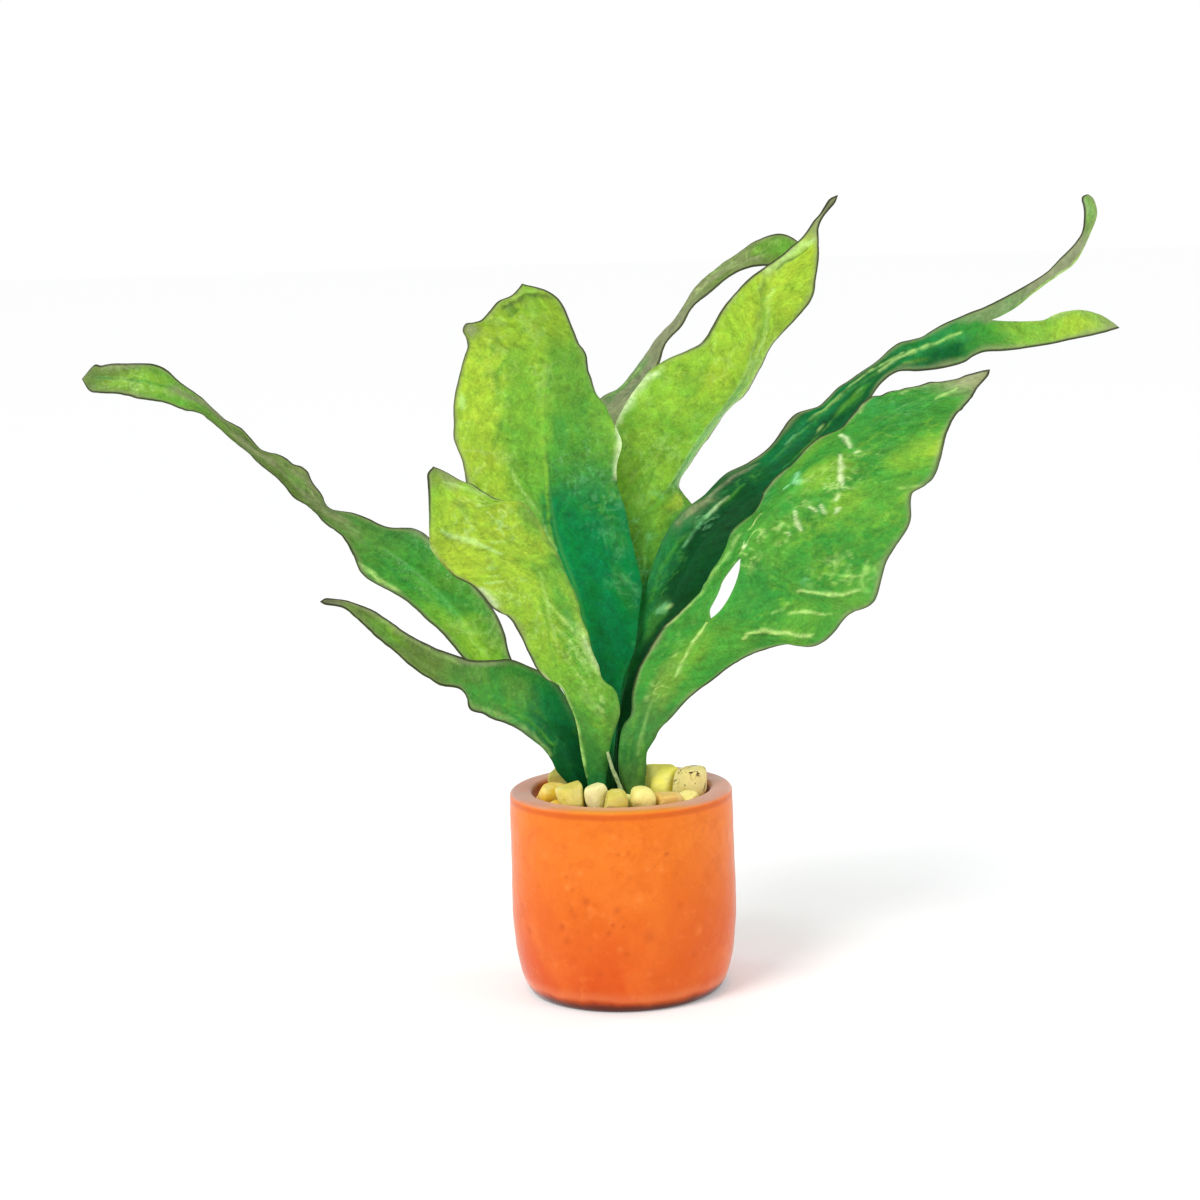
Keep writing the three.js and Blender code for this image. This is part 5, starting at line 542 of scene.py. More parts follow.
            [[-77.4, 32.5, 269.9], [-33.8, 18.5, 269.0], [3.4, 31.8, 267.4]],
            [[-78.3, 32.9, 273.6], [-34.3, 18.9, 273.0], [2.8, 32.4, 271.1]],
            [[-79.0, 33.3, 277.4], [-34.8, 19.3, 276.9], [2.5, 33.0, 274.8]],
            [[-79.6, 33.6, 281.1], [-35.2, 19.6, 280.8], [2.4, 33.5, 278.6]],
            [[-80.5, 33.9, 284.9], [-35.7, 19.9, 284.8], [2.7, 33.9, 282.4]],
            [[-81.9, 34.2, 288.6], [-36.1, 20.2, 288.7], [3.4, 34.2, 286.3]],
            [[-83.5, 34.4, 292.2], [-36.4, 20.4, 292.7], [4.4, 34.4, 290.1]],
            [[-84.9, 34.7, 295.9], [-36.7, 20.7, 296.7], [4.8, 34.7, 294.0]],
            [[-85.8, 34.8, 299.8], [-36.8, 20.8, 300.7], [3.6, 34.9, 297.8]],
            [[-85.5, 35.0, 303.8], [-36.8, 21.0, 304.6], [2.0, 35.0, 301.5]],
            [[-84.9, 35.0, 307.8], [-36.7, 21.0, 308.6], [0.6, 35.0, 305.4]],
            [[-84.7, 34.8, 312.0], [-36.4, 20.9, 312.6], [-0.9, 34.8, 309.3]],
            [[-84.3, 34.5, 316.1], [-36.0, 20.8, 316.5], [-2.5, 34.5, 313.2]],
            [[-83.7, 34.0, 320.2], [-35.5, 20.5, 320.5], [-4.5, 34.0, 317.0]],
            [[-83.0, 33.5, 324.3], [-35.0, 20.3, 324.5], [-7.0, 33.5, 320.6]],
            [[-82.0, 32.9, 328.3], [-34.4, 20.0, 328.4], [-8.3, 32.9, 324.8]],
            [[-81.0, 32.4, 332.1], [-33.9, 19.6, 332.4], [-9.4, 32.4, 329.3]],
            [[-80.0, 31.7, 336.0], [-33.6, 19.1, 336.4], [-10.8, 31.7, 333.9]],
            [[-79.0, 30.8, 339.9], [-33.4, 18.5, 340.3], [-11.4, 30.8, 338.4]],
            [[-77.6, 29.6, 344.0], [-33.5, 17.7, 344.3], [-12.1, 29.6, 342.5]],
            [[-76.0, 27.7, 348.3], [-33.9, 16.6, 348.3], [-13.7, 27.7, 345.9]],
            [[-76.2, 25.2, 352.9], [-34.5, 15.0, 352.3], [-15.8, 25.2, 348.7]],
            [[-77.7, 22.4, 357.4], [-35.4, 13.3, 356.2], [-17.0, 22.4, 352.1]],
            [[-76.0, 19.2, 361.4], [-36.5, 11.2, 360.0], [-18.2, 19.2, 355.9]],
            [[-71.4, 15.3, 362.6], [-37.8, 8.8, 363.7], [-19.5, 15.3, 359.8]],
            [[-66.4, 11.2, 364.5], [-39.3, 6.1, 367.4], [-20.9, 11.2, 364.1]],
            [[-61.8, 6.9, 369.0], [-40.8, 3.2, 371.1], [-22.8, 6.9, 369.2]],
            [[-56.8, 2.3, 374.2], [-42.2, -0.0, 374.7], [-26.4, 2.3, 374.6]],
            [[-49.8, -2.3, 376.7], [-43.5, -3.4, 378.4], [-33.5, -2.3, 379.3]],
            [[-44.3, -7.0, 382.3], [-44.3, -7.0, 382.3], [-44.3, -7.0, 382.3]],
        ],
    },
    {
        "name": "frond_back_right",
        "camber": 0.06,
        "rib_tone": 0.05,
        "cols": 32,
        "sub": 5,
        "seed": 5.0,
        "ruffle": 1.3,
        "ruffle_len": 36,
        "quilt": 0.2,
        "crinkle": 0.4,
        "broad": 1.2,
        "rib": 0.5,
        "pitch": 8.0,
        "rim_from": [110, 150],
        "tone": [[0, "black"], [0.15, "dark"], [0.25, "deep"], [0.38, "green"], [0.48, "mid"], [0.6, "lime"], [0.9, "yellow"], [0.955, "grey"], [0.975, "dry"], [1, "dry"]],
        "paint": [
            # the lower blade is painted teal as painted shade, low among the other blades
            ["box", [42.0, 131.7, -1.3, 1.3, 30, 0.3], "teal", 0.7],
            # the fold along the midrib: painted shade in its crease and a painted highlight beside it
            ["line", [[[302.1, -4.2], [289.8, -0.0], [274.0, 1.3], [262.0, 2.4]], 2.0], "olive", 0.5, -0.6],
            ["line", [[[302.1, -1.7], [284.9, 3.0], [271.6, 3.7]], 1.0], "green", 0.35, -0.3],
            ["line", [[[302.1, 1.8], [284.9, 4.5], [271.6, 6.2], [262.0, 7.1]], 1.2], "pale", 0.4, 0.4],
            ["line", [[[291.0, -7.4], [275.2, -3.3], [258.5, -3.9]], 3.0], "yellow", 0.35, 0.3],
            # the bent tip: a painted highlight along the fold and painted shadow under it
            ["line", [[[308.2, -5.8], [321.4, -3.9], [333.8, -3.6], [338.5, 1.8]], 2.6], "pale", 0.85, 0.8],
            ["line", [[[189.5, -35.4], [182.4, -30.8], [175.3, -24.8]], 2.2], "pale", 0.55, 0.2],
            ["dot", [162.3, 10.7, 10, 6], "pale", 0.25],
            ["line", [[[313.0, -2.7], [322.6, -1.3], [332.6, 1.8]], 1.3], "olive", 0.8, -0.6],
            ["line", [[[315.3, -5.9], [305.8, -6.4], [297.1, -6.1]], 1.0], "pale", 0.3, 0.3],
            ["dot", [245.3, -9.9, 16, 10], "yellow", 0.5],
            ["line", [[[235.8, -8.8], [240.6, -2.7], [246.5, 6.8]], 1.2], "mid", 0.35, -0.2],
            # a painted glint along the left margin
            ["line", [[[228.6, -40.4], [222.6, -44.0], [215.4, -44.2], [208.2, -43.8], [202.4, -43.2], [190.6, -41.6]], 2.0], "white", 0.85, 0.6],
            ["line", [[[233.4, -39.0], [223.8, -40.8], [215.4, -41.0], [204.7, -40.4]], 1.2], "pale", 0.4, 0.3],
            # the lower fold: painted shade in its crease and a painted highlight beside it
            ["line", [[[180.1, 3.7], [169.4, -0.0], [156.4, -0.0], [139.9, -0.0]], 2.0], "deep", 0.9, -0.6],
            ["line", [[[143.4, -0.0], [136.4, -0.0], [128.2, 1.8]], 1.6], "pale", 0.7, 0.5],
            ["dot", [168.2, 10.6, 12, 7], "yellow", 0.8],
            ["dot", [159.9, 5.5, 16, 8], "yellow", 0.7],
            ["dot", [173.0, 18.6, 8, 4], "lime", 0.6],
            ["dot", [227.4, -12.5, 26, 12], "yellow", 0.3],
            ["dot", [207.1, -9.4, 30, 14], "mid", 0.35],
            ["dot", [189.5, -17.7, 22, 10], "mid", 0.4],
            ["dot", [232.2, -21.2, 14, 8], "green", 0.25],
            ["dot", [173.0, -9.5, 46, 20], "lime", 0.7],
            ["dot", [181.2, -27.5, 40, 10], "lime", 0.7],
            ["dot", [145.8, -0.0, 36, 18], "mid", 0.8],
            ["dot", [164.7, -14.6, 20, 7], "green", 0.3],
            ["crumple", [241.7, -21.2, 60, 26, 8], "pale", 0.22, 0.12],
            ["crumple", [191.8, -14.9, 50, 24, 6], "mid", 0.45, 0.2],
            ["crumple", [188.3, -8.8, 40, 24, 5], "pale", 0.3, 0.15],
            ["crumple", [142.2, -1.7, 44, 18, 5], "mint", 0.4, 0.2],
            ["box", [177.7, 252.5, 0.12, 0.66, 12, 0.14], "green", 0.6],
            ["box", [177.7, 252.5, 0.9, 1.3, 12, 0.04], "dry", 0.8],
            ["rim", [131.7, 235.8, -1.3, -0.4], "", 1.0],
            ["rim", [121.2, 175.3, 0.4, 1.3], "", 0.8],
        ],
        "rows": [
            [[-4.0, 16.5, 100.6], [-1.0, 16.5, 100.6], [2.0, 16.5, 100.6]],
            [[-4.0, 16.7, 105.3], [-1.2, 16.7, 105.3], [1.5, 16.7, 105.2]],
            [[-4.0, 17.0, 110.0], [-1.3, 17.0, 110.0], [1.0, 17.0, 109.7]],
            [[-4.0, 17.4, 114.6], [-1.4, 17.4, 114.6], [0.8, 17.4, 114.4]],
            [[-4.0, 17.9, 119.3], [-1.3, 17.9, 119.3], [0.9, 17.9, 119.0]],
            [[-4.0, 18.4, 124.0], [-1.1, 18.4, 123.9], [1.2, 18.4, 123.7]],
            [[-4.1, 19.1, 128.7], [-0.8, 19.1, 128.5], [1.7, 19.1, 128.3]],
            [[-4.2, 19.9, 133.5], [-0.5, 19.9, 133.0], [2.3, 19.8, 133.1]],
            [[-4.5, 21.0, 138.3], [-0.0, 21.0, 137.5], [2.9, 20.9, 137.9]],
            [[-4.8, 22.2, 143.1], [0.5, 22.2, 142.0], [3.7, 22.1, 142.8]],
            [[-5.1, 23.4, 147.8], [1.1, 23.4, 146.4], [4.5, 23.3, 147.4]],
            [[-5.5, 24.6, 152.3], [1.8, 24.6, 150.9], [5.5, 24.6, 151.9]],
            [[-5.9, 25.7, 156.5], [2.6, 25.7, 155.3], [6.5, 25.8, 156.0]],
            [[-6.3, 26.7, 160.4], [3.4, 26.7, 159.8], [7.6, 27.0, 159.8]],
            [[-6.7, 27.6, 164.0], [4.3, 27.6, 164.3], [8.7, 28.3, 163.4]],
            [[-7.0, 28.6, 167.7], [5.3, 28.6, 168.7], [9.9, 29.6, 166.9]],
            [[-7.4, 29.5, 171.5], [6.2, 29.5, 173.2], [11.3, 31.0, 170.5]],
            [[-7.8, 30.5, 175.5], [7.3, 30.5, 177.6], [12.8, 32.3, 174.3]],
            [[-8.1, 31.4, 179.9], [8.3, 31.4, 182.1], [14.6, 33.5, 178.4]],
            [[-8.4, 32.3, 184.8], [9.3, 32.3, 186.5], [16.8, 34.7, 182.9]],
            [[-8.7, 33.1, 190.1], [10.4, 33.1, 191.0], [19.6, 35.9, 187.5]],
            [[-8.9, 34.0, 195.5], [11.3, 34.0, 195.5], [22.4, 37.1, 192.3]],
            [[-9.0, 34.8, 201.0], [12.1, 34.8, 200.0], [25.3, 38.3, 197.1]],
            [[-9.1, 35.7, 206.2], [12.9, 35.7, 204.5], [28.1, 39.6, 201.8]],
            [[-9.0, 36.6, 211.1], [13.4, 36.6, 209.1], [30.7, 40.9, 206.6]],
            [[-8.8, 37.5, 215.8], [13.8, 37.5, 213.6], [33.4, 42.2, 211.6]],
            [[-8.6, 38.5, 220.5], [14.2, 38.5, 218.2], [35.9, 43.5, 216.7]],
            [[-8.3, 39.4, 225.0], [14.5, 39.4, 222.8], [38.1, 44.9, 221.9]],
            [[-7.9, 40.3, 229.6], [15.0, 40.3, 227.3], [40.0, 46.3, 227.0]],
            [[-7.5, 41.3, 234.2], [15.6, 41.3, 231.8], [41.6, 47.8, 231.8]],
            [[-7.1, 42.3, 238.7], [16.4, 42.3, 236.3], [43.0, 49.5, 236.2]],
            [[-6.6, 43.3, 243.0], [17.5, 43.3, 240.8], [44.1, 51.3, 240.2]],
            [[-6.1, 44.2, 247.1], [18.9, 44.3, 245.2], [45.1, 53.3, 243.9]],
            [[-5.5, 45.2, 251.3], [20.5, 45.3, 249.5], [45.8, 55.5, 247.4]],
            [[-4.9, 46.2, 255.9], [22.4, 46.4, 253.7], [46.1, 57.6, 251.0]],
            [[-4.2, 47.3, 261.0], [24.5, 47.4, 257.9], [45.2, 59.8, 254.7]],
            [[-3.4, 48.5, 267.1], [26.8, 48.5, 261.8], [42.6, 61.9, 257.9]],
            [[-2.4, 49.9, 275.6], [29.2, 49.6, 265.7], [40.0, 64.2, 261.4]],
            [[-1.3, 51.4, 284.8], [31.8, 50.7, 269.5], [37.6, 66.5, 265.4]],
            [[0.1, 52.7, 292.5], [34.4, 51.8, 273.4], [38.6, 68.5, 270.0]],
            [[1.4, 53.7, 297.5], [36.9, 52.6, 277.3], [41.4, 70.2, 274.0]],
            [[2.7, 54.6, 301.3], [39.3, 53.2, 281.2], [44.7, 71.6, 277.9]],
            [[3.9, 55.4, 304.6], [41.8, 53.8, 285.2], [47.8, 72.9, 282.1]],
            [[5.6, 56.3, 307.8], [44.3, 54.5, 289.0], [50.6, 74.2, 286.3]],
            [[7.7, 57.4, 311.5], [47.0, 55.3, 292.8], [53.3, 75.4, 290.5]],
            [[10.2, 58.7, 315.5], [49.9, 56.4, 296.4], [55.9, 76.9, 294.6]],
            [[13.3, 60.2, 319.6], [52.8, 57.6, 300.0], [58.8, 78.3, 298.4]],
            [[16.8, 61.7, 323.6], [55.9, 58.9, 303.5], [61.8, 79.6, 302.1]],
            [[20.4, 63.1, 327.8], [59.0, 60.2, 306.9], [65.2, 80.6, 305.2]],
            [[24.3, 64.3, 331.7], [62.0, 61.3, 310.5], [68.7, 81.1, 307.8]],
            [[29.3, 65.4, 335.2], [65.0, 62.3, 314.1], [71.9, 81.5, 310.2]],
            [[34.8, 66.3, 338.1], [67.8, 63.3, 317.8], [74.8, 81.8, 312.6]],
            [[40.6, 67.3, 340.4], [70.4, 64.3, 321.6], [77.0, 82.0, 316.0]],
            [[45.9, 68.3, 342.8], [72.9, 65.3, 325.6], [79.1, 82.0, 320.2]],
            [[51.1, 69.4, 345.1], [75.1, 66.4, 329.6], [81.7, 82.0, 325.1]],
            [[55.0, 70.6, 348.9], [77.1, 67.5, 333.8], [84.9, 82.0, 330.3]],
            [[57.9, 71.7, 353.1], [78.9, 68.7, 338.1], [88.3, 82.0, 335.3]],
            [[60.2, 72.7, 356.8], [80.5, 69.8, 342.5], [91.6, 82.0, 339.8]],
            [[62.1, 73.5, 360.2], [81.9, 71.0, 347.0], [95.1, 82.0, 343.9]],
            [[64.1, 74.4, 363.5], [83.1, 72.2, 351.4], [98.5, 82.0, 348.1]],
            [[66.6, 75.5, 367.0], [84.3, 73.6, 355.9], [102.1, 82.0, 352.7]],
            [[69.6, 77.0, 370.4], [85.6, 75.0, 360.4], [106.0, 82.0, 357.5]],
            [[73.2, 78.5, 373.7], [87.1, 76.4, 364.8], [110.1, 82.0, 362.2]],
            [[77.4, 79.7, 377.3], [88.8, 77.9, 369.2], [114.0, 82.1, 366.5]],
            [[82.3, 80.8, 381.2], [90.9, 79.5, 373.4], [116.5, 82.5, 371.4]],
            [[87.3, 81.9, 384.5], [93.4, 80.8, 377.4], [117.6, 82.9, 376.5]],
            [[91.6, 82.8, 387.2], [96.2, 81.9, 381.1], [118.3, 83.4, 381.2]],
            [[95.4, 83.8, 389.7], [99.4, 82.7, 384.5], [118.8, 84.0, 385.7]],
            [[99.0, 84.6, 392.2], [103.0, 83.6, 387.7], [119.1, 84.7, 389.7]],
            [[102.3, 85.4, 394.9], [106.9, 84.5, 390.7], [119.4, 85.3, 393.1]],
            [[105.4, 86.1, 397.3], [110.8, 85.6, 393.6], [119.5, 86.0, 395.9]],
            [[108.6, 86.8, 399.8], [113.9, 86.7, 397.0], [119.6, 86.8, 398.7]],
            [[111.5, 87.6, 402.9], [115.8, 87.6, 401.2], [119.6, 87.6, 402.0]],
            [[114.2, 88.5, 406.3], [117.0, 88.5, 405.8], [119.7, 88.5, 405.7]],
            [[117.0, 89.5, 410.2], [118.9, 89.5, 410.1], [121.0, 89.5, 409.5]],
            [[120.5, 90.8, 413.8], [121.8, 90.8, 413.8], [123.4, 90.8, 413.2]],
            [[123.4, 92.2, 418.1], [125.2, 92.2, 417.3], [126.5, 92.2, 416.6]],
            [[126.6, 93.6, 422.3], [128.7, 93.6, 420.7], [129.7, 93.6, 420.1]],
            [[131.5, 95.0, 424.4], [131.5, 95.0, 424.4], [131.5, 95.0, 424.4]],
        ],
    },
    {
        "name": "frond_back_strap",
        "camber": 0.1,
        "rib_tone": 0.0,
        "cols": 14,
        "sub": 5,
        "seed": 6.0,
        "ruffle": 0.8,
        "ruffle_len": 33,
        "quilt": 0.2,
        "crinkle": 0.3,
        "broad": 0.8,
        "rib": 0.5,
        "pitch": 7.0,
        "rim_from": [150, 190],
        "tone": [[0, "black"], [0.3, "dark"], [0.42, "green"], [0.5, "olive"], [0.58, "grey"], [0.76, "grey"], [0.84, "olive"], [0.93, "olive"], [1, "mid"]],
        "paint": [
            ["line", [[[217.9, -4.5], [233.1, -8.0], [246.5, -4.5], [258.6, -2.5]], 1.2], "green", 0.5, -0.3],
            ["line", [[[227.0, -8.3], [239.1, -9.1], [249.5, -5.3]], 1.1], "pale", 0.5, 0.3],
            ["line", [[[227.0, 0.8], [239.1, -0.0], [248.0, 3.5]], 1.0], "deep", 0.5, -0.3],
            ["line", [[[257.1, -3.4], [275.5, -3.2], [307.0, -3.2], [334.4, -1.5]], 1.0], "grey", 0.35, 0.3],
            ["dot", [242.1, -11.8, 28, 9], "green", 0.5],
            ["dot", [354.4, -1.5, 18, 8], "mid", 0.6],
            ["dot", [346.7, -0.8, 7, 4], "lime", 0.6],
            ["dot", [320.8, -1.6, 14, 5], "mid", 0.25],
            ["line", [[[296.5, -4.0], [314.7, -0.8], [331.4, 2.1], [346.7, 3.2]], 3.8], "margin", 0.8, 0.1],
            ["dot", [323.8, -3.2, 26, 8], "margin", 0.5],
            ["crumple", [334.4, -1.5, 50, 10, 6], "pale", 0.35, 0.15],
        ],
        "rows": [
            [[-13.0, 21.5, 100.6], [-10.0, 21.5, 100.6], [-7.0, 21.5, 100.6]],
            [[-11.5, 22.3, 106.1], [-9.3, 22.1, 106.2], [-6.5, 21.9, 106.3]],
            [[-10.3, 23.2, 111.7], [-8.7, 22.9, 111.8], [-6.0, 22.5, 111.9]],
            [[-9.6, 24.3, 117.3], [-8.3, 23.8, 117.4], [-5.7, 23.3, 117.5]],
            [[-9.4, 25.4, 122.9], [-8.0, 24.8, 123.0], [-5.5, 24.1, 123.1]],
            [[-9.5, 26.7, 128.5], [-7.8, 25.9, 128.5], [-5.4, 25.0, 128.7]],
            [[-9.9, 28.0, 134.1], [-7.8, 27.0, 134.1], [-5.4, 26.0, 134.2]],
            [[-10.2, 29.6, 139.5], [-7.8, 28.4, 139.6], [-5.4, 27.2, 139.8]],
            [[-10.6, 31.3, 145.0], [-7.9, 30.0, 145.1], [-5.5, 28.7, 145.2]],
            [[-10.9, 33.3, 150.4], [-8.1, 31.9, 150.5], [-5.5, 30.5, 150.7]],
            [[-11.3, 35.4, 155.7], [-8.3, 33.8, 155.9], [-5.6, 32.3, 156.1]],
            [[-11.7, 37.5, 161.1], [-8.6, 35.8, 161.3], [-5.7, 34.1, 161.5]],
            [[-12.1, 39.5, 166.5], [-8.9, 37.7, 166.8], [-5.9, 35.9, 167.0]],
            [[-12.5, 41.5, 171.9], [-9.2, 39.6, 172.2], [-6.0, 37.6, 172.5]],
            [[-12.9, 43.4, 177.4], [-9.6, 41.2, 177.7], [-6.2, 39.1, 178.0]],
            [[-13.3, 45.3, 182.9], [-10.0, 42.9, 183.2], [-6.4, 40.5, 183.5]],
            [[-13.8, 47.1, 188.4], [-10.3, 44.5, 188.8], [-6.6, 41.9, 189.0]],
            [[-14.2, 48.9, 193.9], [-10.7, 46.1, 194.3], [-6.8, 43.2, 194.5]],
            [[-14.5, 50.8, 199.4], [-11.0, 47.7, 199.8], [-7.0, 44.6, 200.1]],
            [[-14.8, 52.6, 204.9], [-11.2, 49.2, 205.4], [-7.1, 45.9, 205.7]],
            [[-15.2, 54.4, 210.5], [-11.5, 50.8, 210.9], [-7.2, 47.2, 211.2]],
            [[-15.4, 56.2, 216.0], [-11.6, 52.4, 216.5], [-7.3, 48.6, 216.8]],
            [[-15.7, 58.0, 221.6], [-11.8, 54.0, 222.0], [-7.3, 50.0, 222.3]],
            [[-15.9, 59.8, 227.2], [-11.8, 55.6, 227.6], [-7.3, 51.4, 227.9]],
            [[-16.0, 61.5, 232.8], [-11.7, 57.2, 233.2], [-7.2, 52.8, 233.5]],
            [[-16.1, 63.2, 238.3], [-11.6, 58.8, 238.8], [-6.9, 54.3, 239.1]],
            [[-16.2, 65.0, 243.9], [-11.4, 60.4, 244.4], [-6.6, 55.7, 244.6]],
            [[-16.2, 66.7, 249.5], [-11.2, 62.1, 249.9], [-6.1, 57.2, 250.2]],
            [[-16.1, 68.5, 255.1], [-10.9, 63.7, 255.5], [-5.5, 58.8, 255.8]],
            [[-16.0, 70.4, 260.7], [-10.5, 65.3, 261.1], [-4.7, 60.3, 261.3]],
            [[-15.8, 72.3, 266.2], [-10.1, 67.0, 266.7], [-3.8, 61.9, 266.9]],
            [[-15.5, 74.2, 271.6], [-9.6, 68.6, 272.3], [-2.7, 63.5, 272.5]],
            [[-15.1, 76.1, 277.0], [-8.9, 70.2, 277.9], [-1.4, 65.2, 278.0]],
            [[-14.6, 78.2, 282.5], [-8.0, 71.9, 283.5], [0.0, 67.0, 283.5]],
            [[-13.8, 80.4, 288.2], [-6.7, 73.7, 289.0], [1.8, 68.8, 288.8]],
            [[-12.8, 82.9, 294.2], [-5.1, 75.8, 294.4], [4.2, 70.7, 294.0]],
            [[-11.3, 85.9, 300.6], [-3.1, 78.2, 299.8], [7.0, 73.0, 299.1]],
            [[-9.1, 89.1, 307.0], [-0.5, 80.9, 304.8], [10.0, 75.4, 304.0]],
            [[-6.1, 92.2, 312.9], [2.8, 83.4, 309.4], [13.0, 77.5, 308.7]],
            [[-1.4, 94.9, 316.8], [6.7, 85.4, 313.5], [16.0, 79.0, 313.1]],
            [[4.1, 97.4, 318.9], [11.2, 87.2, 317.2], [18.8, 80.2, 317.2]],
            [[9.0, 99.8, 322.1], [15.5, 89.0, 321.0], [21.6, 81.3, 321.3]],
            [[13.1, 101.8, 326.5], [19.3, 90.8, 325.2], [24.3, 82.5, 325.7]],
            [[17.1, 103.6, 331.2], [22.3, 92.5, 330.1], [27.0, 83.6, 330.2]],
            [[20.8, 105.3, 336.3], [25.1, 94.3, 335.1], [29.4, 84.8, 335.0]],
            [[24.5, 107.2, 341.3], [28.2, 96.2, 340.0], [31.1, 86.1, 340.0]],
            [[28.5, 109.4, 345.9], [31.8, 98.4, 344.5], [33.6, 87.9, 344.8]],
            [[33.2, 111.6, 349.9], [35.6, 100.6, 348.8], [37.0, 89.8, 349.1]],
            [[37.7, 113.5, 354.2], [39.3, 102.5, 353.3], [41.0, 91.4, 353.0]],
            [[41.5, 114.9, 359.1], [42.7, 103.8, 358.1], [44.5, 92.7, 357.5]],
            [[44.8, 116.2, 364.5], [45.9, 105.1, 362.9], [47.9, 94.0, 362.1]],
            [[48.3, 117.4, 369.7], [49.4, 106.3, 367.5], [51.5, 95.3, 366.3]],
            [[52.4, 118.8, 374.7], [53.4, 107.9, 371.8], [55.3, 97.0, 369.7]],
            [[56.8, 120.3, 379.5], [57.9, 109.6, 375.5], [59.1, 99.0, 372.3]],
            [[61.6, 121.6, 384.0], [62.7, 111.3, 379.0], [63.0, 101.1, 375.0]],
            [[67.0, 122.5, 387.9], [67.6, 112.9, 382.2], [67.4, 103.2, 378.1]],
            [[73.2, 123.3, 390.9], [72.6, 114.2, 385.3], [72.4, 105.2, 381.5]],
            [[78.9, 123.9, 394.5], [77.8, 115.6, 388.1], [77.9, 107.3, 384.1]],
            [[84.0, 124.3, 398.4], [83.2, 117.0, 390.6], [83.5, 109.7, 385.4]],
            [[89.5, 124.6, 401.1], [88.9, 118.5, 392.4], [89.2, 112.3, 385.7]],
            [[95.3, 125.0, 403.1], [94.8, 120.1, 393.5], [94.9, 115.1, 385.6]],
            [[101.3, 125.8, 403.5], [100.8, 122.0, 393.5], [100.6, 118.2, 385.4]],
            [[107.1, 126.0, 401.4], [106.9, 123.6, 392.7], [106.3, 121.1, 385.2]],
            [[112.2, 126.0, 397.1], [112.6, 124.9, 390.9], [111.8, 123.7, 385.8]],
            [[117.2, 126.0, 387.0], [117.2, 126.0, 387.0], [117.2, 126.0, 387.0]],
        ],
    },
    {
        "name": "frond_forked",
        "camber": 0.06,
        "rib_tone": 0.0,
        "cols": 26,
        "sub": 5,
        "seed": 7.0,
        "ruffle": 0.9,
        "ruffle_len": 37,
        "quilt": 0.1,
        "crinkle": 0.14,
        "broad": 1.0,
        "rib": 0.5,
        "pitch": 8.0,
        "rim_from": [120, 160],
        "fork": 65,
        # the dark tones over most of this blade and the black patch below are painted shade where the front right frond
        # shadows it
        "tone": [[0, "black"], [0.2, "black"], [0.32, "dark"], [0.5, "dark"], [0.62, "dark"], [0.74, "deep"], [0.82, "green"], [0.88, "grey"], [1, "grey"]],
        "paint": [
            ["box", [62.7, 198.9, -0.4, 1.3, 25, 0.2], "black", 0.75],
            ["box", [73.5, 166.5, -1.3, -0.45, 24, 0.25], "deep", 0.7],
            ["line", [[[131.5, -12.2], [140.9, -12.9], [154.4, -8.6], [166.5, -8.6]], 1.2], "green", 0.6, 0.4],
            ["line", [[[138.2, -9.9], [153.0, -8.6], [166.5, -5.7], [181.3, -4.0]], 1.1], "dark", 0.6, -0.3],
            ["line", [[[146.3, -7.2], [159.8, -7.2], [173.3, -6.9]], 1.1], "mint", 0.6, 0.4],
            ["line", [[[173.3, -6.9], [181.3, -5.3], [192.1, -5.4]], 1.0], "green", 0.7, 0.4],
            ["line", [[[165.2, -14.3], [180.0, -14.6], [193.5, -13.5], [208.3, -11.6]], 1.3], "grey", 0.7, 0.4],
            ["line", [[[165.2, -7.2], [181.3, -6.7]], 0.9], "white", 0.4, 0.4],
            ["crumple", [163.8, -7.2, 24, 8, 4], "mint", 0.42, 0.25],
            ["crumple", [185.4, -6.7, 24, 7, 4], "green", 0.55, 0.25],
            ["crumple", [132.8, -8.2, 24, 7, 5], "green", 0.5, 0.2],
            ["line", [[[116.6, -11.2], [134.2, -13.8], [145.0, -11.5]], 1.2], "green", 0.5, 0.3],
            ["dot", [105.9, -3.8, 18, 6], "green", 0.55],
            ["dot", [111.3, -2.1, 7, 4], "mint", 0.5],
            ["dot", [112.6, -0.0, 4, 2.5], "pale", 0.4],
            ["dot", [228.5, -10.3, 40, 8], "teal", 0.45],
            ["dot", [255.5, -8.5, 24, 8], "teal", 0.5],
            ["line", [[[211.0, -6.4], [232.6, -8.0], [258.2, -7.3], [273.1, -3.8], [286.6, -2.7]], 1.1], "green", 0.55, 0.3],
            ["line", [[[209.7, 2.5], [233.9, 1.2], [258.2, -0.0], [273.1, -1.0]], 0.9], "mid", 0.4, 0.3],
            ["line", [[[243.4, -9.8], [260.9, -7.2], [279.8, -7.4], [301.5, -3.1]], 1.0], "pale", 0.5, 0.4],
            ["line", [[[244.7, -1.4], [258.2, -0.0], [270.3, 0.9]], 1.0], "black", 0.6, -0.3],
            ["line", [[[235.3, -9.6], [251.5, -7.0], [267.6, -6.9]], 0.9], "black", 0.4, -0.3],
            ["dot", [242.0, -1.4, 3, 1.5], "pale", 0.45],
            ["line", [[[224.5, -8.8], [231.2, -9.2]], 1.0], "mint", 0.4, 0.3],
            ["line", [[[285.2, -2.7], [296.1, -2.5], [308.3, 1.0], [319.2, 2.5], [334.4, 1.3]], 1.2], "pale", 0.55, 0.4],
            ["line", [[[298.8, 4.9], [316.5, 11.9], [333.0, 15.7]], 1.4], "lime", 0.55, 0.3],
            ["dot", [326.1, 11.6, 30, 6], "dark", 0.95],
            ["dot", [311.1, 6.6, 16, 4], "dark", 0.6],
            ["dot", [346.9, 12.9, 16, 6], "green", 0.5],
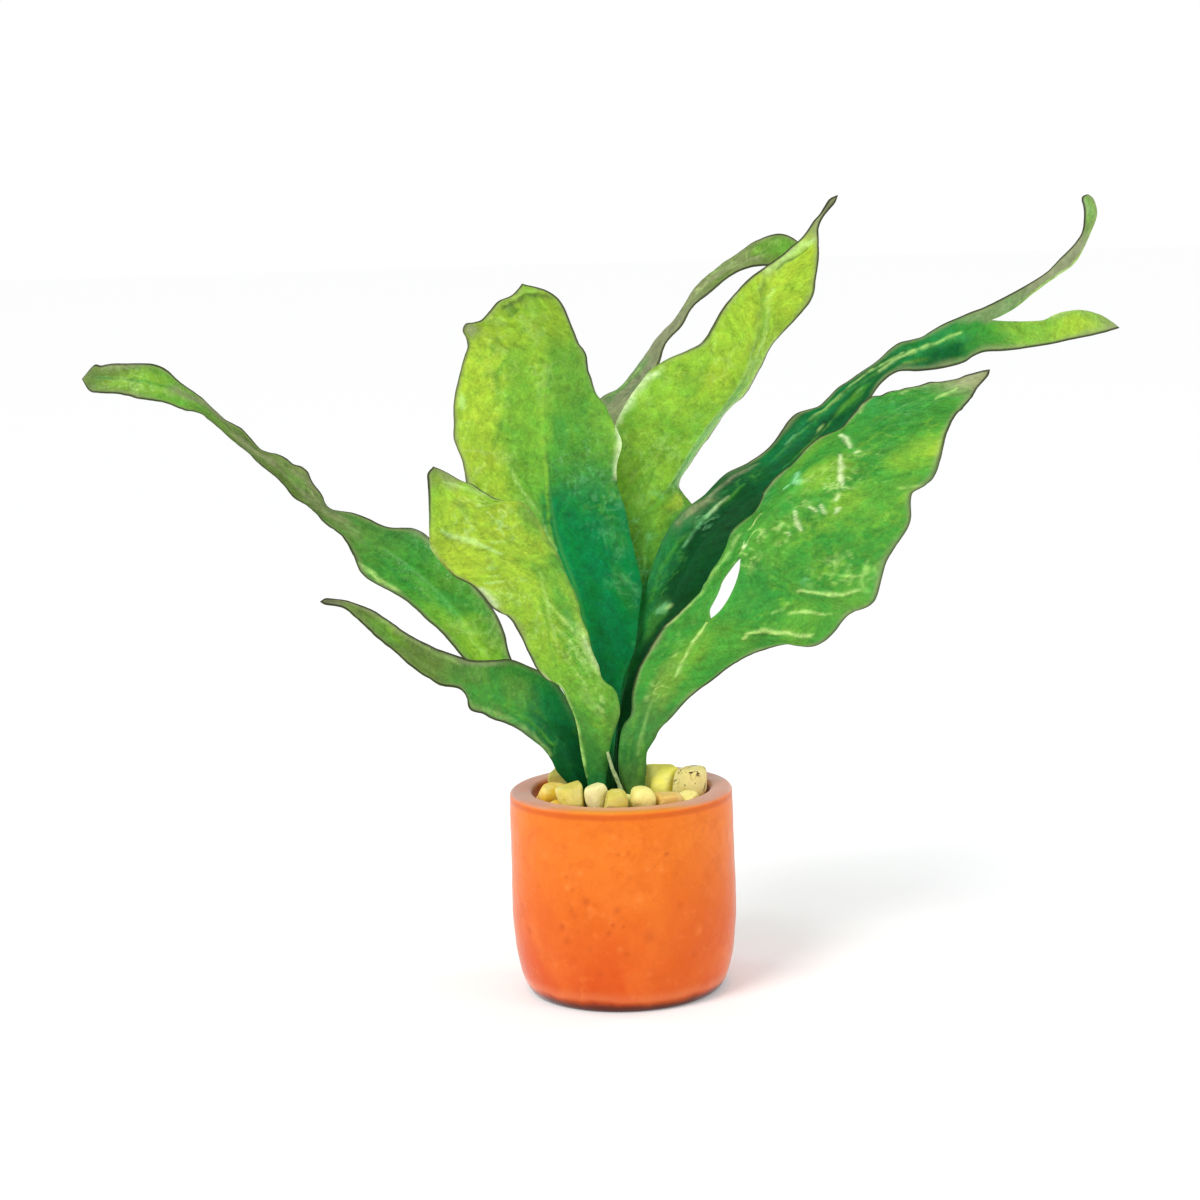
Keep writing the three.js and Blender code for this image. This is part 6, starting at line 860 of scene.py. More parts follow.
            ["dot", [266.3, 1.8, 18, 6], "green", 0.6],
            ["dot", [262.2, 1.0, 12, 4], "mid", 0.35],
            ["dot", [352.5, -4.6, 22, 7], "grey", 0.6],
            ["line", [[[157.1, -17.2], [167.9, -15.7], [176.0, -13.5]], 3.2], "margin", 0.75, 0.2],
            ["dot", [293.4, 8.3, 16, 5], "margin", 0.35],
            ["box", [357.5, 429.3, 0.0, 1.3, 14, 0.2], "lime", 0.85],
            ["dot", [405.0, 8.1, 26, 8], "yellow", 0.6],
            ["dot", [381.6, 7.5, 26, 10], "mid", 0.4],
            ["dot", [358.7, 11.2, 14, 6], "green", 0.4],
            ["dot", [426.3, -5.1, 14, 8], "mid", 0.7],
            ["line", [[[411.4, -0.0], [394.5, -0.0], [376.0, -0.0]], 0.9], "pale", 0.35, 0.2],
            ["rim", [116.6, 198.9, -1.3, -0.4], "", 0.9],
            ["rim", [93.7, 273.1, 0.4, 1.3], "", 0.9],
        ],
        "rows": [
            [[1.5, 7.0, 100.6], [4.5, 7.0, 100.6], [7.5, 7.0, 100.6]],
            [[0.1, 7.2, 106.4], [2.6, 7.4, 106.0], [6.1, 7.5, 105.8]],
            [[-1.1, 7.6, 112.1], [1.3, 7.8, 111.4], [4.7, 8.0, 111.1]],
            [[-1.9, 8.1, 117.7], [0.5, 8.3, 116.8], [3.8, 8.5, 116.4]],
            [[-2.2, 8.7, 123.2], [0.3, 8.8, 122.2], [3.6, 9.0, 121.9]],
            [[-2.0, 9.3, 128.7], [0.5, 9.4, 127.5], [4.1, 9.5, 127.3]],
            [[-1.6, 10.0, 134.0], [1.0, 10.0, 132.8], [4.9, 10.0, 132.7]],
            [[-1.1, 10.8, 139.1], [1.9, 10.6, 138.1], [6.0, 10.4, 138.0]],
            [[-0.4, 11.9, 144.0], [3.0, 11.4, 143.3], [7.3, 10.8, 143.3]],
            [[0.5, 13.0, 148.8], [4.4, 12.1, 148.5], [9.0, 11.3, 148.5]],
            [[1.6, 13.9, 153.5], [5.8, 12.8, 153.7], [11.0, 11.7, 153.6]],
            [[2.6, 14.7, 158.0], [7.4, 13.4, 158.9], [13.2, 12.1, 158.7]],
            [[3.8, 15.5, 162.5], [9.1, 14.1, 164.0], [15.5, 12.6, 163.8]],
            [[5.0, 16.3, 167.0], [10.9, 14.7, 169.0], [18.0, 13.0, 168.8]],
            [[6.1, 17.1, 171.5], [12.8, 15.3, 174.0], [20.6, 13.5, 173.8]],
            [[7.3, 17.9, 176.1], [14.9, 15.9, 178.9], [23.4, 13.9, 178.8]],
            [[8.6, 18.7, 180.8], [17.1, 16.5, 183.8], [26.5, 14.4, 183.6]],
            [[9.8, 19.5, 185.6], [19.5, 17.2, 188.6], [30.0, 14.9, 188.3]],
            [[11.1, 20.4, 190.5], [21.9, 17.9, 193.4], [33.8, 15.4, 192.9]],
            [[12.3, 21.2, 195.5], [24.4, 18.5, 198.1], [37.6, 15.9, 197.4]],
            [[13.6, 22.0, 200.5], [26.9, 19.1, 202.9], [41.6, 16.3, 201.9]],
            [[14.9, 22.8, 205.6], [29.5, 19.7, 207.6], [45.4, 16.6, 206.5]],
            [[16.1, 23.6, 210.7], [32.0, 20.3, 212.3], [49.1, 16.9, 211.3]],
            [[17.4, 24.4, 215.8], [34.5, 20.8, 217.0], [52.5, 17.2, 216.3]],
            [[18.8, 25.2, 221.2], [37.1, 21.3, 221.8], [55.4, 17.4, 221.6]],
            [[20.6, 25.9, 227.2], [39.7, 21.7, 226.5], [58.3, 17.6, 226.6]],
            [[23.1, 26.6, 233.8], [42.4, 22.1, 231.1], [61.5, 17.7, 231.3]],
            [[26.2, 27.2, 240.4], [45.2, 22.5, 235.7], [64.9, 17.8, 235.8]],
            [[29.8, 28.0, 246.0], [48.3, 23.0, 240.1], [68.3, 18.0, 240.1]],
            [[33.2, 28.7, 250.3], [51.6, 23.5, 244.3], [71.7, 18.2, 244.1]],
            [[36.7, 29.6, 253.9], [55.2, 24.0, 248.3], [75.0, 18.5, 247.9]],
            [[40.5, 30.5, 257.1], [58.9, 24.6, 252.1], [78.4, 18.8, 251.6]],
            [[45.1, 31.3, 260.3], [62.8, 25.2, 255.8], [82.1, 19.1, 255.4]],
            [[50.0, 32.3, 264.0], [66.9, 25.8, 259.4], [86.0, 19.4, 259.1]],
            [[54.5, 33.2, 268.5], [71.0, 26.5, 262.8], [89.9, 19.7, 262.8]],
            [[58.8, 34.1, 272.5], [75.2, 27.1, 266.2], [93.7, 20.0, 266.3]],
            [[63.1, 34.9, 275.5], [79.4, 27.6, 269.4], [97.3, 20.3, 269.3]],
            [[67.7, 35.6, 277.4], [83.8, 28.1, 272.6], [100.7, 20.5, 272.2]],
            [[72.2, 36.4, 279.5], [88.1, 28.6, 275.8], [104.2, 20.8, 275.0]],
            [[76.7, 37.2, 282.4], [92.4, 29.1, 279.0], [107.9, 21.1, 278.0]],
            [[81.4, 38.0, 285.6], [96.6, 29.6, 282.2], [111.9, 21.3, 281.0]],
            [[86.1, 38.8, 289.2], [100.8, 30.2, 285.6], [116.1, 21.6, 284.2]],
            [[90.2, 39.6, 293.5], [105.0, 30.7, 289.0], [120.2, 21.9, 287.4]],
            [[93.8, 40.4, 298.1], [109.1, 31.3, 292.4], [123.9, 22.1, 290.8]],
            [[97.3, 41.3, 302.5], [113.2, 31.9, 295.9], [127.3, 22.5, 294.3]],
            [[101.6, 42.1, 306.3], [117.2, 32.4, 299.5], [130.4, 22.8, 297.9]],
            [[107.5, 43.0, 308.3], [121.1, 33.0, 303.2], [133.3, 23.0, 301.8]],
            [[114.3, 43.9, 310.1], [124.9, 33.5, 307.0], [135.8, 23.2, 305.9]],
            [[120.0, 44.8, 314.9], [128.7, 34.0, 310.8], [137.9, 23.3, 310.2]],
            [[125.3, 45.6, 319.8], [132.5, 34.6, 314.5], [139.8, 23.5, 314.1]],
            [[131.3, 46.3, 323.4], [136.6, 35.2, 318.0], [141.5, 24.0, 317.1]],
            [[136.5, 46.9, 327.2], [140.8, 35.8, 321.4], [143.5, 24.7, 319.8]],
            [[141.0, 47.2, 330.2], [145.1, 36.4, 324.5], [146.7, 25.5, 323.0]],
            [[145.0, 47.4, 332.6], [149.5, 36.9, 327.6], [151.2, 26.5, 326.4]],
            [[149.1, 47.5, 335.4], [154.0, 37.5, 330.7], [156.2, 27.5, 328.7]],
            [[153.8, 47.2, 339.4], [158.4, 38.2, 333.8], [161.2, 28.6, 329.0]],
            [[159.3, 46.7, 343.1], [162.8, 39.0, 336.8], [166.1, 29.7, 328.7]],
            [[165.5, 46.5, 344.5], [167.5, 39.7, 339.6], [171.0, 30.8, 328.7]],
            [[171.1, 46.6, 345.8], [172.3, 40.3, 342.0], [175.8, 31.7, 328.9]],
            [[175.9, 46.7, 348.5], [177.3, 41.0, 344.1], [180.5, 32.6, 329.4]],
            [[180.9, 46.9, 351.3], [182.4, 41.6, 346.0], [185.1, 33.5, 330.2]],
            [[186.4, 47.1, 353.8], [187.6, 42.3, 347.7], [189.7, 34.5, 331.2]],
            [[192.6, 47.5, 356.2], [192.9, 43.0, 349.2], [193.9, 35.6, 332.6]],
            [[198.6, 47.9, 358.6], [198.1, 43.8, 350.8], [198.1, 36.8, 335.2]],
            [[204.1, 48.4, 360.4], [203.4, 44.8, 352.3], [204.4, 38.2, 337.3]],
            [[209.1, 49.0, 362.5], [208.7, 46.0, 353.9], [213.2, 40.0, 337.4]],
            [[214.2, 50.2, 364.8], [213.4, 47.3, 355.5], [213.3, 47.6, 353.6], [217.1, 41.6, 337.5]],
            [[219.0, 51.6, 367.0], [218.0, 48.7, 357.5], [217.9, 48.9, 353.3], [221.0, 42.9, 337.7]],
            [[223.4, 53.2, 369.0], [222.4, 50.2, 359.7], [222.3, 49.8, 353.1], [224.7, 43.8, 338.0]],
            [[227.5, 55.2, 370.9], [226.5, 51.9, 362.3], [226.5, 50.3, 353.0], [228.3, 44.3, 338.5]],
            [[231.4, 57.4, 372.7], [230.5, 53.7, 365.3], [230.7, 50.6, 353.0], [231.8, 44.5, 338.9]],
            [[235.5, 59.5, 374.7], [234.8, 55.4, 368.3], [234.6, 50.8, 353.1], [235.3, 44.8, 339.3]],
            [[239.8, 61.6, 377.0], [239.6, 57.1, 371.4], [238.4, 51.1, 353.4], [238.7, 45.2, 339.7]],
            [[243.9, 63.7, 379.7], [244.4, 58.9, 374.5], [241.8, 51.5, 354.6], [242.0, 45.8, 340.1]],
            [[247.6, 65.8, 383.0], [248.9, 60.7, 377.4], [245.1, 51.9, 356.1], [245.3, 46.5, 340.6]],
            [[251.3, 67.9, 386.4], [253.2, 62.7, 379.7], [248.4, 52.0, 357.0], [248.5, 47.1, 341.2]],
            [[255.2, 70.0, 389.6], [257.3, 64.9, 382.3], [251.8, 52.0, 357.5], [251.6, 47.4, 341.8]],
            [[258.7, 72.0, 392.6], [260.8, 67.2, 385.7], [255.2, 52.0, 357.9], [254.6, 47.6, 342.3]],
            [[261.7, 74.1, 395.7], [264.1, 69.6, 390.6], [258.5, 52.0, 358.0], [257.7, 47.9, 342.8]],
            [[264.2, 76.2, 398.8], [267.0, 72.1, 395.7], [261.5, 52.2, 357.7], [260.9, 48.5, 343.3]],
            [[265.7, 78.4, 402.3], [269.5, 74.6, 400.3], [264.5, 52.6, 357.0], [264.2, 49.2, 343.8]],
            [[266.5, 80.7, 405.8], [271.9, 77.1, 404.8], [267.3, 53.0, 356.1], [267.3, 49.8, 344.4]],
            [[267.0, 82.6, 409.1], [273.5, 79.5, 408.8], [269.8, 52.9, 355.2], [269.8, 50.2, 344.9]],
            [[267.1, 84.0, 412.1], [273.9, 81.5, 411.9], [272.0, 52.5, 354.0], [272.0, 50.5, 345.3]],
            [[266.8, 85.0, 414.8], [273.7, 83.3, 414.5], [274.0, 52.1, 352.7], [273.9, 50.8, 345.8]],
            [[266.3, 85.9, 417.2], [273.3, 84.8, 416.6], [275.8, 52.0, 351.4], [275.7, 51.1, 346.3]],
            [[266.7, 86.7, 419.2], [272.7, 86.1, 418.2], [277.6, 52.2, 350.1], [277.4, 51.6, 346.7]],
            [[268.5, 87.4, 420.2], [271.6, 87.2, 419.5], [279.2, 52.5, 348.8], [279.0, 52.3, 347.1]],
            [[270.2, 88.0, 420.4], [270.2, 88.0, 420.4], [280.7, 53.0, 347.5], [280.7, 53.0, 347.5]],
        ],
    },
    {
        "name": "frond_front_right",
        "camber": 0.05,
        "rib_tone": 0.06,
        "cols": 48,
        "sub": 5,
        "seed": 8.0,
        "ruffle": 1.9,
        "ruffle_len": 33,
        "quilt": 0.35,
        "crinkle": 0.6,
        "broad": 1.7,
        "rib": 0.8,
        "pitch": 9.0,
        "tone": [[0, "dark"], [0.07, "olive"], [0.14, "green"], [0.3, "green"], [0.5, "green"], [0.7, "green"], [0.9, "green"], [0.965, "margin"], [1, "dry"]],
        "paint": [
            ["box", [21.7, 71.7, -0.1, 0.6, 20, 0.3], "olive", 0.6],
            ["dot", [91.1, -1.5, 34, 10], "mid", 0.35],
            ["dot", [79.8, -2.6, 26, 8], "olive", 0.45],
            ["dot", [49.3, 0.8, 46, 14], "olive", 0.55],
            # painted shade at the foot among the other stalks
            ["dot", [35.8, 2.2, 30, 12], "dark", 0.35],
            ["dot", [25.6, -3.5, 18, 8], "black", 0.4],
            ["dot", [87.0, 3.0, 44, 10], "lime", 0.35],
            ["dot", [116.9, 13.1, 34, 14], "mid", 0.3],
            ["crumple", [76.8, -1.2, 34, 9, 5], "pale", 0.4, 0.2],
            ["crumple", [100.3, -8.0, 26, 9, 5], "pale", 0.35, 0.2],
            ["dot", [230.9, -19.0, 30, 16], "mid", 0.6],
            ["dot", [223.5, 7.3, 22, 12], "lime", 0.6],
            ["dot", [209.5, 26.0, 18, 9], "lime", 0.55],
            ["dot", [250.4, 33.9, 24, 16], "lime", 0.6],
            ["dot", [254.0, 37.7, 10, 7], "yellow", 0.5],
            ["dot", [216.0, 40.2, 24, 22], "mid", 0.5],
            ["dot", [177.6, 9.7, 26, 16], "mid", 0.45],
            ["dot", [138.0, 40.4, 26, 14], "mid", 0.5],
            ["dot", [161.9, 59.6, 24, 16], "mid", 0.45],
            ["dot", [146.9, 12.9, 30, 16], "deep", 0.3],
            ["dot", [274.8, -1.2, 30, 18], "deep", 0.4],
            ["dot", [272.1, -16.7, 16, 9], "teal", 0.35],
            ["dot", [208.5, -20.2, 22, 12], "deep", 0.45],
            ["dot", [185.4, 55.5, 30, 16], "green", 0.4],
            # the white, mint and pale lines and dots that follow are painted glints on the crinkled skin
            ["line", [[[235.6, 3.7], [228.2, 10.9], [217.0, 19.8]], 0.95], "white", 1.0, 0.5],
            ["line", [[[209.5, 21.7], [212.3, 21.1], [216.0, 20.1]], 1.0], "white", 0.85, 0.6],
            ["line", [[[201.9, 13.3], [200.0, 17.8]], 1.1], "white", 0.9, 0.6],
            ["line", [[[204.7, 17.7], [203.8, 17.7], [200.9, 22.2]], 1.1], "white", 0.9, 0.6],
            ["dot", [203.8, 26.5, 2.2, 1.6], "white", 0.8],
            ["line", [[[217.9, -7.1], [213.2, -4.3], [211.3, -0.0]], 1.9], "mint", 0.8, 0.4],
            ["line", [[[211.3, -2.9], [213.2, -0.0]], 1.2], "mint", 0.6, 0.3],
            ["line", [[[207.6, -7.2], [209.5, -5.8]], 1.6], "mint", 0.7, 0.4],
            ["line", [[[248.5, -8.9], [246.7, -2.6], [242.1, 3.5]], 1.1], "white", 0.8, 0.5],
            ["dot", [243.0, 6.9, 1.8, 1.5], "white", 0.7],
            ["line", [[[195.2, 8.9], [190.3, 13.6], [187.4, 18.3]], 1.0], "white", 0.85, 0.6],
            ["dot", [181.5, 14.2, 1.8, 1.5], "white", 0.6],
            ["line", [[[189.4, -9.8], [184.5, -9.8], [179.5, -8.5]], 1.1], "pale", 0.7, 0.5],
            ["dot", [168.9, -0.0, 2.6, 2.0], "white", 0.8],
            ["line", [[[170.8, -5.6], [166.0, -1.4]], 1.0], "white", 0.6, 0.4],
            ["line", [[[178.6, -0.0], [175.7, 4.9]], 0.9], "pale", 0.6, 0.4],
            ["crumple", [176.6, 4.9, 24, 14, 5], "pale", 0.6, 0.3],
            ["crumple", [209.5, 13.0, 26, 16, 4.5], "pale", 0.65, 0.35],
            ["crumple", [228.2, 14.5, 26, 16, 5], "pale", 0.35, 0.25],
            ["crumple", [200.0, 44.4, 60, 34, 8], "mid", 0.3, 0.15],
            ["crumple", [169.9, 50.3, 30, 20, 6], "pale", 0.35, 0.2],
            ["crumple", [254.9, 17.1, 40, 24, 7], "lime", 0.35, 0.2],
            ["line", [[[155.5, 32.5], [160.7, 44.3], [164.1, 55.2], [169.9, 60.3]], 1.1], "pale", 0.8, 0.6],
            ["line", [[[163.1, 35.1], [165.1, 35.2]], 1.4], "mint", 0.7, 0.4],
            ["line", [[[178.6, 38.6], [180.5, 47.7]], 0.9], "pale", 0.5, 0.4],
            ["line", [[[172.8, 44.8], [177.6, 58.2]], 0.9], "pale", 0.4, 0.4],
            ["line", [[[141.3, 33.1], [143.6, 37.7], [144.7, 46.5], [146.9, 51.4]], 1.1], "pale", 0.7, 0.6],
            ["line", [[[138.0, 24.3], [142.5, 29.2], [145.8, 29.8]], 1.0], "pale", 0.45, 0.4],
            ["line", [[[116.9, 21.0], [123.0, 21.9], [128.8, 24.8], [131.2, 33.2], [133.4, 42.1], [135.7, 47.4]], 1.1], "pale", 0.85, 0.7],
            ["line", [[[117.9, -0.0], [105.5, -1.6], [93.1, -0.0], [81.8, 2.8]], 0.9], "pale", 0.78, 0.5],
            ["line", [[[127.6, -14.6], [120.0, -19.8], [110.6, -22.8]], 1.1], "pale", 0.6, 0.4],
            ["line", [[[175.7, -12.7], [163.1, -13.5], [151.2, -14.2], [134.6, -13.7], [124.1, -17.2]], 2.4], "pale", 0.42, 0.3],
            ["line", [[[174.7, -15.5], [164.1, -19.0], [149.1, -16.2]], 1.2], "olive", 0.4, 0.1],
            # painted shade at the foot among the other stalks
            ["box", [18.8, 60.5, -1.3, 1.3, 16, 0.2], "deep", 0.45],
            ["rim", [130.0, 180.5, -1.3, -0.4], "", 0.9],
            ["crumple", [166.0, 30.3, 70, 34, 6], "lime", 0.3, 0.15],
            ["crumple", [213.2, 33.4, 60, 34, 6], "lime", 0.35, 0.15],
            ["crumple", [265.8, -1.2, 40, 26, 6], "mid", 0.35, 0.15],
            ["line", [[[63.6, -0.9], [44.1, 1.3], [29.6, 2.3]], 1.2], "pale", 0.2, 0.2],
            ["line", [[[59.5, -6.4], [41.0, -4.3], [26.6, -3.6]], 1.0], "mid", 0.3, 0.2],
            ["line", [[[42.0, 2.6], [25.6, 4.3], [15.9, 3.7]], 1.3], "mid", 0.35, 0.2],
            ["line", [[[63.6, 1.1], [95.2, 1.7], [123.0, 3.1]], 1.2], "green", 0.3, -0.3],
            ["line", [[[273.9, -16.5], [270.3, -16.7], [265.8, -13.1]], 1.3], "pale", 0.65, 0.4],
            ["line", [[[285.4, -9.3], [289.9, -9.4]], 1.4], "pale", 0.5, 0.4],
            ["line", [[[289.0, 5.8], [296.9, 3.4], [304.8, 1.6]], 1.3], "pale", 0.55, 0.4],
            ["line", [[[226.3, 32.5], [235.6, 40.3], [243.0, 44.6]], 1.2], "green", 0.5, -0.4],
            ["line", [[[225.4, 43.3], [231.9, 51.5]], 1.0], "pale", 0.4, 0.3],
            ["dot", [318.9, 0.5, 12, 8], "margin", 0.8],
        ],
        "rows": [
            [[6.0, -9.0, 100.6], [9.0, -9.0, 100.6], [12.0, -9.0, 100.6]],
            [[4.4, -8.6, 104.3], [8.0, -9.0, 104.5], [12.2, -9.0, 104.2]],
            [[2.8, -8.3, 108.1], [7.3, -9.0, 108.4], [12.5, -9.1, 108.0]],
            [[1.4, -8.2, 111.9], [6.8, -9.0, 112.3], [12.8, -9.2, 111.8]],
            [[0.1, -8.1, 115.8], [6.7, -9.0, 116.2], [13.1, -9.4, 115.6]],
            [[-0.7, -8.0, 119.8], [6.8, -9.0, 120.1], [13.6, -9.6, 119.5]],
            [[-0.9, -8.0, 123.8], [7.1, -9.0, 124.0], [14.0, -9.9, 123.5]],
            [[-0.8, -8.1, 127.9], [7.7, -9.1, 127.9], [14.0, -10.2, 127.6]],
            [[-0.6, -8.5, 132.0], [8.4, -9.7, 131.8], [14.6, -11.1, 131.8]],
            [[-0.1, -9.2, 136.1], [9.3, -10.6, 135.8], [16.7, -12.2, 135.6]],
            [[0.5, -9.8, 140.2], [10.4, -11.6, 139.7], [19.0, -13.4, 139.3]],
            [[1.4, -10.2, 144.1], [11.6, -12.4, 143.6], [20.7, -14.6, 143.1]],
            [[3.2, -10.5, 147.7], [12.9, -13.3, 147.4], [23.1, -15.8, 146.4]],
            [[5.7, -10.8, 150.8], [14.3, -14.3, 151.1], [26.0, -17.0, 149.2]],
            [[6.8, -11.1, 154.5], [15.8, -15.2, 154.9], [28.7, -18.3, 152.2]],
            [[6.8, -11.3, 158.4], [17.4, -16.0, 158.5], [31.4, -19.4, 155.5]],
            [[7.1, -11.6, 162.3], [19.2, -16.9, 162.1], [34.1, -20.5, 158.7]],
            [[7.8, -11.9, 165.9], [21.1, -17.8, 165.5], [36.9, -21.7, 161.7]],
            [[8.7, -12.3, 169.3], [23.2, -18.7, 168.8], [39.9, -22.9, 164.2]],
            [[9.7, -12.8, 172.5], [25.5, -19.7, 172.0], [42.7, -24.1, 166.5]],
            [[10.7, -13.3, 175.8], [27.9, -20.7, 175.1], [45.7, -25.4, 168.7]],
            [[11.9, -13.9, 179.1], [30.4, -21.8, 178.2], [48.9, -26.8, 171.2]],
            [[13.6, -14.6, 182.9], [32.9, -23.0, 181.2], [52.5, -28.3, 174.4]],
            [[15.8, -15.3, 186.8], [35.4, -24.2, 184.2], [56.7, -30.1, 178.0]],
            [[18.1, -16.1, 190.7], [37.8, -25.5, 187.3], [61.3, -31.9, 181.5]],
            [[20.4, -16.9, 194.2], [40.1, -26.8, 190.5], [65.8, -33.8, 184.4]],
            [[22.4, -17.7, 197.0], [42.2, -28.1, 193.8], [69.9, -35.5, 186.4]],
            [[24.2, -18.5, 199.4], [44.1, -29.4, 197.2], [73.7, -37.2, 188.0]],
            [[26.2, -19.4, 201.6], [46.0, -30.7, 200.6], [77.6, -39.0, 189.5]],
            [[28.7, -20.4, 203.9], [47.9, -32.1, 204.1], [81.9, -40.9, 191.0]],
            [[31.9, -21.6, 206.9], [48.9, -33.8, 206.1], [87.2, -43.0, 192.0]],
            [[36.0, -23.4, 211.1], [48.5, -36.0, 210.7], [52.2, -36.0, 208.9], [93.8, -45.6, 191.9]],
            [[40.0, -25.0, 215.2], [50.0, -38.0, 214.8], [55.1, -38.0, 212.2], [100.7, -48.0, 192.3]],
            [[43.0, -26.1, 218.7], [51.9, -39.4, 218.8], [57.5, -39.4, 215.8], [107.1, -49.8, 195.4]],
            [[45.7, -27.0, 222.0], [53.5, -40.6, 222.8], [59.6, -40.6, 219.6], [112.5, -51.3, 200.5]],
            [[48.1, -27.8, 225.2], [54.9, -41.8, 226.9], [61.4, -41.8, 223.6], [116.2, -52.7, 205.5]],
            [[50.1, -28.6, 228.2], [57.1, -42.8, 230.5], [62.9, -42.8, 227.6], [119.1, -54.0, 208.4]],
            [[51.5, -29.4, 231.2], [59.7, -43.8, 234.0], [64.1, -43.8, 231.8], [122.0, -55.3, 210.1]],
            [[52.6, -30.1, 234.3], [62.3, -44.8, 237.3], [64.8, -44.8, 236.1], [124.5, -56.5, 211.4]],
            [[53.8, -30.8, 237.3], [65.1, -45.7, 240.4], [127.1, -57.6, 212.8]],
            [[55.2, -31.5, 240.5], [66.5, -46.7, 242.2], [129.9, -58.8, 214.7]],
            [[57.0, -32.1, 243.5], [68.5, -47.6, 245.3], [132.2, -60.0, 217.2]],
            [[59.0, -32.8, 246.4], [70.6, -48.5, 248.4], [133.7, -61.2, 220.4]],
            [[61.2, -33.5, 249.3], [72.7, -49.4, 251.5], [134.7, -62.3, 224.0]],
            [[63.4, -34.5, 252.3], [74.9, -50.5, 254.5], [135.6, -63.6, 227.9]],
            [[65.8, -35.7, 255.6], [77.1, -51.8, 257.5], [136.6, -64.9, 232.3]],
            [[68.1, -37.0, 259.0], [79.3, -53.1, 260.5], [137.7, -66.2, 236.8]],
            [[70.3, -38.3, 262.0], [81.6, -54.3, 263.4], [139.2, -67.3, 240.8]],
            [[72.3, -39.5, 264.7], [83.9, -55.5, 266.3], [141.1, -68.2, 244.3]],
            [[74.3, -40.6, 267.2], [86.2, -56.6, 269.2], [143.2, -69.0, 247.6]],
            [[76.4, -41.7, 270.0], [88.5, -57.7, 272.0], [145.5, -69.8, 250.7]],
            [[78.6, -42.8, 273.4], [90.9, -58.8, 274.7], [147.8, -70.6, 254.0]],
            [[81.1, -43.7, 277.2], [93.4, -59.8, 277.5], [149.5, -71.3, 257.6]],
            [[83.8, -44.7, 281.0], [95.8, -60.7, 280.1], [150.2, -72.1, 261.6]],
            [[86.8, -45.7, 284.3], [98.4, -61.7, 282.7], [150.0, -72.8, 265.7]],
            [[89.7, -46.8, 286.9], [100.9, -62.7, 285.2], [149.9, -73.5, 269.8]],
            [[92.5, -48.0, 289.2], [103.6, -63.6, 287.7], [150.7, -74.2, 273.7]],
            [[95.1, -49.2, 291.4], [106.3, -64.6, 290.1], [154.0, -75.0, 275.8]],
            [[97.7, -50.5, 293.8], [109.0, -65.6, 292.3], [157.3, -75.7, 277.7]],
            [[100.3, -51.8, 296.4], [111.9, -66.6, 294.5], [160.1, -76.5, 280.0]],
            [[103.0, -53.1, 298.9], [114.7, -67.7, 296.6], [161.9, -77.3, 282.9]],
            [[106.0, -54.4, 301.1], [117.7, -68.8, 298.6], [163.1, -78.2, 286.1]],
            [[109.3, -55.8, 302.8], [120.6, -69.9, 300.6], [163.9, -78.9, 289.4]],
            [[112.6, -57.2, 304.3], [123.5, -70.9, 302.5], [164.6, -79.5, 292.5]],
            [[115.8, -58.7, 305.8], [126.4, -71.9, 304.5], [165.2, -80.1, 295.5]],
            [[118.7, -60.2, 307.8], [129.3, -72.9, 306.5], [165.8, -80.5, 298.4]],
            [[121.0, -61.7, 310.7], [132.2, -73.8, 308.5], [166.4, -80.9, 301.3]],
            [[123.5, -63.2, 313.8], [135.1, -74.7, 310.5], [167.4, -81.2, 304.2]],
            [[126.1, -64.8, 316.9], [138.1, -75.4, 312.4], [168.7, -81.5, 306.9]],
            [[128.9, -66.3, 319.9], [141.0, -76.2, 314.3], [169.9, -81.7, 309.6]],
            [[131.9, -67.8, 322.4], [144.1, -76.9, 316.0], [171.1, -82.0, 311.9]],
            [[135.5, -69.2, 323.2], [147.2, -77.6, 317.6], [172.3, -82.2, 313.9]],
            [[138.7, -70.7, 324.8], [150.3, -78.3, 319.0], [173.5, -82.4, 315.5]],
            [[142.1, -72.1, 325.4], [153.5, -79.1, 320.3], [174.9, -82.7, 316.8]],
            [[145.9, -73.5, 325.4], [156.8, -79.7, 321.5], [176.2, -82.9, 318.2]],
            [[150.0, -74.7, 325.8], [160.1, -80.3, 322.7], [177.6, -83.1, 319.5]],
            [[154.6, -75.7, 326.6], [163.4, -80.9, 323.8], [179.0, -83.4, 320.8]],
            [[159.2, -76.7, 328.2], [166.7, -81.4, 324.9], [180.2, -83.7, 322.2]],
            [[163.9, -77.8, 328.9], [169.9, -81.9, 326.1], [181.2, -84.0, 323.9]],
            [[168.4, -79.0, 329.7], [173.1, -82.5, 327.4], [182.0, -84.3, 325.6]],
            [[172.8, -80.3, 331.0], [176.3, -83.2, 328.8], [183.2, -84.6, 327.1]],
            [[177.0, -81.7, 332.5], [179.4, -83.8, 330.2], [184.6, -84.9, 328.6]],
            [[181.1, -83.0, 333.6], [182.5, -84.5, 331.8], [186.2, -85.3, 330.4]],
            [[184.9, -84.5, 334.7], [185.5, -85.2, 333.5], [187.8, -85.6, 332.6]],
            [[188.4, -86.0, 335.3], [188.4, -86.0, 335.3], [188.4, -86.0, 335.3]],
        ],
    },
]

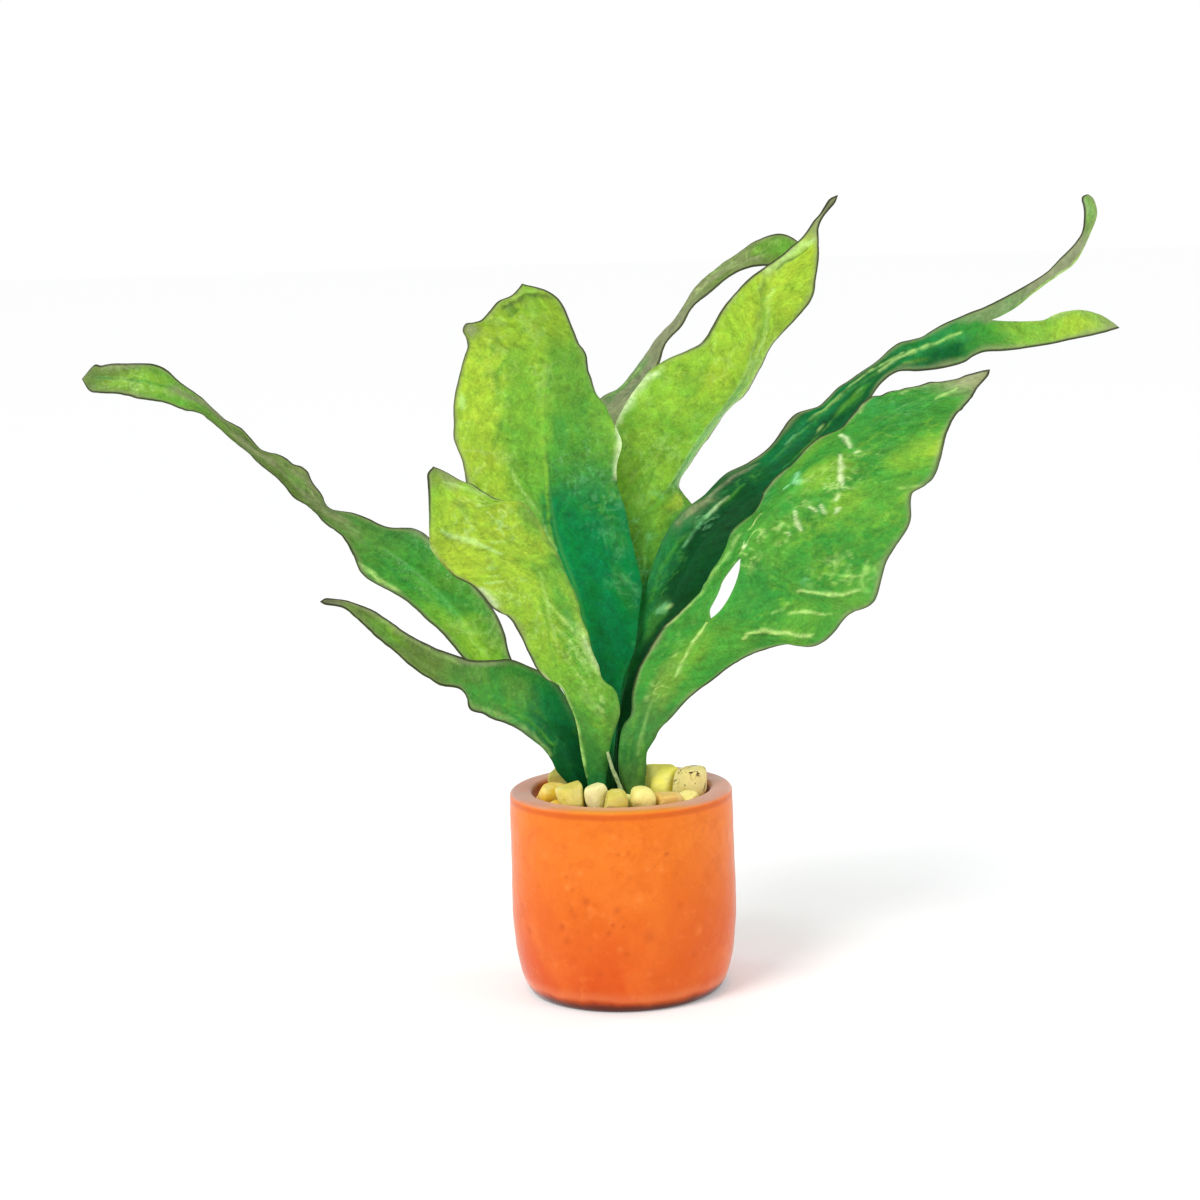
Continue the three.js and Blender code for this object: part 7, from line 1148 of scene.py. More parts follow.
# gravel: each chip's centre, then its broken faces as outward direction and distance from the centre
CHIPS = [
    [[-36.22, -14.51, 109.54], [
        [-0.33, 0.759, -0.561, 7.88], [0.265, -0.879, -0.398, 6.93], [0.35, -0.026, -0.936, 7.37], [-0.978, -0.208, 0, 9],
        [-0.914, -0.407, 0, 8.45], [-0.809, -0.588, 0, 9.61], [-0.824, 0.161, 0.543, 8.19], [-0.222, 0.864, 0.453, 7.45],
        [0.374, -0.672, 0.639, 7.41], [0.869, -0.142, -0.475, 8.12], [-0.819, -0.362, -0.444, 8.94], [-0.649, 0.592, -0.478, 8.2],
        [0.021, -0.435, -0.9, 9.17], [0.482, 0.856, -0.188, 9.13], [0.011, -0.148, 0.989, 6.85], [1, 0, 0, 10.08],
        [0, -1, 0, 10.08], [0.585, 0.667, 0.461, 9.3], [0.431, 0.613, 0.662, 9.03], [0.539, 0.654, 0.53, 9.12],
        [0.488, 0.637, 0.597, 9.03],
    ]],
    [[-26.52, -31.13, 112.97], [
        [0.991, -0.13, 0.023, 6.63], [-0.532, 0.461, -0.71, 6.21], [0.386, -0.059, -0.921, 8.77], [-0.809, -0.588, 0, 7.69],
        [-0.669, -0.743, 0, 6.56], [-0.5, -0.866, 0, 7.22], [0.926, 0.215, 0.311, 7.51], [0.571, 0.737, -0.362, 8.55],
        [0.155, -0.623, -0.766, 8.28], [-0.303, 0.876, 0.375, 7.67], [-0.579, -0.725, 0.372, 6.88], [-0.234, -0.047, 0.971, 6.49],
        [0.317, -0.875, 0.366, 6.53], [-0.927, -0.15, -0.343, 7.59], [-0.21, -0.21, 0.955, 6.14], [-1, 0, 0, 9.36],
        [0, 1, 0, 9.36],
    ]],
    [[-13.33, -32.87, 113.28], [
        [-0.991, 0.13, -0.023, 6.17], [0.852, -0.514, -0.103, 6.47], [0.369, 0.675, -0.639, 6.71], [-0.303, 0.031, -0.952, 8.44],
        [0.765, 0.424, 0.485, 6.39], [-0.566, 0.799, 0.204, 6.74], [-0.488, -0.864, -0.124, 7.44], [0.519, -0.852, 0.068, 7],
        [-0.305, 0.034, 0.952, 6.89], [0.332, 0.061, -0.941, 7.91], [-0.753, -0.012, -0.658, 8.1], [0.293, 0.915, -0.276, 7.18],
        [0.973, -0.058, -0.223, 8.06], [-0.189, 0.008, 0.982, 7.56],
    ]],
    [[-2.64, -39.31, 111.98], [
        [-0.852, 0.514, 0.103, 5.58], [0.981, 0.188, 0.039, 5.65], [0.432, 0.848, -0.308, 6.27], [0.206, 0.082, -0.975, 7.15],
        [-0.105, -0.995, 0, 8.07], [-0.937, -0.195, 0.288, 5.94], [-0.148, -0.418, 0.896, 5.56], [0.373, 0.374, -0.849, 6.15],
        [-0.731, 0.667, -0.144, 6.63], [0.346, 0.675, 0.652, 5.94], [-0.155, -0.646, -0.748, 6.91], [0.407, -0.901, 0.151, 6.46],
        [0.912, -0.247, -0.329, 7.12], [0.679, -0.197, 0.707, 5.94], [-0.182, 0.041, 0.982, 6.07], [-1, 0, 0, 7.92],
        [0, 1, 0, 7.92], [0, -1, 0, 7.92],
    ]],
    [[10.65, -36.77, 112.52], [
        [-0.981, -0.188, -0.039, 7.4], [0.905, 0.36, -0.229, 7.97], [-0.686, 0.636, -0.354, 7.25], [-0.49, -0.057, -0.87, 9.25],
        [0.424, 0.306, -0.852, 9.94], [0.309, -0.951, 0, 9.18], [-0.457, -0.592, -0.664, 7.71], [0.734, 0.445, -0.514, 8.84],
        [-0.889, -0.198, 0.413, 6.73], [-0.162, 0.607, -0.778, 8.99], [0.268, -0.598, 0.756, 7.44], [0.607, -0.761, -0.229, 9.11],
        [0.028, 0.605, 0.796, 7.92], [-0.796, 0.59, -0.131, 8.34], [0.753, 0.123, 0.646, 6.77], [-0.066, 0.039, 0.997, 6.66],
        [1, 0, 0, 9.84], [0, 1, 0, 9.84], [0, -1, 0, 9.84],
    ]],
    [[21.64, 5.5, 111.93], [
        [0.843, -0.536, 0.029, 10.04], [0.473, 0.871, -0.133, 12.11], [-0.597, 0.762, -0.252, 12.57], [0.931, 0.314, -0.187, 10.93],
        [0.616, -0.014, -0.787, 11.87], [0.42, -0.692, -0.587, 14.79], [-0.25, -0.625, -0.74, 12.32], [0.058, 0.99, -0.126, 11.93],
        [-0.903, 0.277, -0.327, 12.21], [-0.066, 0.551, 0.832, 9.37], [0.15, 0.454, -0.878, 11.09], [0.864, 0.344, 0.368, 10.72],
        [-0.872, -0.356, 0.337, 9.76], [-0.029, -0.682, 0.73, 9.83], [0.1, -0.127, 0.987, 9.04], [0, -1, 0, 13.68],
        [-0.479, -0.032, -0.877, 15.13], [-0.52, -0.84, -0.155, 14.49], [-0.52, -0.85, -0.084, 14.33],
    ]],
    [[38.25, -5.06, 112.5], [
        [-0.843, 0.536, -0.029, 9.15], [-0.165, -0.957, -0.238, 10.97], [0.055, 0.969, -0.242, 9.68], [-0.14, 0.489, -0.861, 10.89],
        [-0.23, -0.455, -0.86, 10.49], [1, 0, 0, 9.19], [0.978, 0.208, 0, 11.08], [0.914, -0.407, 0, 10.44],
        [0.978, -0.208, 0, 8.97], [0.893, -0.409, 0.186, 9.89], [0.158, 0.111, 0.981, 10.2], [0.042, -0.998, -0.052, 10.81],
        [-0.89, 0.432, 0.145, 9.97], [-0.295, -0.394, -0.871, 10.02], [-0.339, 0.488, -0.804, 10.11], [0.495, 0.74, -0.455, 10.65],
        [-0.776, -0.58, 0.247, 10.28], [0.707, -0.085, -0.702, 10.38], [-0.126, 0.055, 0.991, 8.98],
    ]],
    [[24.98, -31.07, 108.89], [
        [-0.905, -0.36, 0.229, 7.37], [0.783, 0.619, -0.066, 6.8], [-0.346, 0.051, -0.937, 6.59], [0.5, -0.866, 0, 8.04],
        [0.669, -0.743, 0, 7.64], [0.293, -0.388, -0.874, 7.62], [-0.506, -0.171, 0.846, 7.12], [-0.09, -0.958, -0.274, 8.24],
        [0.646, -0.108, 0.756, 6.52], [0.024, 0.958, 0.286, 6.49], [0.591, 0.701, -0.399, 7.53], [-0.824, -0.038, -0.565, 7.26],
        [0.841, -0.517, -0.159, 8.27], [-0.163, 0.506, -0.847, 7.69], [-0.023, 0.012, 1, 4.35], [1, 0, 0, 9.12],
        [-1, 0, 0, 9.12], [0, -1, 0, 9.12],
    ]],
    [[-30.23, 17.76, 112.3], [
        [0.315, 0.923, -0.219, 7.27], [-0.293, 0.409, -0.864, 6.65], [-0.665, 0.144, 0.732, 8.11], [0.885, -0.457, 0.092, 7.97],
        [-0.241, -0.969, 0.046, 8.38], [0.509, 0.742, 0.435, 7.93], [-0.501, -0.263, -0.825, 7.68], [0.518, 0.642, -0.565, 8.62],
        [-0.74, 0.671, -0.045, 7.83], [0.338, -0.098, 0.936, 6.91], [0.402, -0.399, -0.824, 8.52], [0.057, -0.217, 0.974, 4.99],
        [1, 0, 0, 9.84], [-1, 0, 0, 9.84], [0.419, -0.872, 0.251, 6.74], [0.263, -0.833, 0.487, 7.07],
        [0.566, -0.815, -0.126, 7.59], [0.346, -0.859, 0.378, 6.84],
    ]],
    [[35.15, -23.03, 108.04], [
        [0.165, 0.957, 0.238, 7.3], [-0.783, -0.619, 0.066, 5.7], [-0.098, 0.564, -0.82, 6.26], [0.809, -0.588, 0, 5.46],
        [0.914, -0.407, 0, 5.96], [-0.072, 0.931, -0.359, 7.16], [0.45, 0.539, 0.712, 6.18], [0.803, -0.229, -0.55, 6.9],
        [-0.913, -0.17, -0.372, 7.05], [0.824, -0.266, 0.5, 6.21], [0.07, -0.925, 0.374, 5.93], [0.138, -0.8, -0.584, 6.69],
        [-0.593, 0.691, 0.414, 6.23], [-0.123, -0.287, 0.95, 2.74], [1, 0, 0, 7.92], [-1, 0, 0, 7.92],
    ]],
    [[2.5, -29.21, 108.31], [
        [0.686, -0.636, 0.354, 4.14], [-0.914, 0.347, -0.209, 6.02], [-0.101, -0.551, -0.829, 5.93], [0.2, -0.484, 0.852, 4.53],
        [-0.687, 0.518, 0.51, 5.33], [0.133, 0.441, -0.888, 5.92], [0.016, -0.881, -0.473, 5.61], [-0.779, 0.337, -0.529, 5.5],
        [0.833, -0.244, -0.497, 5.98], [0.457, 0.879, -0.135, 5.89], [0.333, 0.443, 0.832, 4.88], [-0.381, -0.867, 0.321, 4.45],
        [-0.081, -0.147, 0.986, 4.26], [1, 0, 0, 6.6], [-1, 0, 0, 6.6], [0, 1, 0, 6.6],
    ]],
    [[32.06, 24.69, 109.0], [
        [-0.79, 0.605, -0.1, 8.36], [0.473, -0.88, -0.04, 7.5], [-0.426, -0, -0.905, 7.36], [0.914, 0.407, 0, 8.11],
        [0.809, 0.588, 0, 6.99], [0.669, 0.743, 0, 7.64], [-0.592, 0.201, 0.781, 7], [-0.363, -0.805, -0.47, 8.85],
        [-0.881, 0.178, -0.439, 8.21], [0.928, 0.228, -0.295, 8.86], [0.287, 0.461, -0.84, 9.25], [0.831, -0.513, 0.215, 7.95],
        [-0.017, 1, -0.022, 8.09], [-0.43, -0.753, 0.498, 7.42], [0.098, -0.148, 0.984, 3.6], [-1, 0, 0, 10.08],
    ]],
    [[18.77, 34.87, 107.31], [
        [0.79, -0.605, 0.1, 7.97], [-0.925, 0.365, 0.107, 7.15], [-0.642, -0.764, -0.062, 8.15], [0.365, -0.578, -0.73, 7.98],
        [-0.587, 0.017, -0.81, 7], [0.5, 0.866, 0, 7.86], [0.309, 0.951, 0, 8.48], [0.716, -0.638, 0.283, 6.5],
        [0.579, 0.407, 0.706, 6.54], [-0.773, -0.299, -0.56, 8.46], [0.604, 0.733, -0.313, 8.01], [0.095, -0.856, -0.508, 7.9],
        [0.266, -0.01, -0.964, 8.93], [-0.281, -0.183, 0.942, 6.91], [-0.228, 0.831, 0.507, 6.81], [-0.589, 0.638, -0.497, 8.77],
        [0.098, -0.148, 0.984, 5.29], [1, 0, 0, 9.6], [0, -1, 0, 9.6],
    ]],
    [[4.87, 40.35, 108.91], [
        [0.925, -0.365, -0.107, 7.37], [-0.995, -0.1, 0.005, 8.69], [0.189, -0.972, -0.142, 9.29], [-0.57, -0.803, -0.176, 7.36],
        [0.289, -0.326, -0.9, 7.21], [0.309, 0.951, 0, 7.55], [0.105, 0.995, 0, 6.8], [-0.105, 0.995, 0, 7.81],
        [-0.155, 0.964, 0.216, 7.1], [-0.647, -0.143, 0.749, 7.49], [0.58, 0.615, 0.534, 7.73], [0.197, -0.91, 0.364, 8.01],
        [-0.655, 0.07, -0.752, 7.79], [0.568, 0.73, -0.381, 9.13], [0.987, -0.16, -0.009, 8.34], [0.098, -0.148, 0.984, 3.69],
    ]],
    [[-12.55, 38.6, 109.0], [
        [0.995, 0.1, -0.005, 8.33], [-0.881, -0.473, 0, 6.88], [0.698, -0.692, -0.186, 6.99], [0.336, -0.111, -0.935, 6.76],
        [-0.105, 0.995, 0, 7.74], [-0.309, 0.951, 0, 6.85], [-0.5, 0.866, 0, 7.73], [-0.021, 0.77, -0.637, 7.85],
        [0.753, 0.039, -0.657, 7.91], [0.535, -0.459, 0.71, 7.29], [0.169, -0.981, -0.092, 8.07], [0.765, 0.545, 0.344, 7.19],
        [-0.32, 0.593, 0.739, 6.6], [-0.913, 0.404, -0.063, 8.53], [-0.357, -0.607, -0.71, 8.01], [0.098, -0.148, 0.984, 3.6],
    ]],
    [[-25.5, 31.66, 109.0], [
        [-0.315, -0.923, 0.219, 7.27], [0.881, 0.473, 0, 7.31], [-0.591, -0.589, -0.551, 7.33], [0.27, -0.264, -0.926, 7.05],
        [-0.5, 0.866, 0, 7.27], [-0.669, 0.743, 0, 6.85], [0.317, -0.475, 0.821, 7.47], [-0.87, -0.397, 0.293, 8.13],
        [0.714, 0.457, 0.531, 7.61], [0.356, -0.69, -0.63, 8.66], [-0.77, 0.521, 0.368, 7.26], [-0.09, -0.979, 0.182, 8.64],
        [0.927, 0.082, -0.367, 8.97], [-0.048, 0.803, -0.594, 8.69], [-0.568, 0.086, -0.818, 7.97], [0.098, -0.148, 0.984, 3.6],
        [1, 0, 0, 9.84], [-1, 0, 0, 9.84], [0, 1, 0, 9.84],
    ]],
    [[-41.23, -2.96, 101.0], [
        [0.33, -0.759, 0.561, 6.84], [0.419, 0.798, -0.434, 6.31], [0.615, -0.692, -0.378, 7.55], [-1, 0, 0, 6.21],
        [-0.978, -0.208, 0, 6.49], [-0.771, -0.636, -0.015, 7.01], [0.987, -0.154, -0.044, 8.01], [0.279, 0.871, -0.404, 7.24],
        [0.441, -0.645, -0.624, 7.09], [-0.324, -0.292, -0.9, 6.91], [0.405, -0.61, 0.681, 6.11], [0.632, 0.469, 0.617, 7.17],
        [-0.698, 0.396, 0.596, 7.18], [-0.697, 0.625, -0.351, 8.06], [0, 1, 0, 8.88], [0, -1, 0, 8.88],
        [0, 0, 1, 8.88],
    ]],
    [[-34.06, 23.11, 101.0], [
        [0.293, -0.409, 0.864, 5.92], [0.591, 0.589, 0.551, 6.68], [0.851, 0.293, -0.436, 6.38], [-0.054, -0.905, -0.423, 6.63],
        [-0.669, 0.743, 0, 7.47], [-0.809, 0.588, 0, 6.3], [-0.914, 0.407, 0, 6.92], [-0.95, -0.23, 0.212, 6.17],
        [0.639, 0.688, 0.343, 6.67], [-0.373, 0.332, -0.866, 8.18], [0.041, -0.504, 0.862, 6.1], [0.501, -0.132, -0.855, 7.22],
        [0.183, 0.909, -0.374, 8.15], [-0.482, -0.606, -0.633, 7.99], [0.63, -0.768, -0.112, 7.54], [1, 0, 0, 9.12],
        [0, 1, 0, 9.12], [0, 0, 1, 9.12],
    ]],
    [[-32.87, -25.63, 104.5], [
        [-0.265, 0.879, 0.398, 5.23], [0.532, -0.461, 0.71, 5.22], [0.154, 0.72, -0.677, 5.98], [0.77, -0.371, -0.519, 7.7],
        [-0.809, -0.588, 0, 5.78], [-0.669, -0.743, 0, 6.4], [0.135, 0.753, 0.645, 6.82], [0.164, 0.189, -0.968, 7.18],
        [0.975, 0.153, 0.162, 6.72], [0.375, -0.917, -0.136, 6.61], [-0.603, 0.782, -0.158, 6.99], [-0.123, -0.191, 0.974, 5.84],
        [-0.534, -0.819, -0.209, 6.92], [-0.974, -0.148, 0.173, 7.3], [-0.69, -0.01, -0.724, 7.32],
    ]],
    [[8.35, 22.47, 106.3], [
        [0.597, -0.762, 0.252, 9.2], [0.642, 0.764, 0.062, 7.58], [-0.862, 0.508, 0.012, 6.59], [0.813, 0.107, -0.572, 9.39],
        [0.066, 0.73, -0.68, 7.56], [-0.005, 0.88, 0.475, 6.88], [0.826, 0.536, 0.175, 7.23], [0.315, -0.581, 0.751, 6.07],
        [-0.874, 0.189, -0.448, 8.05], [0.747, -0.29, -0.598, 7.99], [0.087, 0.263, -0.961, 7.83], [0.029, -0.999, 0.035, 6.91],
        [-0.26, 0.877, -0.404, 7.32], [0.098, -0.148, 0.984, 6.3], [1, 0, 0, 8.88], [-0.611, -0.396, -0.685, 7.46],
        [0.073, -0.731, -0.679, 7.55], [-0.72, -0.631, -0.289, 6.34], [-0.771, -0.604, 0.203, 6.35], [-0.775, -0.631, 0.041, 6.11],
        [-0.258, -0.708, -0.657, 7.83], [-0.757, -0.641, -0.125, 6.12],
    ]],
    [[-3.06, 29.19, 106.47], [
        [0.57, 0.803, 0.176, 6.05], [-0.698, 0.692, 0.186, 6.12], [0.862, -0.508, -0.012, 6.15], [0.685, 0.325, -0.652, 7.94],
        [-0.287, 0.516, -0.807, 6], [0.071, 0.976, -0.206, 6.61], [0.965, 0.262, -0.023, 7.28], [-0.947, 0.291, -0.133, 7.04],
        [0.471, -0.155, -0.868, 7.13], [-0.374, 0.188, -0.908, 6.69], [-0.559, -0.112, 0.822, 6.85], [0.617, -0.585, 0.527, 6.12],
        [-0.026, 0.754, 0.656, 6.24], [0.098, -0.148, 0.984, 6.13], [-0.375, -0.825, 0.423, 5.36], [-0.404, -0.808, -0.428, 6.38],
        [-0.426, -0.904, -0.025, 5.07], [-0.411, -0.887, 0.208, 5],
    ]],
    [[39.19, 11.43, 108.39], [
        [-0.931, -0.314, 0.187, 7.43], [-0.055, -0.969, 0.242, 6.84], [-0.473, 0.88, 0.04, 7.07], [-0.245, -0.396, -0.885, 6.97],
        [-0.588, 0.557, -0.586, 11.21], [0.978, 0.208, 0, 6.73], [0.914, 0.407, 0, 6.99], [-0.337, -0.253, 0.907, 7.34],
        [0.279, 0.759, -0.589, 7.79], [0.391, 0.751, 0.531, 6.59], [-0.889, 0.335, 0.312, 6.92], [0.555, -0.508, 0.659, 7.46],
        [0.331, -0.908, -0.256, 7.53], [0.561, -0.181, -0.808, 8.54], [0.098, -0.148, 0.984, 5.61],
    ]],
    [[-8.96, -24.87, 105.7], [
        [-0.369, -0.675, 0.639, 4.64], [0.914, -0.347, 0.209, 6.02], [-0.619, -0.453, -0.641, 6.26], [0.722, 0.089, -0.686, 7.13],
        [-0.478, 0.467, -0.744, 6.49], [0.479, -0.812, -0.333, 5.75], [-0.598, 0.618, -0.51, 5.46], [-0.888, 0.258, 0.381, 4.91],
        [-0.267, -0.439, -0.858, 5.92], [0.228, 0.955, 0.188, 5.68], [0.565, -0.452, 0.69, 4.77], [-0.099, 0.127, 0.987, 4.7],
        [0.466, 0.282, -0.838, 5.97], [-0.528, -0.772, 0.354, 5.48], [1, 0, 0, 6.6], [-1, 0, 0, 6.6],
        [0, -1, 0, 6.6],
    ]],
    [[35.32, 5.19, 94.45], [
        [-0.616, 0.014, 0.787, 9.83], [0.245, 0.396, 0.885, 8.28], [-0.461, 0.887, 0, 10.73], [-0.087, -0.995, 0.038, 9.49],
        [0.978, 0.208, 0, 11.81], [0.914, 0.407, 0, 13.06], [0, 0, -1, 5.5], [-0.723, 0.664, 0.189, 9.18],
        [-0.652, -0.251, 0.715, 9.07], [-0.784, -0.614, -0.086, 8.82], [0.887, -0.38, -0.264, 10.2], [0.77, 0.296, 0.565, 8.89],
        [0.003, 0.616, -0.788, 10.03], [0.147, -0.418, -0.896, 8.77], [0.021, 0.768, 0.64, 8.46], [0.277, -0.372, 0.886, 7.39],
        [1, 0, 0, 11.04], [-1, 0, 0, 11.04], [0, 1, 0, 11.04],
    ]],
    [[25.2, 24.68, 94.45], [
        [0.426, 0, 0.905, 8.23], [-0.365, 0.578, 0.73, 9.15], [-0.813, -0.107, 0.572, 10.83], [0.461, -0.887, 0, 10.73],
        [-0.832, 0.554, 0.003, 9.18], [0, 0, -1, 5.5], [0.815, -0.516, -0.263, 9.75], [-0.477, 0.766, 0.432, 8.72],
        [-0.585, -0.784, 0.206, 8.52], [-0.53, 0.271, -0.804, 9.72], [0.071, -0.124, 0.99, 8.61], [0.562, 0.806, 0.186, 8.94],
        [0.526, 0.516, -0.676, 10.06], [0.369, -0.793, 0.485, 9.16], [1, 0, 0, 11.04], [-1, 0, 0, 11.04],
        [0, 1, 0, 11.04], [0, -1, 0, 11.04],
    ]],
    [[9.49, 35.14, 94.51], [
        [0.587, -0.017, 0.81, 8.31], [-0.289, 0.326, 0.9, 8.29], [-0.066, -0.73, 0.68, 9.28], [-0.685, -0.325, 0.652, 9.89],
        [0.832, -0.554, -0.003, 9.18], [-0.995, 0.103, -0.004, 8.2], [0.5, 0.866, 0, 12.26], [0.309, 0.951, 0, 11.09],
        [0, 0, -1, 5.56], [0.541, 0.518, -0.663, 8.56], [0.94, -0.309, -0.141, 9.94], [0.061, 0.713, 0.699, 7.91],
        [0.173, -0.502, -0.847, 9.33], [-0.368, -0.319, 0.874, 7.9], [-0.874, 0.301, 0.382, 8.91], [-0.331, -0.925, -0.189, 9.96],
        [0.511, -0.312, 0.801, 7.93], [1, 0, 0, 11.04], [0, 1, 0, 11.04], [0, -1, 0, 11.04],
    ]],
    [[-7.32, 36.88, 94.45], [
        [0.634, 0.181, 0.752, 9.82], [-0.336, 0.111, 0.935, 8.29], [0.287, -0.516, 0.807, 8.39], [0.995, -0.103, 0.004, 8.2],
        [-0.83, -0.558, -0, 8.15], [-0.105, 0.995, 0, 10], [-0.309, 0.951, 0, 10.11], [0, 0, -1, 5.5],
        [-0.399, 0.845, -0.355, 9.17], [0.691, 0.673, 0.263, 8.96], [0.894, -0.016, -0.448, 9.9], [-0.661, 0.156, 0.734, 8.17],
        [0.419, -0.908, -0.015, 9.49], [0.393, -0.379, 0.838, 8.96], [-0.835, 0.016, -0.55, 9.82], [-0.523, -0.847, 0.1, 8.9],
        [-1, 0, 0, 11.04],
    ]],
    [[-21.26, 27.51, 94.45], [
        [0.43, 0.547, 0.718, 10.47], [-0.27, 0.264, 0.926, 8.16], [-0.851, -0.293, 0.436, 8.16], [0.83, 0.558, 0, 8.15],
        [0, 0, -1, 5.5], [-0.712, 0.037, 0.701, 7.98], [-0.605, -0.79, 0.1, 8.65], [0.95, -0.258, -0.178, 8.96],
        [-0.87, 0.43, -0.242, 9.32], [-0.132, 0.99, 0.054, 9.17], [0.352, -0.696, 0.626, 7.66], [0.804, 0.213, 0.555, 8.92],
        [0.53, 0.639, -0.557, 9.07], [0.192, -0.936, -0.294, 7.59], [0.584, -0.808, 0.075, 6.58], [0.183, -0.98, 0.071, 7.01],
    ]],
    [[-34.91, 9.09, 94.45], [
        [-0.419, -0.798, 0.434, 8.29], [0.054, 0.905, 0.423, 8.37], [-0.978, 0.208, 0, 11.4], [0, 0, -1, 5.5],
        [-0.394, 0.61, 0.688, 7.73], [-0.723, -0.315, -0.615, 9.38], [-0.205, -0.905, 0.372, 7.78], [0.25, 0.446, -0.859, 8.79],
        [0.928, -0.283, 0.243, 7.95], [-0.654, 0.583, -0.481, 9.85], [0.536, 0.423, 0.731, 8.13], [0.231, -0.439, -0.869, 10.19],
        [0.405, 0.91, -0.085, 10.08], [-1, 0, 0, 11.04], [0, 1, 0, 11.04], [0, -1, 0, 11.04],
        [0, 0, 1, 11.04], [0.951, 0.091, -0.294, 7.57], [0.953, -0.294, 0.075, 6.62], [0.992, 0.107, 0.071, 6.95],
    ]],
    [[-30.58, -14.93, 94.45], [
        [-0.35, 0.026, 0.936, 8.24], [-0.615, 0.692, 0.378, 9.27], [-0.154, -0.72, 0.677, 8.38], [0.977, -0.212, 0.035, 8.66],
        [-0.914, -0.407, 0, 13.43], [-0.809, -0.588, 0, 13.92], [0, 0, -1, 5.5], [-0.873, 0.266, -0.409, 9.88],
        [0.386, 0.032, 0.922, 8.19], [-0.193, -0.865, -0.463, 10.21], [-0.5, -0.355, 0.79, 9.14], [0.981, -0.026, -0.193, 8.56],
        [-0.31, 0.928, -0.207, 9.24], [0.623, -0.703, 0.344, 7.41], [-0.711, 0.485, 0.51, 9.17], [-1, 0, 0, 11.04],
        [0, 1, 0, 11.04], [0, -1, 0, 11.04], [0.701, 0.711, 0.051, 10.11], [0.323, 0.841, 0.434, 11.23],
    ]],
    [[-19.08, -32.27, 95.22], [
        [0.303, -0.031, 0.952, 10.02], [-0.77, 0.371, 0.519, 9.69], [0.619, 0.453, 0.641, 9.59], [-0.552, 0.833, -0.037, 10.16],
        [0.962, -0.271, 0, 10.13], [0.224, 0.975, -0.016, 8.42], [-0.669, -0.743, 0, 10.69], [-0.5, -0.866, 0, 9.95],
        [0, 0, -1, 6.27], [-0.307, -0.584, -0.751, 9.61], [0.847, -0.037, 0.53, 8.69], [-0.997, 0.075, -0.029, 9.42],
        [0.397, -0.826, 0.4, 7.97], [0.617, 0.447, -0.648, 8.72], [-0.546, 0.223, 0.808, 8.11], [0.826, -0.488, -0.281, 8.75],
        [-0.29, 0.373, -0.881, 9.03], [1, 0, 0, 11.04], [0, -1, 0, 11.04],
    ]],
    [[0.9, -37.91, 95.22], [
        [-0.206, -0.082, 0.975, 9.54], [0.49, 0.057, 0.87, 10.13], [0.101, 0.551, 0.829, 9.37], [-0.962, 0.271, -0, 10.13],
        [0.926, 0.377, -0.038, 9.88], [0.098, 0.995, -0.017, 8.42], [-0.105, -0.995, 0, 9.83], [0.105, -0.995, 0, 9.64],
        [0, 0, -1, 6.27], [0.272, 0.091, 0.958, 9.13], [-0.831, -0.495, 0.253, 7.72], [0.015, 0.94, -0.342, 10.24],
        [0.813, -0.491, 0.313, 7.73], [-0.028, -0.935, 0.353, 8.38], [0.819, 0.572, 0.037, 10.06], [0.227, -0.668, -0.709, 9.28],
        [-0.275, 0.825, 0.494, 8.4],
    ]],
    [[19.65, -30.28, 94.45], [
        [0.346, -0.051, 0.937, 8.33], [0.709, 0.332, 0.622, 11.62], [-0.926, -0.377, 0.038, 9.88], [0.656, 0.754, 0.035, 10.41],
        [-0.035, 0.999, 0.039, 8.43], [-0.931, 0.365, 0.028, 10.16], [0.5, -0.866, 0, 11.39], [0.669, -0.743, 0, 11.79],
        [0, 0, -1, 5.5], [-0.368, 0.869, 0.332, 8.09], [0.413, -0.39, 0.823, 9.19], [-0.121, 0.389, -0.913, 8.74],
        [-0.197, -0.966, -0.169, 8.9], [0.708, -0.512, -0.487, 9.69], [-0.628, -0.269, 0.73, 7.7], [0.758, 0.621, -0.2, 10.11],
        [-0.958, -0.058, -0.279, 8.58], [0.225, 0.469, 0.854, 7.71], [1, 0, 0, 11.04],
    ]],
    [[33.62, -14.21, 95.2], [
        [0.23, 0.455, 0.86, 9.12], [0.098, -0.564, 0.82, 8.89], [0.087, 0.995, -0.038, 9.49], [-0.656, -0.754, -0.035, 10.41],
        [-0.994, -0.107, -0.013, 8.44], [0.914, -0.407, 0, 10.95], [0, 0, -1, 6.25], [-0.529, -0.115, 0.841, 8.15],
        [-0.332, -0.506, -0.796, 8.79], [0.847, 0.124, 0.517, 7.64], [-0.127, 0.821, -0.556, 9.51], [0.859, 0.395, -0.326, 9.97],
        [-0.936, 0.337, -0.102, 9.71], [0.484, -0.875, -0.026, 9.81], [-0.182, 0.858, 0.48, 9.12], [-0.656, -0.729, 0.198, 10.3],
        [1, 0, 0, 11.04], [0, -1, 0, 11.04],
    ]],
    [[19.14, -15.77, 95.01], [
        [0.035, -0.999, -0.039, 5.6], [0.994, 0.107, 0.013, 5.62], [0, 0, -1, 6.06], [-0.139, 0.827, 0.545, 5.79],
        [0.566, 0.725, -0.393, 7.32], [-0.603, 0.668, -0.437, 7.33], [-0.267, -0.938, 0.22, 6.26], [0.776, 0.365, 0.514, 5.54],
        [-0.961, -0.215, 0.173, 6.89], [-0.002, -0.593, -0.805, 7.27], [0.846, -0.497, -0.191, 6.59], [0.209, -0.523, 0.826, 6.25],
        [-1, 0, 0, 7.92], [0, 1, 0, 7.92], [0, 0, 1, 7.92],
    ]],
    [[2.32, -23.48, 94.98], [
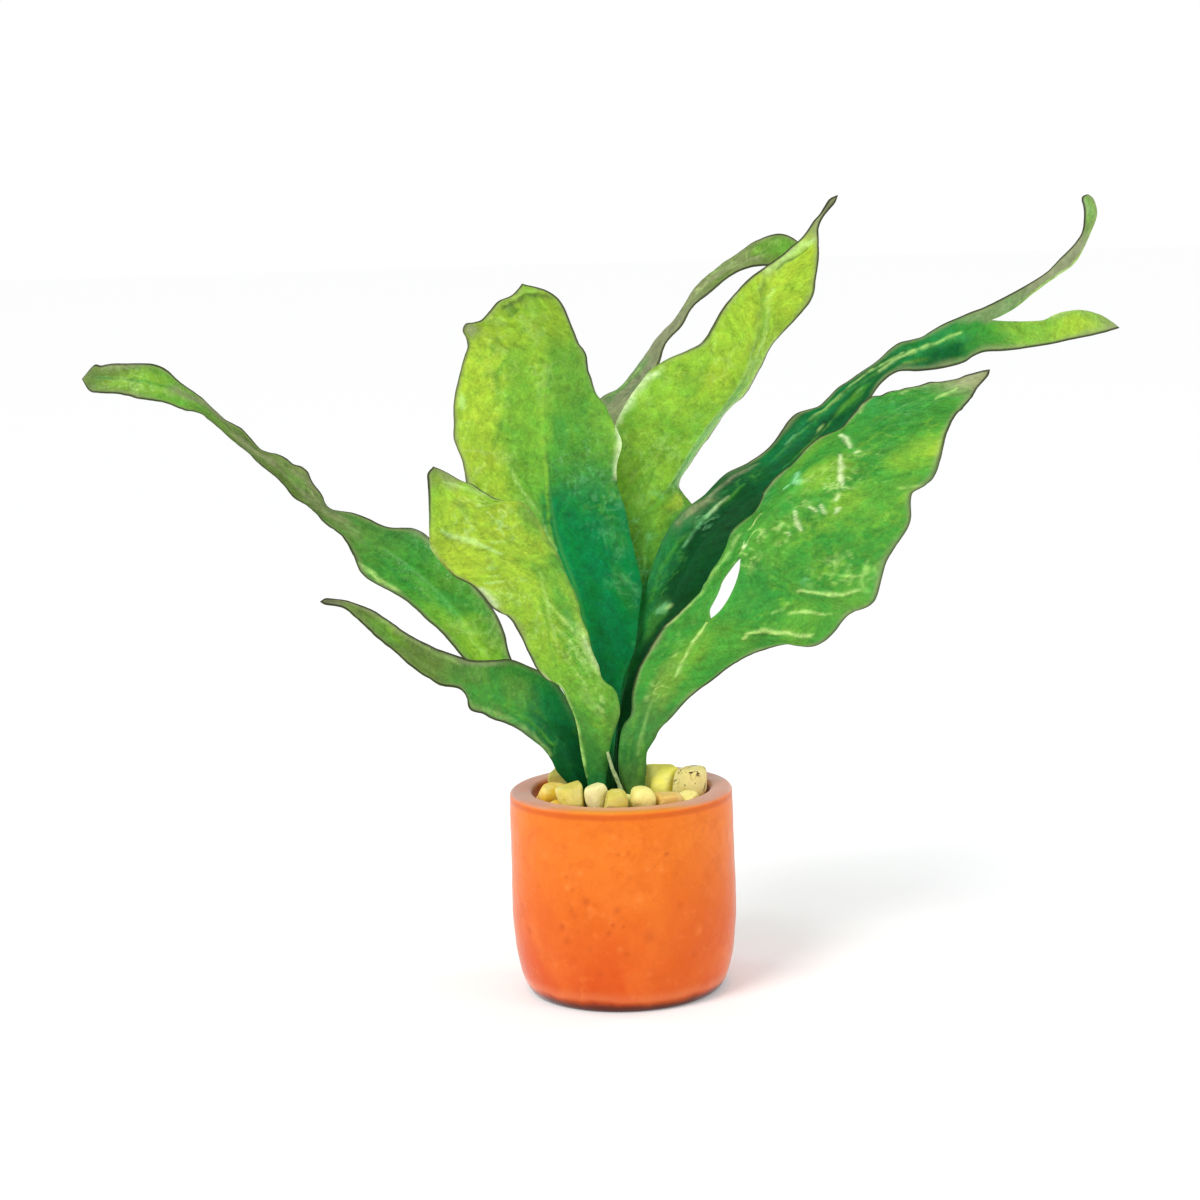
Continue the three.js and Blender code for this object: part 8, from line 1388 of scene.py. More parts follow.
        [0.013, -0.395, 0.919, 7.47], [-0.722, -0.089, 0.686, 7.99], [-0.098, -0.995, 0.017, 5.58], [0.931, -0.365, -0.028, 7.96],
        [0, 0, -1, 6.03], [-0.715, 0.67, 0.201, 6.23], [-0.396, -0.709, 0.584, 6.58], [0.505, 0.022, -0.863, 6.7],
        [-0.254, -0.904, -0.344, 7.22], [0.714, 0.632, 0.302, 6.44], [0.066, 0.297, 0.953, 5.8], [0.736, -0.669, -0.103, 6.92],
        [0.172, 0.934, -0.313, 6.33], [-0.979, -0.167, -0.119, 6.91], [1, 0, 0, 7.92], [0.002, 0.932, 0.362, 6.38],
        [0.01, 0.998, 0.055, 5.57], [0.011, 0.918, -0.397, 6.1], [0.012, 0.956, -0.294, 5.79], [0.012, 0.983, -0.181, 5.6],
        [0.011, 0.998, -0.063, 5.52],
    ]],
    [[-15.84, -18.13, 94.98], [
        [0.478, -0.467, 0.744, 7.41], [-0.977, 0.212, -0.035, 5.94], [-0.224, -0.975, 0.016, 5.59], [0, 0, -1, 6.03],
        [-0.287, -0.283, -0.915, 7.3], [-0.148, -0.955, -0.256, 6.92], [0.604, -0.469, -0.644, 6.38], [0.528, 0.658, -0.538, 7.04],
        [0.515, -0.169, 0.84, 6.36], [-0.176, 0.978, 0.115, 6.81], [-0.92, -0.392, 0.004, 6.49], [-0.604, -0.036, 0.796, 6.51],
        [-0.111, -0.768, 0.631, 6.31], [1, 0, 0, 7.92], [0, 0, 1, 7.92], [0.593, 0.705, 0.388, 7.02],
        [0.196, 0.981, 0.003, 4.94], [0.686, 0.727, 0.003, 5.64], [-0.039, 0.713, 0.7, 8.42],
    ]],
]

AERIAL_ROOT = [
    [-6.7, -14.6, 132.9, 0.8], [-5.5, -14.2, 127.9, 0.95], [-4.1, -13.8, 122.8, 1.05],
    [-2.3, -13.4, 118.3, 1.15], [-0.8, -12.9, 114, 1.2], [0.5, -12.6, 110.2, 1.3],
    [1.6, -13.6, 105.5, 1.4], [2.2, -15, 100.7, 1.5], [2.4, -15.6, 95, 1.6], [2.4, -15.8, 88.7, 1.6],
]

FOOT_Z = 100.6
POT_H, RIM_R, SIDE_R, WALL = 110.3, 60.0, 60.7, 11.7
MIX_TOP = 88.25


# ---------------------------------------------------------------- colour
def lin(r, g, b):
    out = []
    for v in (r, g, b):
        v /= 255.0
        out.append(v / 12.92 if v <= 0.04045 else ((v + 0.055) / 1.055) ** 2.4)
    return out


# white, pale and mint also serve as painted highlights and glints on the blades; black, dark, deep and teal also serve
# as painted shade where a blade lies in shadow
PALETTE = {
    "lime": lin(146, 196, 56),
    "yellow": lin(176, 206, 56),
    "mid": lin(112, 176, 56),
    "green": lin(72, 154, 54),
    "deep": lin(34, 136, 60),
    "teal": lin(0, 134, 64),
    "dark": lin(2, 94, 40),
    "black": lin(2, 70, 26),
    "pale": lin(200, 240, 136),
    "white": lin(232, 255, 190),
    "mint": lin(146, 228, 156),
    "margin": lin(152, 160, 112),
    "olive": lin(110, 140, 62),
    "grey": lin(142, 150, 112),
    "dry": lin(78, 80, 62),
}


# ---------------------------------------------------------------- noise
def hashed(i, j, seed):
    v = np.sin(i * 127.1 + j * 311.7 + seed * 74.7) * 43758.5453
    return v - np.floor(v)


def noise2(x, y, seed=0.0):
    """Smooth value noise in -1..1."""
    xi, yi = np.floor(x), np.floor(y)
    fx, fy = x - xi, y - yi
    fx, fy = fx * fx * fx * (fx * (fx * 6 - 15) + 10), fy * fy * fy * (fy * (fy * 6 - 15) + 10)
    a, b = hashed(xi, yi, seed), hashed(xi + 1, yi, seed)
    c, d = hashed(xi, yi + 1, seed), hashed(xi + 1, yi + 1, seed)
    return 2 * ((a * (1 - fx) + b * fx) * (1 - fy) + (c * (1 - fx) + d * fx) * fy) - 1


def fbm2(x, y, seed=0.0, octaves=3):
    total, amp, norm = 0.0, 1.0, 0.0
    for k in range(octaves):
        total = total + amp * noise2(x * 2**k, y * 2**k, seed + 17.3 * k)
        norm += amp
        amp *= 0.5
    return total / norm


def noise3(p, seed=0.0):
    """Smooth value noise in -1..1 at points (n, 3)."""
    q = np.floor(p)
    f = p - q
    f = f * f * (3 - 2 * f)
    out = 0.0
    for dx in (0, 1):
        for dy in (0, 1):
            for dz in (0, 1):
                w = (
                    (f[:, 0] if dx else 1 - f[:, 0])
                    * (f[:, 1] if dy else 1 - f[:, 1])
                    * (f[:, 2] if dz else 1 - f[:, 2])
                )
                v = np.sin((q[:, 0] + dx) * 127.1 + (q[:, 1] + dy) * 311.7 + (q[:, 2] + dz) * 74.7 + seed * 53.9) * 43758.5453
                out = out + w * (v - np.floor(v))
    return 2 * out - 1


def fbm3(p, seed=0.0, octaves=3):
    total, amp, norm = 0.0, 1.0, 0.0
    for k in range(octaves):
        total = total + amp * noise3(p * 2.0**k, seed + 9.1 * k)
        norm += amp
        amp *= 0.5
    return total / norm


def ramp(x, a, b):
    t = np.clip((x - a) / (b - a), 0, 1)
    return t * t * (3 - 2 * t)


# ---------------------------------------------------------------- mesh helpers
def normals_of(pts, tris):
    n = np.zeros_like(pts)
    a, b, c = pts[tris[:, 0]], pts[tris[:, 1]], pts[tris[:, 2]]
    f = np.cross(b - a, c - a)
    for k in range(3):
        np.add.at(n, tris[:, k], f)
    length = np.linalg.norm(n, axis=1, keepdims=True)
    return n / np.maximum(length, 1e-12)


def make_object(name, verts_mm, faces, smooth=True, sharp=None):
    mesh = bpy.data.meshes.new(name)
    mesh.from_pydata((np.asarray(verts_mm) * MM).tolist(), [], faces)
    mesh.update()
    if smooth:
        mesh.polygons.foreach_set("use_smooth", [True] * len(mesh.polygons))
        if sharp:
            mesh.set_sharp_from_angle(angle=math.radians(sharp))
    ob = bpy.data.objects.new(name, mesh)
    bpy.context.scene.collection.objects.link(ob)
    return ob


def put_float(mesh, name, values):
    layer = mesh.attributes.new(name, "FLOAT", "POINT")
    layer.data.foreach_set("value", np.asarray(values, dtype=np.float32))


def put_colour(mesh, name, rgb):
    layer = mesh.attributes.new(name, "FLOAT_COLOR", "POINT")
    rgba = np.ones((len(rgb), 4), dtype=np.float32)
    rgba[:, :3] = rgb
    layer.data.foreach_set("color", rgba.ravel())


def catmull(points, sub):
    p = np.asarray(points, float)
    q = np.vstack([2 * p[:1] - p[1:2], p, 2 * p[-1:] - p[-2:-1]])
    t = np.arange(sub)[:, None] / sub
    out = []
    for i in range(len(p) - 1):
        a, b, c, d = q[i], q[i + 1], q[i + 2], q[i + 3]
        out.append(0.5 * (2 * b + (c - a) * t + (2 * a - 5 * b + 4 * c - d) * t**2 + (3 * b - a - 3 * c + d) * t**3))
    out.append(p[-1:])
    return np.vstack(out)


# ---------------------------------------------------------------- shader helpers
class Tree:
    def __init__(self, name):
        self.material = bpy.data.materials.new(name)
        self.material.use_nodes = True
        self.tree = self.material.node_tree
        self.tree.nodes.clear()
        self.out = self.add("ShaderNodeOutputMaterial")
        self.bsdf = self.add("ShaderNodeBsdfPrincipled")
        self.link(self.bsdf.outputs[0], self.out.inputs[0])

    def add(self, kind, **values):
        node = self.tree.nodes.new(kind)
        for k, v in values.items():
            setattr(node, k, v)
        return node

    def link(self, a, b):
        self.tree.links.new(a, b)

    def put(self, socket, value):
        if hasattr(value, "is_output"):
            self.link(value, socket)
        elif isinstance(value, (tuple, list)) and len(value) == 3 and socket.type == "RGBA":
            socket.default_value = (*value, 1)
        else:
            socket.default_value = value

    def math(self, op, a, b=0.0, c=None, clamp=False):
        n = self.add("ShaderNodeMath", operation=op, use_clamp=clamp)
        self.put(n.inputs[0], a)
        self.put(n.inputs[1], b)
        if c is not None:
            self.put(n.inputs[2], c)
        return n.outputs[0]

    def mix(self, factor, a, b, blend="MIX"):
        n = self.add("ShaderNodeMix", data_type="RGBA", blend_type=blend)
        self.put(n.inputs[0], factor)
        self.put(n.inputs[6], a)
        self.put(n.inputs[7], b)
        return n.outputs[2]

    def attr(self, name, out="Fac"):
        n = self.add("ShaderNodeAttribute", attribute_name=name)
        return n.outputs[out]

    def coords(self):
        return self.add("ShaderNodeTexCoord").outputs["Object"]

    def noise(self, scale, detail=3.0, rough=0.55, vector=None, distortion=0.0):
        n = self.add("ShaderNodeTexNoise")
        self.put(n.inputs["Vector"], vector if vector is not None else self.coords())
        n.inputs["Scale"].default_value = scale
        n.inputs["Detail"].default_value = detail
        n.inputs["Roughness"].default_value = rough
        n.inputs["Distortion"].default_value = distortion
        return n.outputs["Fac"]

    def voronoi(self, scale, feature="F1", vector=None, randomness=1.0, out="Distance"):
        n = self.add("ShaderNodeTexVoronoi", feature=feature)
        self.put(n.inputs["Vector"], vector if vector is not None else self.coords())
        n.inputs["Scale"].default_value = scale
        n.inputs["Randomness"].default_value = randomness
        return n.outputs[out]

    def span(self, value, a, b, lo=0.0, hi=1.0, smooth=True):
        n = self.add("ShaderNodeMapRange", interpolation_type="SMOOTHSTEP" if smooth else "LINEAR")
        self.put(n.inputs["Value"], value)
        n.inputs["From Min"].default_value = a
        n.inputs["From Max"].default_value = b
        n.inputs["To Min"].default_value = lo
        n.inputs["To Max"].default_value = hi
        return n.outputs["Result"]

    def vector(self, x, y, z=0.0):
        n = self.add("ShaderNodeCombineXYZ")
        for s, v in zip(n.inputs, (x, y, z)):
            self.put(s, v)
        return n.outputs[0]

    def bump(self, height, strength, distance, normal=None):
        n = self.add("ShaderNodeBump")
        n.inputs["Strength"].default_value = strength
        n.inputs["Distance"].default_value = distance
        self.put(n.inputs["Height"], height)
        if normal is not None:
            self.put(n.inputs["Normal"], normal)
        return n.outputs[0]


# ---------------------------------------------------------------- fronds
def paint(s, c, w, length, data):
    """Blade colour and relief at every point, from the frond's main tones and its patches and lines, among them painted
    shade and painted highlights.
    """
    seed = data["seed"]
    knots = [k[0] * length for k in data["tone"]]
    table = np.array([PALETTE[k[1]] for k in data["tone"]])
    colour = np.stack([np.interp(s, knots, table[:, k]) for k in range(3)], 1)
    lift = np.zeros(len(s))
    rim = np.ones(len(s))
    # patches have uneven outlines, and lines waver and break up
    sp = s + 5.0 * fbm2(s / 13, c / 10, seed + 31, 3)
    cp = c + 3.6 * fbm2(s / 11, c / 9, seed + 47, 3)
    wp = w * (cp / np.where(np.abs(c) > 1e-6, c, 1.0)).clip(0.4, 1.6) if len(s) else w
    sl = s + 0.6 * noise2(s / 4.5, c / 4.5, seed + 53)
    cl = c + 0.6 * noise2(s / 4.5, c / 4.5, seed + 59)
    for number, op in enumerate(data["paint"]):
        kind, body, tint, strength = op[0], op[1], op[2], op[3]
        if kind == "box":
            s0, s1, w0, w1, fs, fw = body
            m = ramp(sp, s0 - fs, s0 + fs) * (1 - ramp(sp, s1 - fs, s1 + fs)) * ramp(wp, w0 - fw, w0 + fw) * (1 - ramp(wp, w1 - fw, w1 + fw))
        elif kind == "rim":
            s0, s1, w0, w1 = body
            rim *= 1 - strength * ramp(s, s0 - 12, s0 + 12) * (1 - ramp(s, s1 - 12, s1 + 12)) * (w > w0) * (w < w1)
            continue
        elif kind == "dot":
            s0, c0, rs, rc = body
            m = 1 - ramp(np.hypot((sp - s0) / rs, (cp - c0) / rc), 0.35, 1.0)
        # crumple: thin wandering marks in a soft patch; in pale tints they are painted glints on the puckers, in dark
        # tints painted shade in their creases
        elif kind == "crumple":
            s0, c0, rs, rc, scale = body
            m = 1 - ramp(np.hypot((sp - s0) / rs, (cp - c0) / rc), 0.45, 1.0)
            worm = fbm2(s / scale + number, c / (0.8 * scale), seed + 61 + number, 2)
            m = m * np.exp(-((worm / 0.13) ** 2)) * ramp(noise2(s / (1.6 * scale), c / (1.6 * scale), seed + number), -0.35, 0.35)
            lift += op[4] * m
        else:
            pts, width = body
            pts = np.array(pts, float)
            best = np.full(len(s), 1e9)
            for a, b in zip(pts[:-1], pts[1:]):
                ab = b - a
                t = np.clip(((sl - a[0]) * ab[0] + (cl - a[1]) * ab[1]) / max(ab @ ab, 1e-9), 0, 1)
                best = np.minimum(best, np.hypot(sl - a[0] - t * ab[0], cl - a[1] - t * ab[1]))
            ends = np.minimum(np.hypot(s - pts[0, 0], c - pts[0, 1]), np.hypot(s - pts[-1, 0], c - pts[-1, 1]))
            width = width * (0.62 + 0.38 * ramp(ends, 0, 7)) * (1 + 0.3 * noise2(s / 5, c / 5, seed + number))
            m = np.exp(-((best / width) ** 2)) * np.maximum(0.45 + 0.55 * ramp(noise2(s / 3.4, c / 3.4, seed + 71 + number), -0.75, 0.05), 0.0 if strength < 0.8 else 0.85)
            if len(op) > 4:
                lift += op[4] * np.exp(-((best / (width * 1.15)) ** 2))
        if tint:
            colour += (np.array(PALETTE[tint]) - colour) * (m * strength)[:, None]
    return colour, lift, rim


def frond(data):
    rows = data["rows"]
    sub = data.get("sub", 4)
    P0, M0, N0, Q0 = (np.array([r[k] for r in rows], float) for k in (0, 1, -2, -1))
    same = np.abs(M0 - N0).max(axis=1) < 1e-6
    P, M, N, Q = (catmull(a, sub) for a in (P0, M0, N0, Q0))
    count = len(P)
    joined = np.zeros(count, bool)
    for i in range(len(rows)):
        joined[i * sub] = same[i]
        if i + 1 < len(rows) and same[i] and same[i + 1]:
            joined[i * sub : (i + 1) * sub + 1] = True
    middle = (M + N) / 2
    M[joined] = middle[joined]
    N[joined] = middle[joined]

    steps = np.linalg.norm(np.diff(middle, axis=0), axis=1)
    s_row = np.concatenate([[0], np.cumsum(steps)])
    length = s_row[-1]
    ahead = np.gradient(middle, axis=0)
    across = Q - P
    normal = np.cross(across, ahead)
    normal /= np.maximum(np.linalg.norm(normal, axis=1, keepdims=True), 1e-9)
    # the last rib has no width, so its normal follows its neighbour's
    for i in range(count - 3, count):
        normal[i] = normal[count - 4]

    K = data["cols"]
    v = (np.arange(K + 1) / K) ** 1.15
    fork = data.get("fork")
    fork_s = s_row[fork * sub] if fork else None
    # in the arms of a fork each rib has its own midrib halfway across
    rib_v = ramp(s_row, fork_s - 26, fork_s + 30) * 0.5 if fork else np.zeros(count)

    base, S, C, W, RIB, U = [], [], [], [], [], []
    for side, (inner, outer) in ((-1, (M, P)), (1, (N, Q))):
        width = np.linalg.norm(outer - inner, axis=1)
        bulge = width * data["camber"]
        a = inner[:, None, :] + (outer - inner)[:, None, :] * v[None, :, None]
        a = a + normal[:, None, :] * (bulge[:, None] * 4 * v[None, :] * (1 - v[None, :]))[:, :, None]
        base.append(a)
        S.append(np.repeat(s_row[:, None], K + 1, 1))
        C.append(side * width[:, None] * v[None, :])
        W.append(side * np.repeat(v[None, :], count, 0))
        RIB.append(np.abs(v[None, :] - rib_v[:, None]) * width[:, None])
        U.append(np.repeat(width[:, None], K + 1, 1))
    base, S, C, W, RIB, U = (np.stack(a) for a in (base, S, C, W, RIB, U))
    shape = S.shape
    flat = base.reshape(-1, 3)
    _, first, index = np.unique(np.round(flat, 3), axis=0, return_index=True, return_inverse=True)
    index = index.reshape(shape)
    pts = flat[first]
    s, c, w, rib, wide = (a.reshape(-1)[first] for a in (S, C, W, RIB, U))

    # UV for baking: the two halves meet where the blade is whole and part where it is parted
    gap = np.where(joined, 0.0, 0.004)
    uvx = 0.24 + 0.214 * W + np.array([-1, 1])[:, None, None] * gap[None, :, None]
    uvy = 0.015 + 0.97 * S / length

    quads, uvs = [], []
    for side in (0, 1):
        I = index[side]
        a, b, cc, d = I[:-1, 1:], I[:-1, :-1], I[1:, :-1], I[1:, 1:]
        if side == 1:
            a, b, cc, d = b, a, d, cc
        quads.append(np.stack([a, b, cc, d], -1).reshape(-1, 4))
        X, Y = uvx[side], uvy[side]
        corner = [(X[:-1, 1:], Y[:-1, 1:]), (X[:-1, :-1], Y[:-1, :-1]), (X[1:, :-1], Y[1:, :-1]), (X[1:, 1:], Y[1:, 1:])]
        if side == 1:
            corner = [corner[1], corner[0], corner[3], corner[2]]
        uvs.append(np.stack([np.stack(k, -1) for k in corner], -2).reshape(-1, 4, 2))
    quads, uvs = np.concatenate(quads), np.concatenate(uvs)

    sheet, sheet_uv = [], []
    for q, t in zip(quads.tolist(), uvs.tolist()):
        keep = [k for k in range(4) if q[k] != q[k - 1]]
        if len(keep) < 3 or len({q[k] for k in keep}) < 3:
            continue
        sheet.append([q[k] for k in keep])
        sheet_uv.append([t[k] for k in keep])
    tris = np.array([[f[0], f[k], f[k + 1]] for f in sheet for k in range(1, len(f) - 1)])
    n0 = normals_of(pts, tris)

    # relief: ruffled margins, broad waves, quilting between the side veins, fine crinkles
    seed = data["seed"]
    u = s / length
    grow = ramp(s, *data.get("grow", (35, 110)))
    aw = np.abs(w)
    away = np.clip(rib / np.maximum(wide, 1.0), 0, 1) if fork else aw
    lam = data.get("ruffle_len", 34)
    phase = 2 * np.pi * s / lam + np.where(w < 0, 0.0, 2.3) + 1.3 * np.sin(s / 47 + seed)
    ruffle = data["ruffle"] * np.sin(phase) * (0.6 + 0.4 * noise2(s / 60, w * 0 + seed, seed)) * away**2.2
    broad = data.get("broad", 1.0) * fbm2(s / 55 + seed, c / 38, seed, 2) * ramp(away, 0.05, 0.5)
    pitch = data.get("pitch", 8.0)
    vein_phase = (s - data.get("slant", 0.75) * rib) / pitch + 0.35 * np.sin(s / 19 + seed) + 0.18 * noise2(s / 13, c / 11, seed + 3)
    uneven = 0.45 + 0.55 * noise2(s / 21, c / 15, seed + 6)
    quilt = -data.get("quilt", 0.35) * uneven * np.cos(2 * np.pi * vein_phase) * ramp(rib, 1.5, 6) * (1 - ramp(away, 0.72, 0.97)) * np.clip(wide / 18, 0, 1)
    streak = noise2(vein_phase * 1.7, c / 16, seed + 9)
    crinkle = data.get("crinkle", 0.25) * (0.8 * fbm2(s / 8, c / 7, seed + 5, 2) + 0.45 * fbm2(s / 3.2, c / 2.8, seed + 15, 2) + 0.2 * streak) * ramp(rib, 1, 4)
    colour, lift, rim_on = paint(s, c, w, length, data)
    facing = -1.0 if n0[:, 1].mean() > 0 else 1.0
    d = (ruffle + broad) * grow * ramp(wide, 3, 14) + (quilt + crinkle) * grow + facing * lift
    pts = pts + n0 * d[:, None]
    n1 = normals_of(pts, tris)

    # thickness: a round stalk that flattens into the blade, with the midrib proud on both faces
    stalk = 1 - ramp(s, 4, data.get("stalk", 62))
    across_rel = np.clip(np.abs(c) / np.maximum(wide, 0.1), 0, 1)
    round_off = np.sqrt(np.maximum(1 - (0.97 * across_rel) ** 2, 0.0))
    blade = 0.36 * (1 - 0.35 * ramp(away, 0.85, 1.0)) * (1 - 0.4 * ramp(u, 0.9, 1.0))
    half = stalk * (2.1 * round_off + 0.12) + (1 - stalk) * blade
    taper = (1 - 0.75 * u) * (1 - stalk)
    ridge = data.get("rib", 1.0) * taper * np.exp(-((rib / (1.5 - 0.6 * u)) ** 2))
    front, back = (half + 0.35 * ridge), (half + 1.0 * ridge)
    if facing < 0:
        front, back = back, front
    top, under = pts + n1 * front[:, None], pts - n1 * back[:, None]
    foot = FOOT_Z - 0.9
    low = ramp(s, 0, 3)
    for a in (top, under):
        a[:, 2] = np.where(s < 0.01, foot, np.maximum(a[:, 2], foot + 0.1 * low))
    verts = np.vstack([top, under])
    m = len(pts)

    faces = [f for f in sheet] + [[k + m for k in reversed(f)] for f in sheet]
    loops = [t for t in sheet_uv] + [[[x + 0.5, y] for x, y in reversed(t)] for t in sheet_uv]
    edges = {}
    for f, t in zip(sheet, sheet_uv):
        cx, cy = sum(x for x, _ in t) / len(t), sum(y for _, y in t) / len(t)
        for k in range(len(f)):
            a, b = f[k], f[(k + 1) % len(f)]
            if (b, a) in edges:
                del edges[(b, a)]
            else:
                edges[(a, b)] = (t[k], t[(k + 1) % len(f)], cx, cy)
    for (a, b), (ta, tb, cx, cy) in edges.items():
        mx, my = (ta[0] + tb[0]) / 2 - cx, (ta[1] + tb[1]) / 2 - cy
        r = 0.0035 / max(math.hypot(mx, my), 1e-9)
        ox, oy = mx * r, my * r
        faces.append([b, a, a + m, b + m])
        loops.append([tb, ta, [ta[0] + ox, ta[1] + oy], [tb[0] + ox, tb[1] + oy]])

    ob = make_object(data["name"].replace("frond", "leaf"), verts, faces, sharp=65)
    mesh = ob.data
    layer = mesh.uv_layers.new(name="OFBake")
    layer.data.foreach_set("uv", np.array([x for f in loops for p in f for x in p], dtype=np.float32))
    both = lambda a: np.concatenate([a, a])
    put_float(mesh, "blade_s", both(s * MM))
    put_float(mesh, "blade_c", both(c * MM))
    put_float(mesh, "rib", both(data.get("rib_tone", 0.5) * np.exp(-((rib / (1.4 - 0.6 * u)) ** 2)) * (1 - 0.7 * stalk)))
    put_float(mesh, "vein", both(vein_phase))
    put_float(mesh, "vein_on", both(ramp(rib, 1.0, 3.5) * (1 - ramp(away, 0.8, 1.0)) * grow * np.clip(wide / 14, 0, 1)))
    edge_mm = np.where(wide > 1, wide * (1 - across_rel), 0.0)
    rim_from = data.get("rim_from", (30, 80))
    band = 4.2 + 1.6 * noise2(s / 14, w * 0 + np.sign(w) * 3, seed + 12)
    put_float(mesh, "rim", both((1 - ramp(edge_mm / band, 0.0, 1.0)) * ramp(s, *rim_from) * rim_on))
    put_float(mesh, "edge", both((1 - ramp(edge_mm, 0.6, 1.6)) * ramp(s, *rim_from) * (0.1 + 0.9 * rim_on)))
    under_side = np.zeros(2 * m)
    if facing > 0:
        under_side[m:] = 1
    else:
        under_side[:m] = 1
    put_float(mesh, "under", under_side)
    put_float(mesh, "dull", both(1 - ramp(colour @ np.array([0.21, 0.72, 0.07]), 0.05, 0.24)))
    put_colour(mesh, "tint", both(colour))
    ob.data.materials.append(leaf_material())
    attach(ob, "root")
    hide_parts(data["name"])
    return ob


_leaf = None


def leaf_material():
    global _leaf
    if _leaf:
        return _leaf
    t = Tree("frond_leaf")
    along, over = t.attr("blade_s"), t.attr("blade_c")
    where = t.vector(along, over)
    tint = t.attr("tint", "Color")
    # soft mottling at four scales, and faint streaks that follow the side veins
    cloud = t.noise(40, 3, 0.55, where, 0.6)
    patch = t.noise(120, 3, 0.55, where, 0.9)
    mottle = t.noise(270, 3, 0.6, where, 0.9)
    fine = t.noise(620, 3, 0.65, where, 0.4)
    streak = t.noise(1.0, 3, 0.55, t.vector(t.math("MULTIPLY", t.attr("vein"), 1.5), t.math("MULTIPLY", over, 48.0)), 0.2)
    value = t.math("ADD", t.span(cloud, 0.3, 0.7, 0.83, 1.03, False), t.span(patch, 0.3, 0.7, -0.15, 0.15, False))
    value = t.math("ADD", value, t.span(mottle, 0.3, 0.7, -0.16, 0.16, False))
    value = t.math("ADD", value, t.span(fine, 0.3, 0.7, -0.1, 0.1, False))
    value = t.math("ADD", value, t.math("MULTIPLY", t.span(streak, 0.3, 0.7, -0.05, 0.05, False), t.attr("vein_on")))
    hsv = t.add("ShaderNodeHueSaturation")
    t.put(hsv.inputs["Hue"], t.span(t.noise(95, 4, 0.6, where, 0.8), 0.3, 0.7, 0.491, 0.514, False))
    hsv.inputs["Saturation"].default_value = 1.0
    t.put(hsv.inputs["Value"], value)
    t.put(hsv.inputs["Color"], tint)
    colour = hsv.outputs[0]
    # short wandering marks where the skin puckers: the pale ones are painted glints, the dark ones painted shade
    lighter = t.mix(1.0, colour, (1.75, 1.42, 1.5), "MULTIPLY")
    darker = t.mix(1.0, colour, (0.6, 0.76, 0.5), "MULTIPLY")
    pucker_glint = t.math("ABSOLUTE", t.math("SUBTRACT", t.noise(150, 2, 0.5, where, 1.4), 0.5))
    pucker_glint = t.math("MULTIPLY", t.span(pucker_glint, 0.0, 0.026, 1.0, 0.0), t.span(t.noise(75, 3, 0.6, where), 0.48, 0.64, 0.0, 0.55))
    colour = t.mix(pucker_glint, colour, lighter)
    shade = t.math("ABSOLUTE", t.math("SUBTRACT", t.noise(185, 2, 0.5, where, 1.2), 0.52))
    shade = t.math("MULTIPLY", t.span(shade, 0.0, 0.028, 1.0, 0.0), t.span(t.noise(62, 3, 0.6, where), 0.5, 0.66, 0.0, 0.5))
    colour = t.mix(shade, colour, darker)
    # side veins, faintly pale, with a fine net between them
    saw = t.math("FRACT", t.attr("vein"))
    dist = t.math("ABSOLUTE", t.math("SUBTRACT", saw, 0.5))
    vein = t.math("MULTIPLY", t.span(dist, 0.36, 0.5, 0.0, 1.0), t.attr("vein_on"))
    net_where = t.vector(t.math("MULTIPLY", along, 0.75), over)
    net = t.voronoi(420, "DISTANCE_TO_EDGE", net_where)
    net = t.math("MULTIPLY", t.span(net, 0.0, 0.09, 1.0, 0.0), t.attr("vein_on"))
    broken = t.span(t.noise(60, 3, 0.6, where), 0.42, 0.68, 0.0, 0.24)
    colour = t.mix(t.math("MULTIPLY", vein, broken), colour, lighter)
    colour = t.mix(t.math("MULTIPLY", net, 0.16), colour, darker)
    # midrib and margin
    colour = t.mix(t.attr("rib"), colour, lin(158, 204, 92))
    worn = t.span(t.noise(110, 3, 0.6, where), 0.3, 0.7, 0.45, 0.85)
    colour = t.mix(t.math("MULTIPLY", t.attr("rim"), worn), colour, PALETTE["margin"])
    colour = t.mix(t.math("MULTIPLY", t.attr("edge"), 0.9), colour, lin(38, 40, 26))
    # the underside is paler and duller
    colour = t.mix(t.math("MULTIPLY", t.attr("under"), 0.28), colour, lin(150, 186, 112))
    t.put(t.bsdf.inputs["Base Color"], colour)
    rough = t.math("ADD", t.span(t.noise(60, 3, 0.6, where), 0.3, 0.7, 0.2, 0.36, False), t.math("MULTIPLY", t.attr("under"), 0.16))
    rough = t.math("ADD", rough, t.math("MULTIPLY", t.attr("dull"), 0.34))
    t.put(t.bsdf.inputs["Roughness"], rough)
    t.bsdf.inputs["Specular IOR Level"].default_value = 0.13
    height = t.math("ADD", t.math("MULTIPLY", net, -0.5), t.math("ADD", t.math("MULTIPLY", vein, 0.35), t.math("ADD", t.math("MULTIPLY", patch, 1.6), t.math("ADD", t.math("MULTIPLY", mottle, 0.9), t.math("MULTIPLY", pucker_glint, 0.5)))))
    height = t.math("MULTIPLY", height, t.math("SUBTRACT", 1.0, t.math("MULTIPLY", t.attr("dull"), 0.7)))
    t.put(t.bsdf.inputs["Normal"], t.bump(height, 0.5, 0.0006))
    _leaf = t.material
    return _leaf


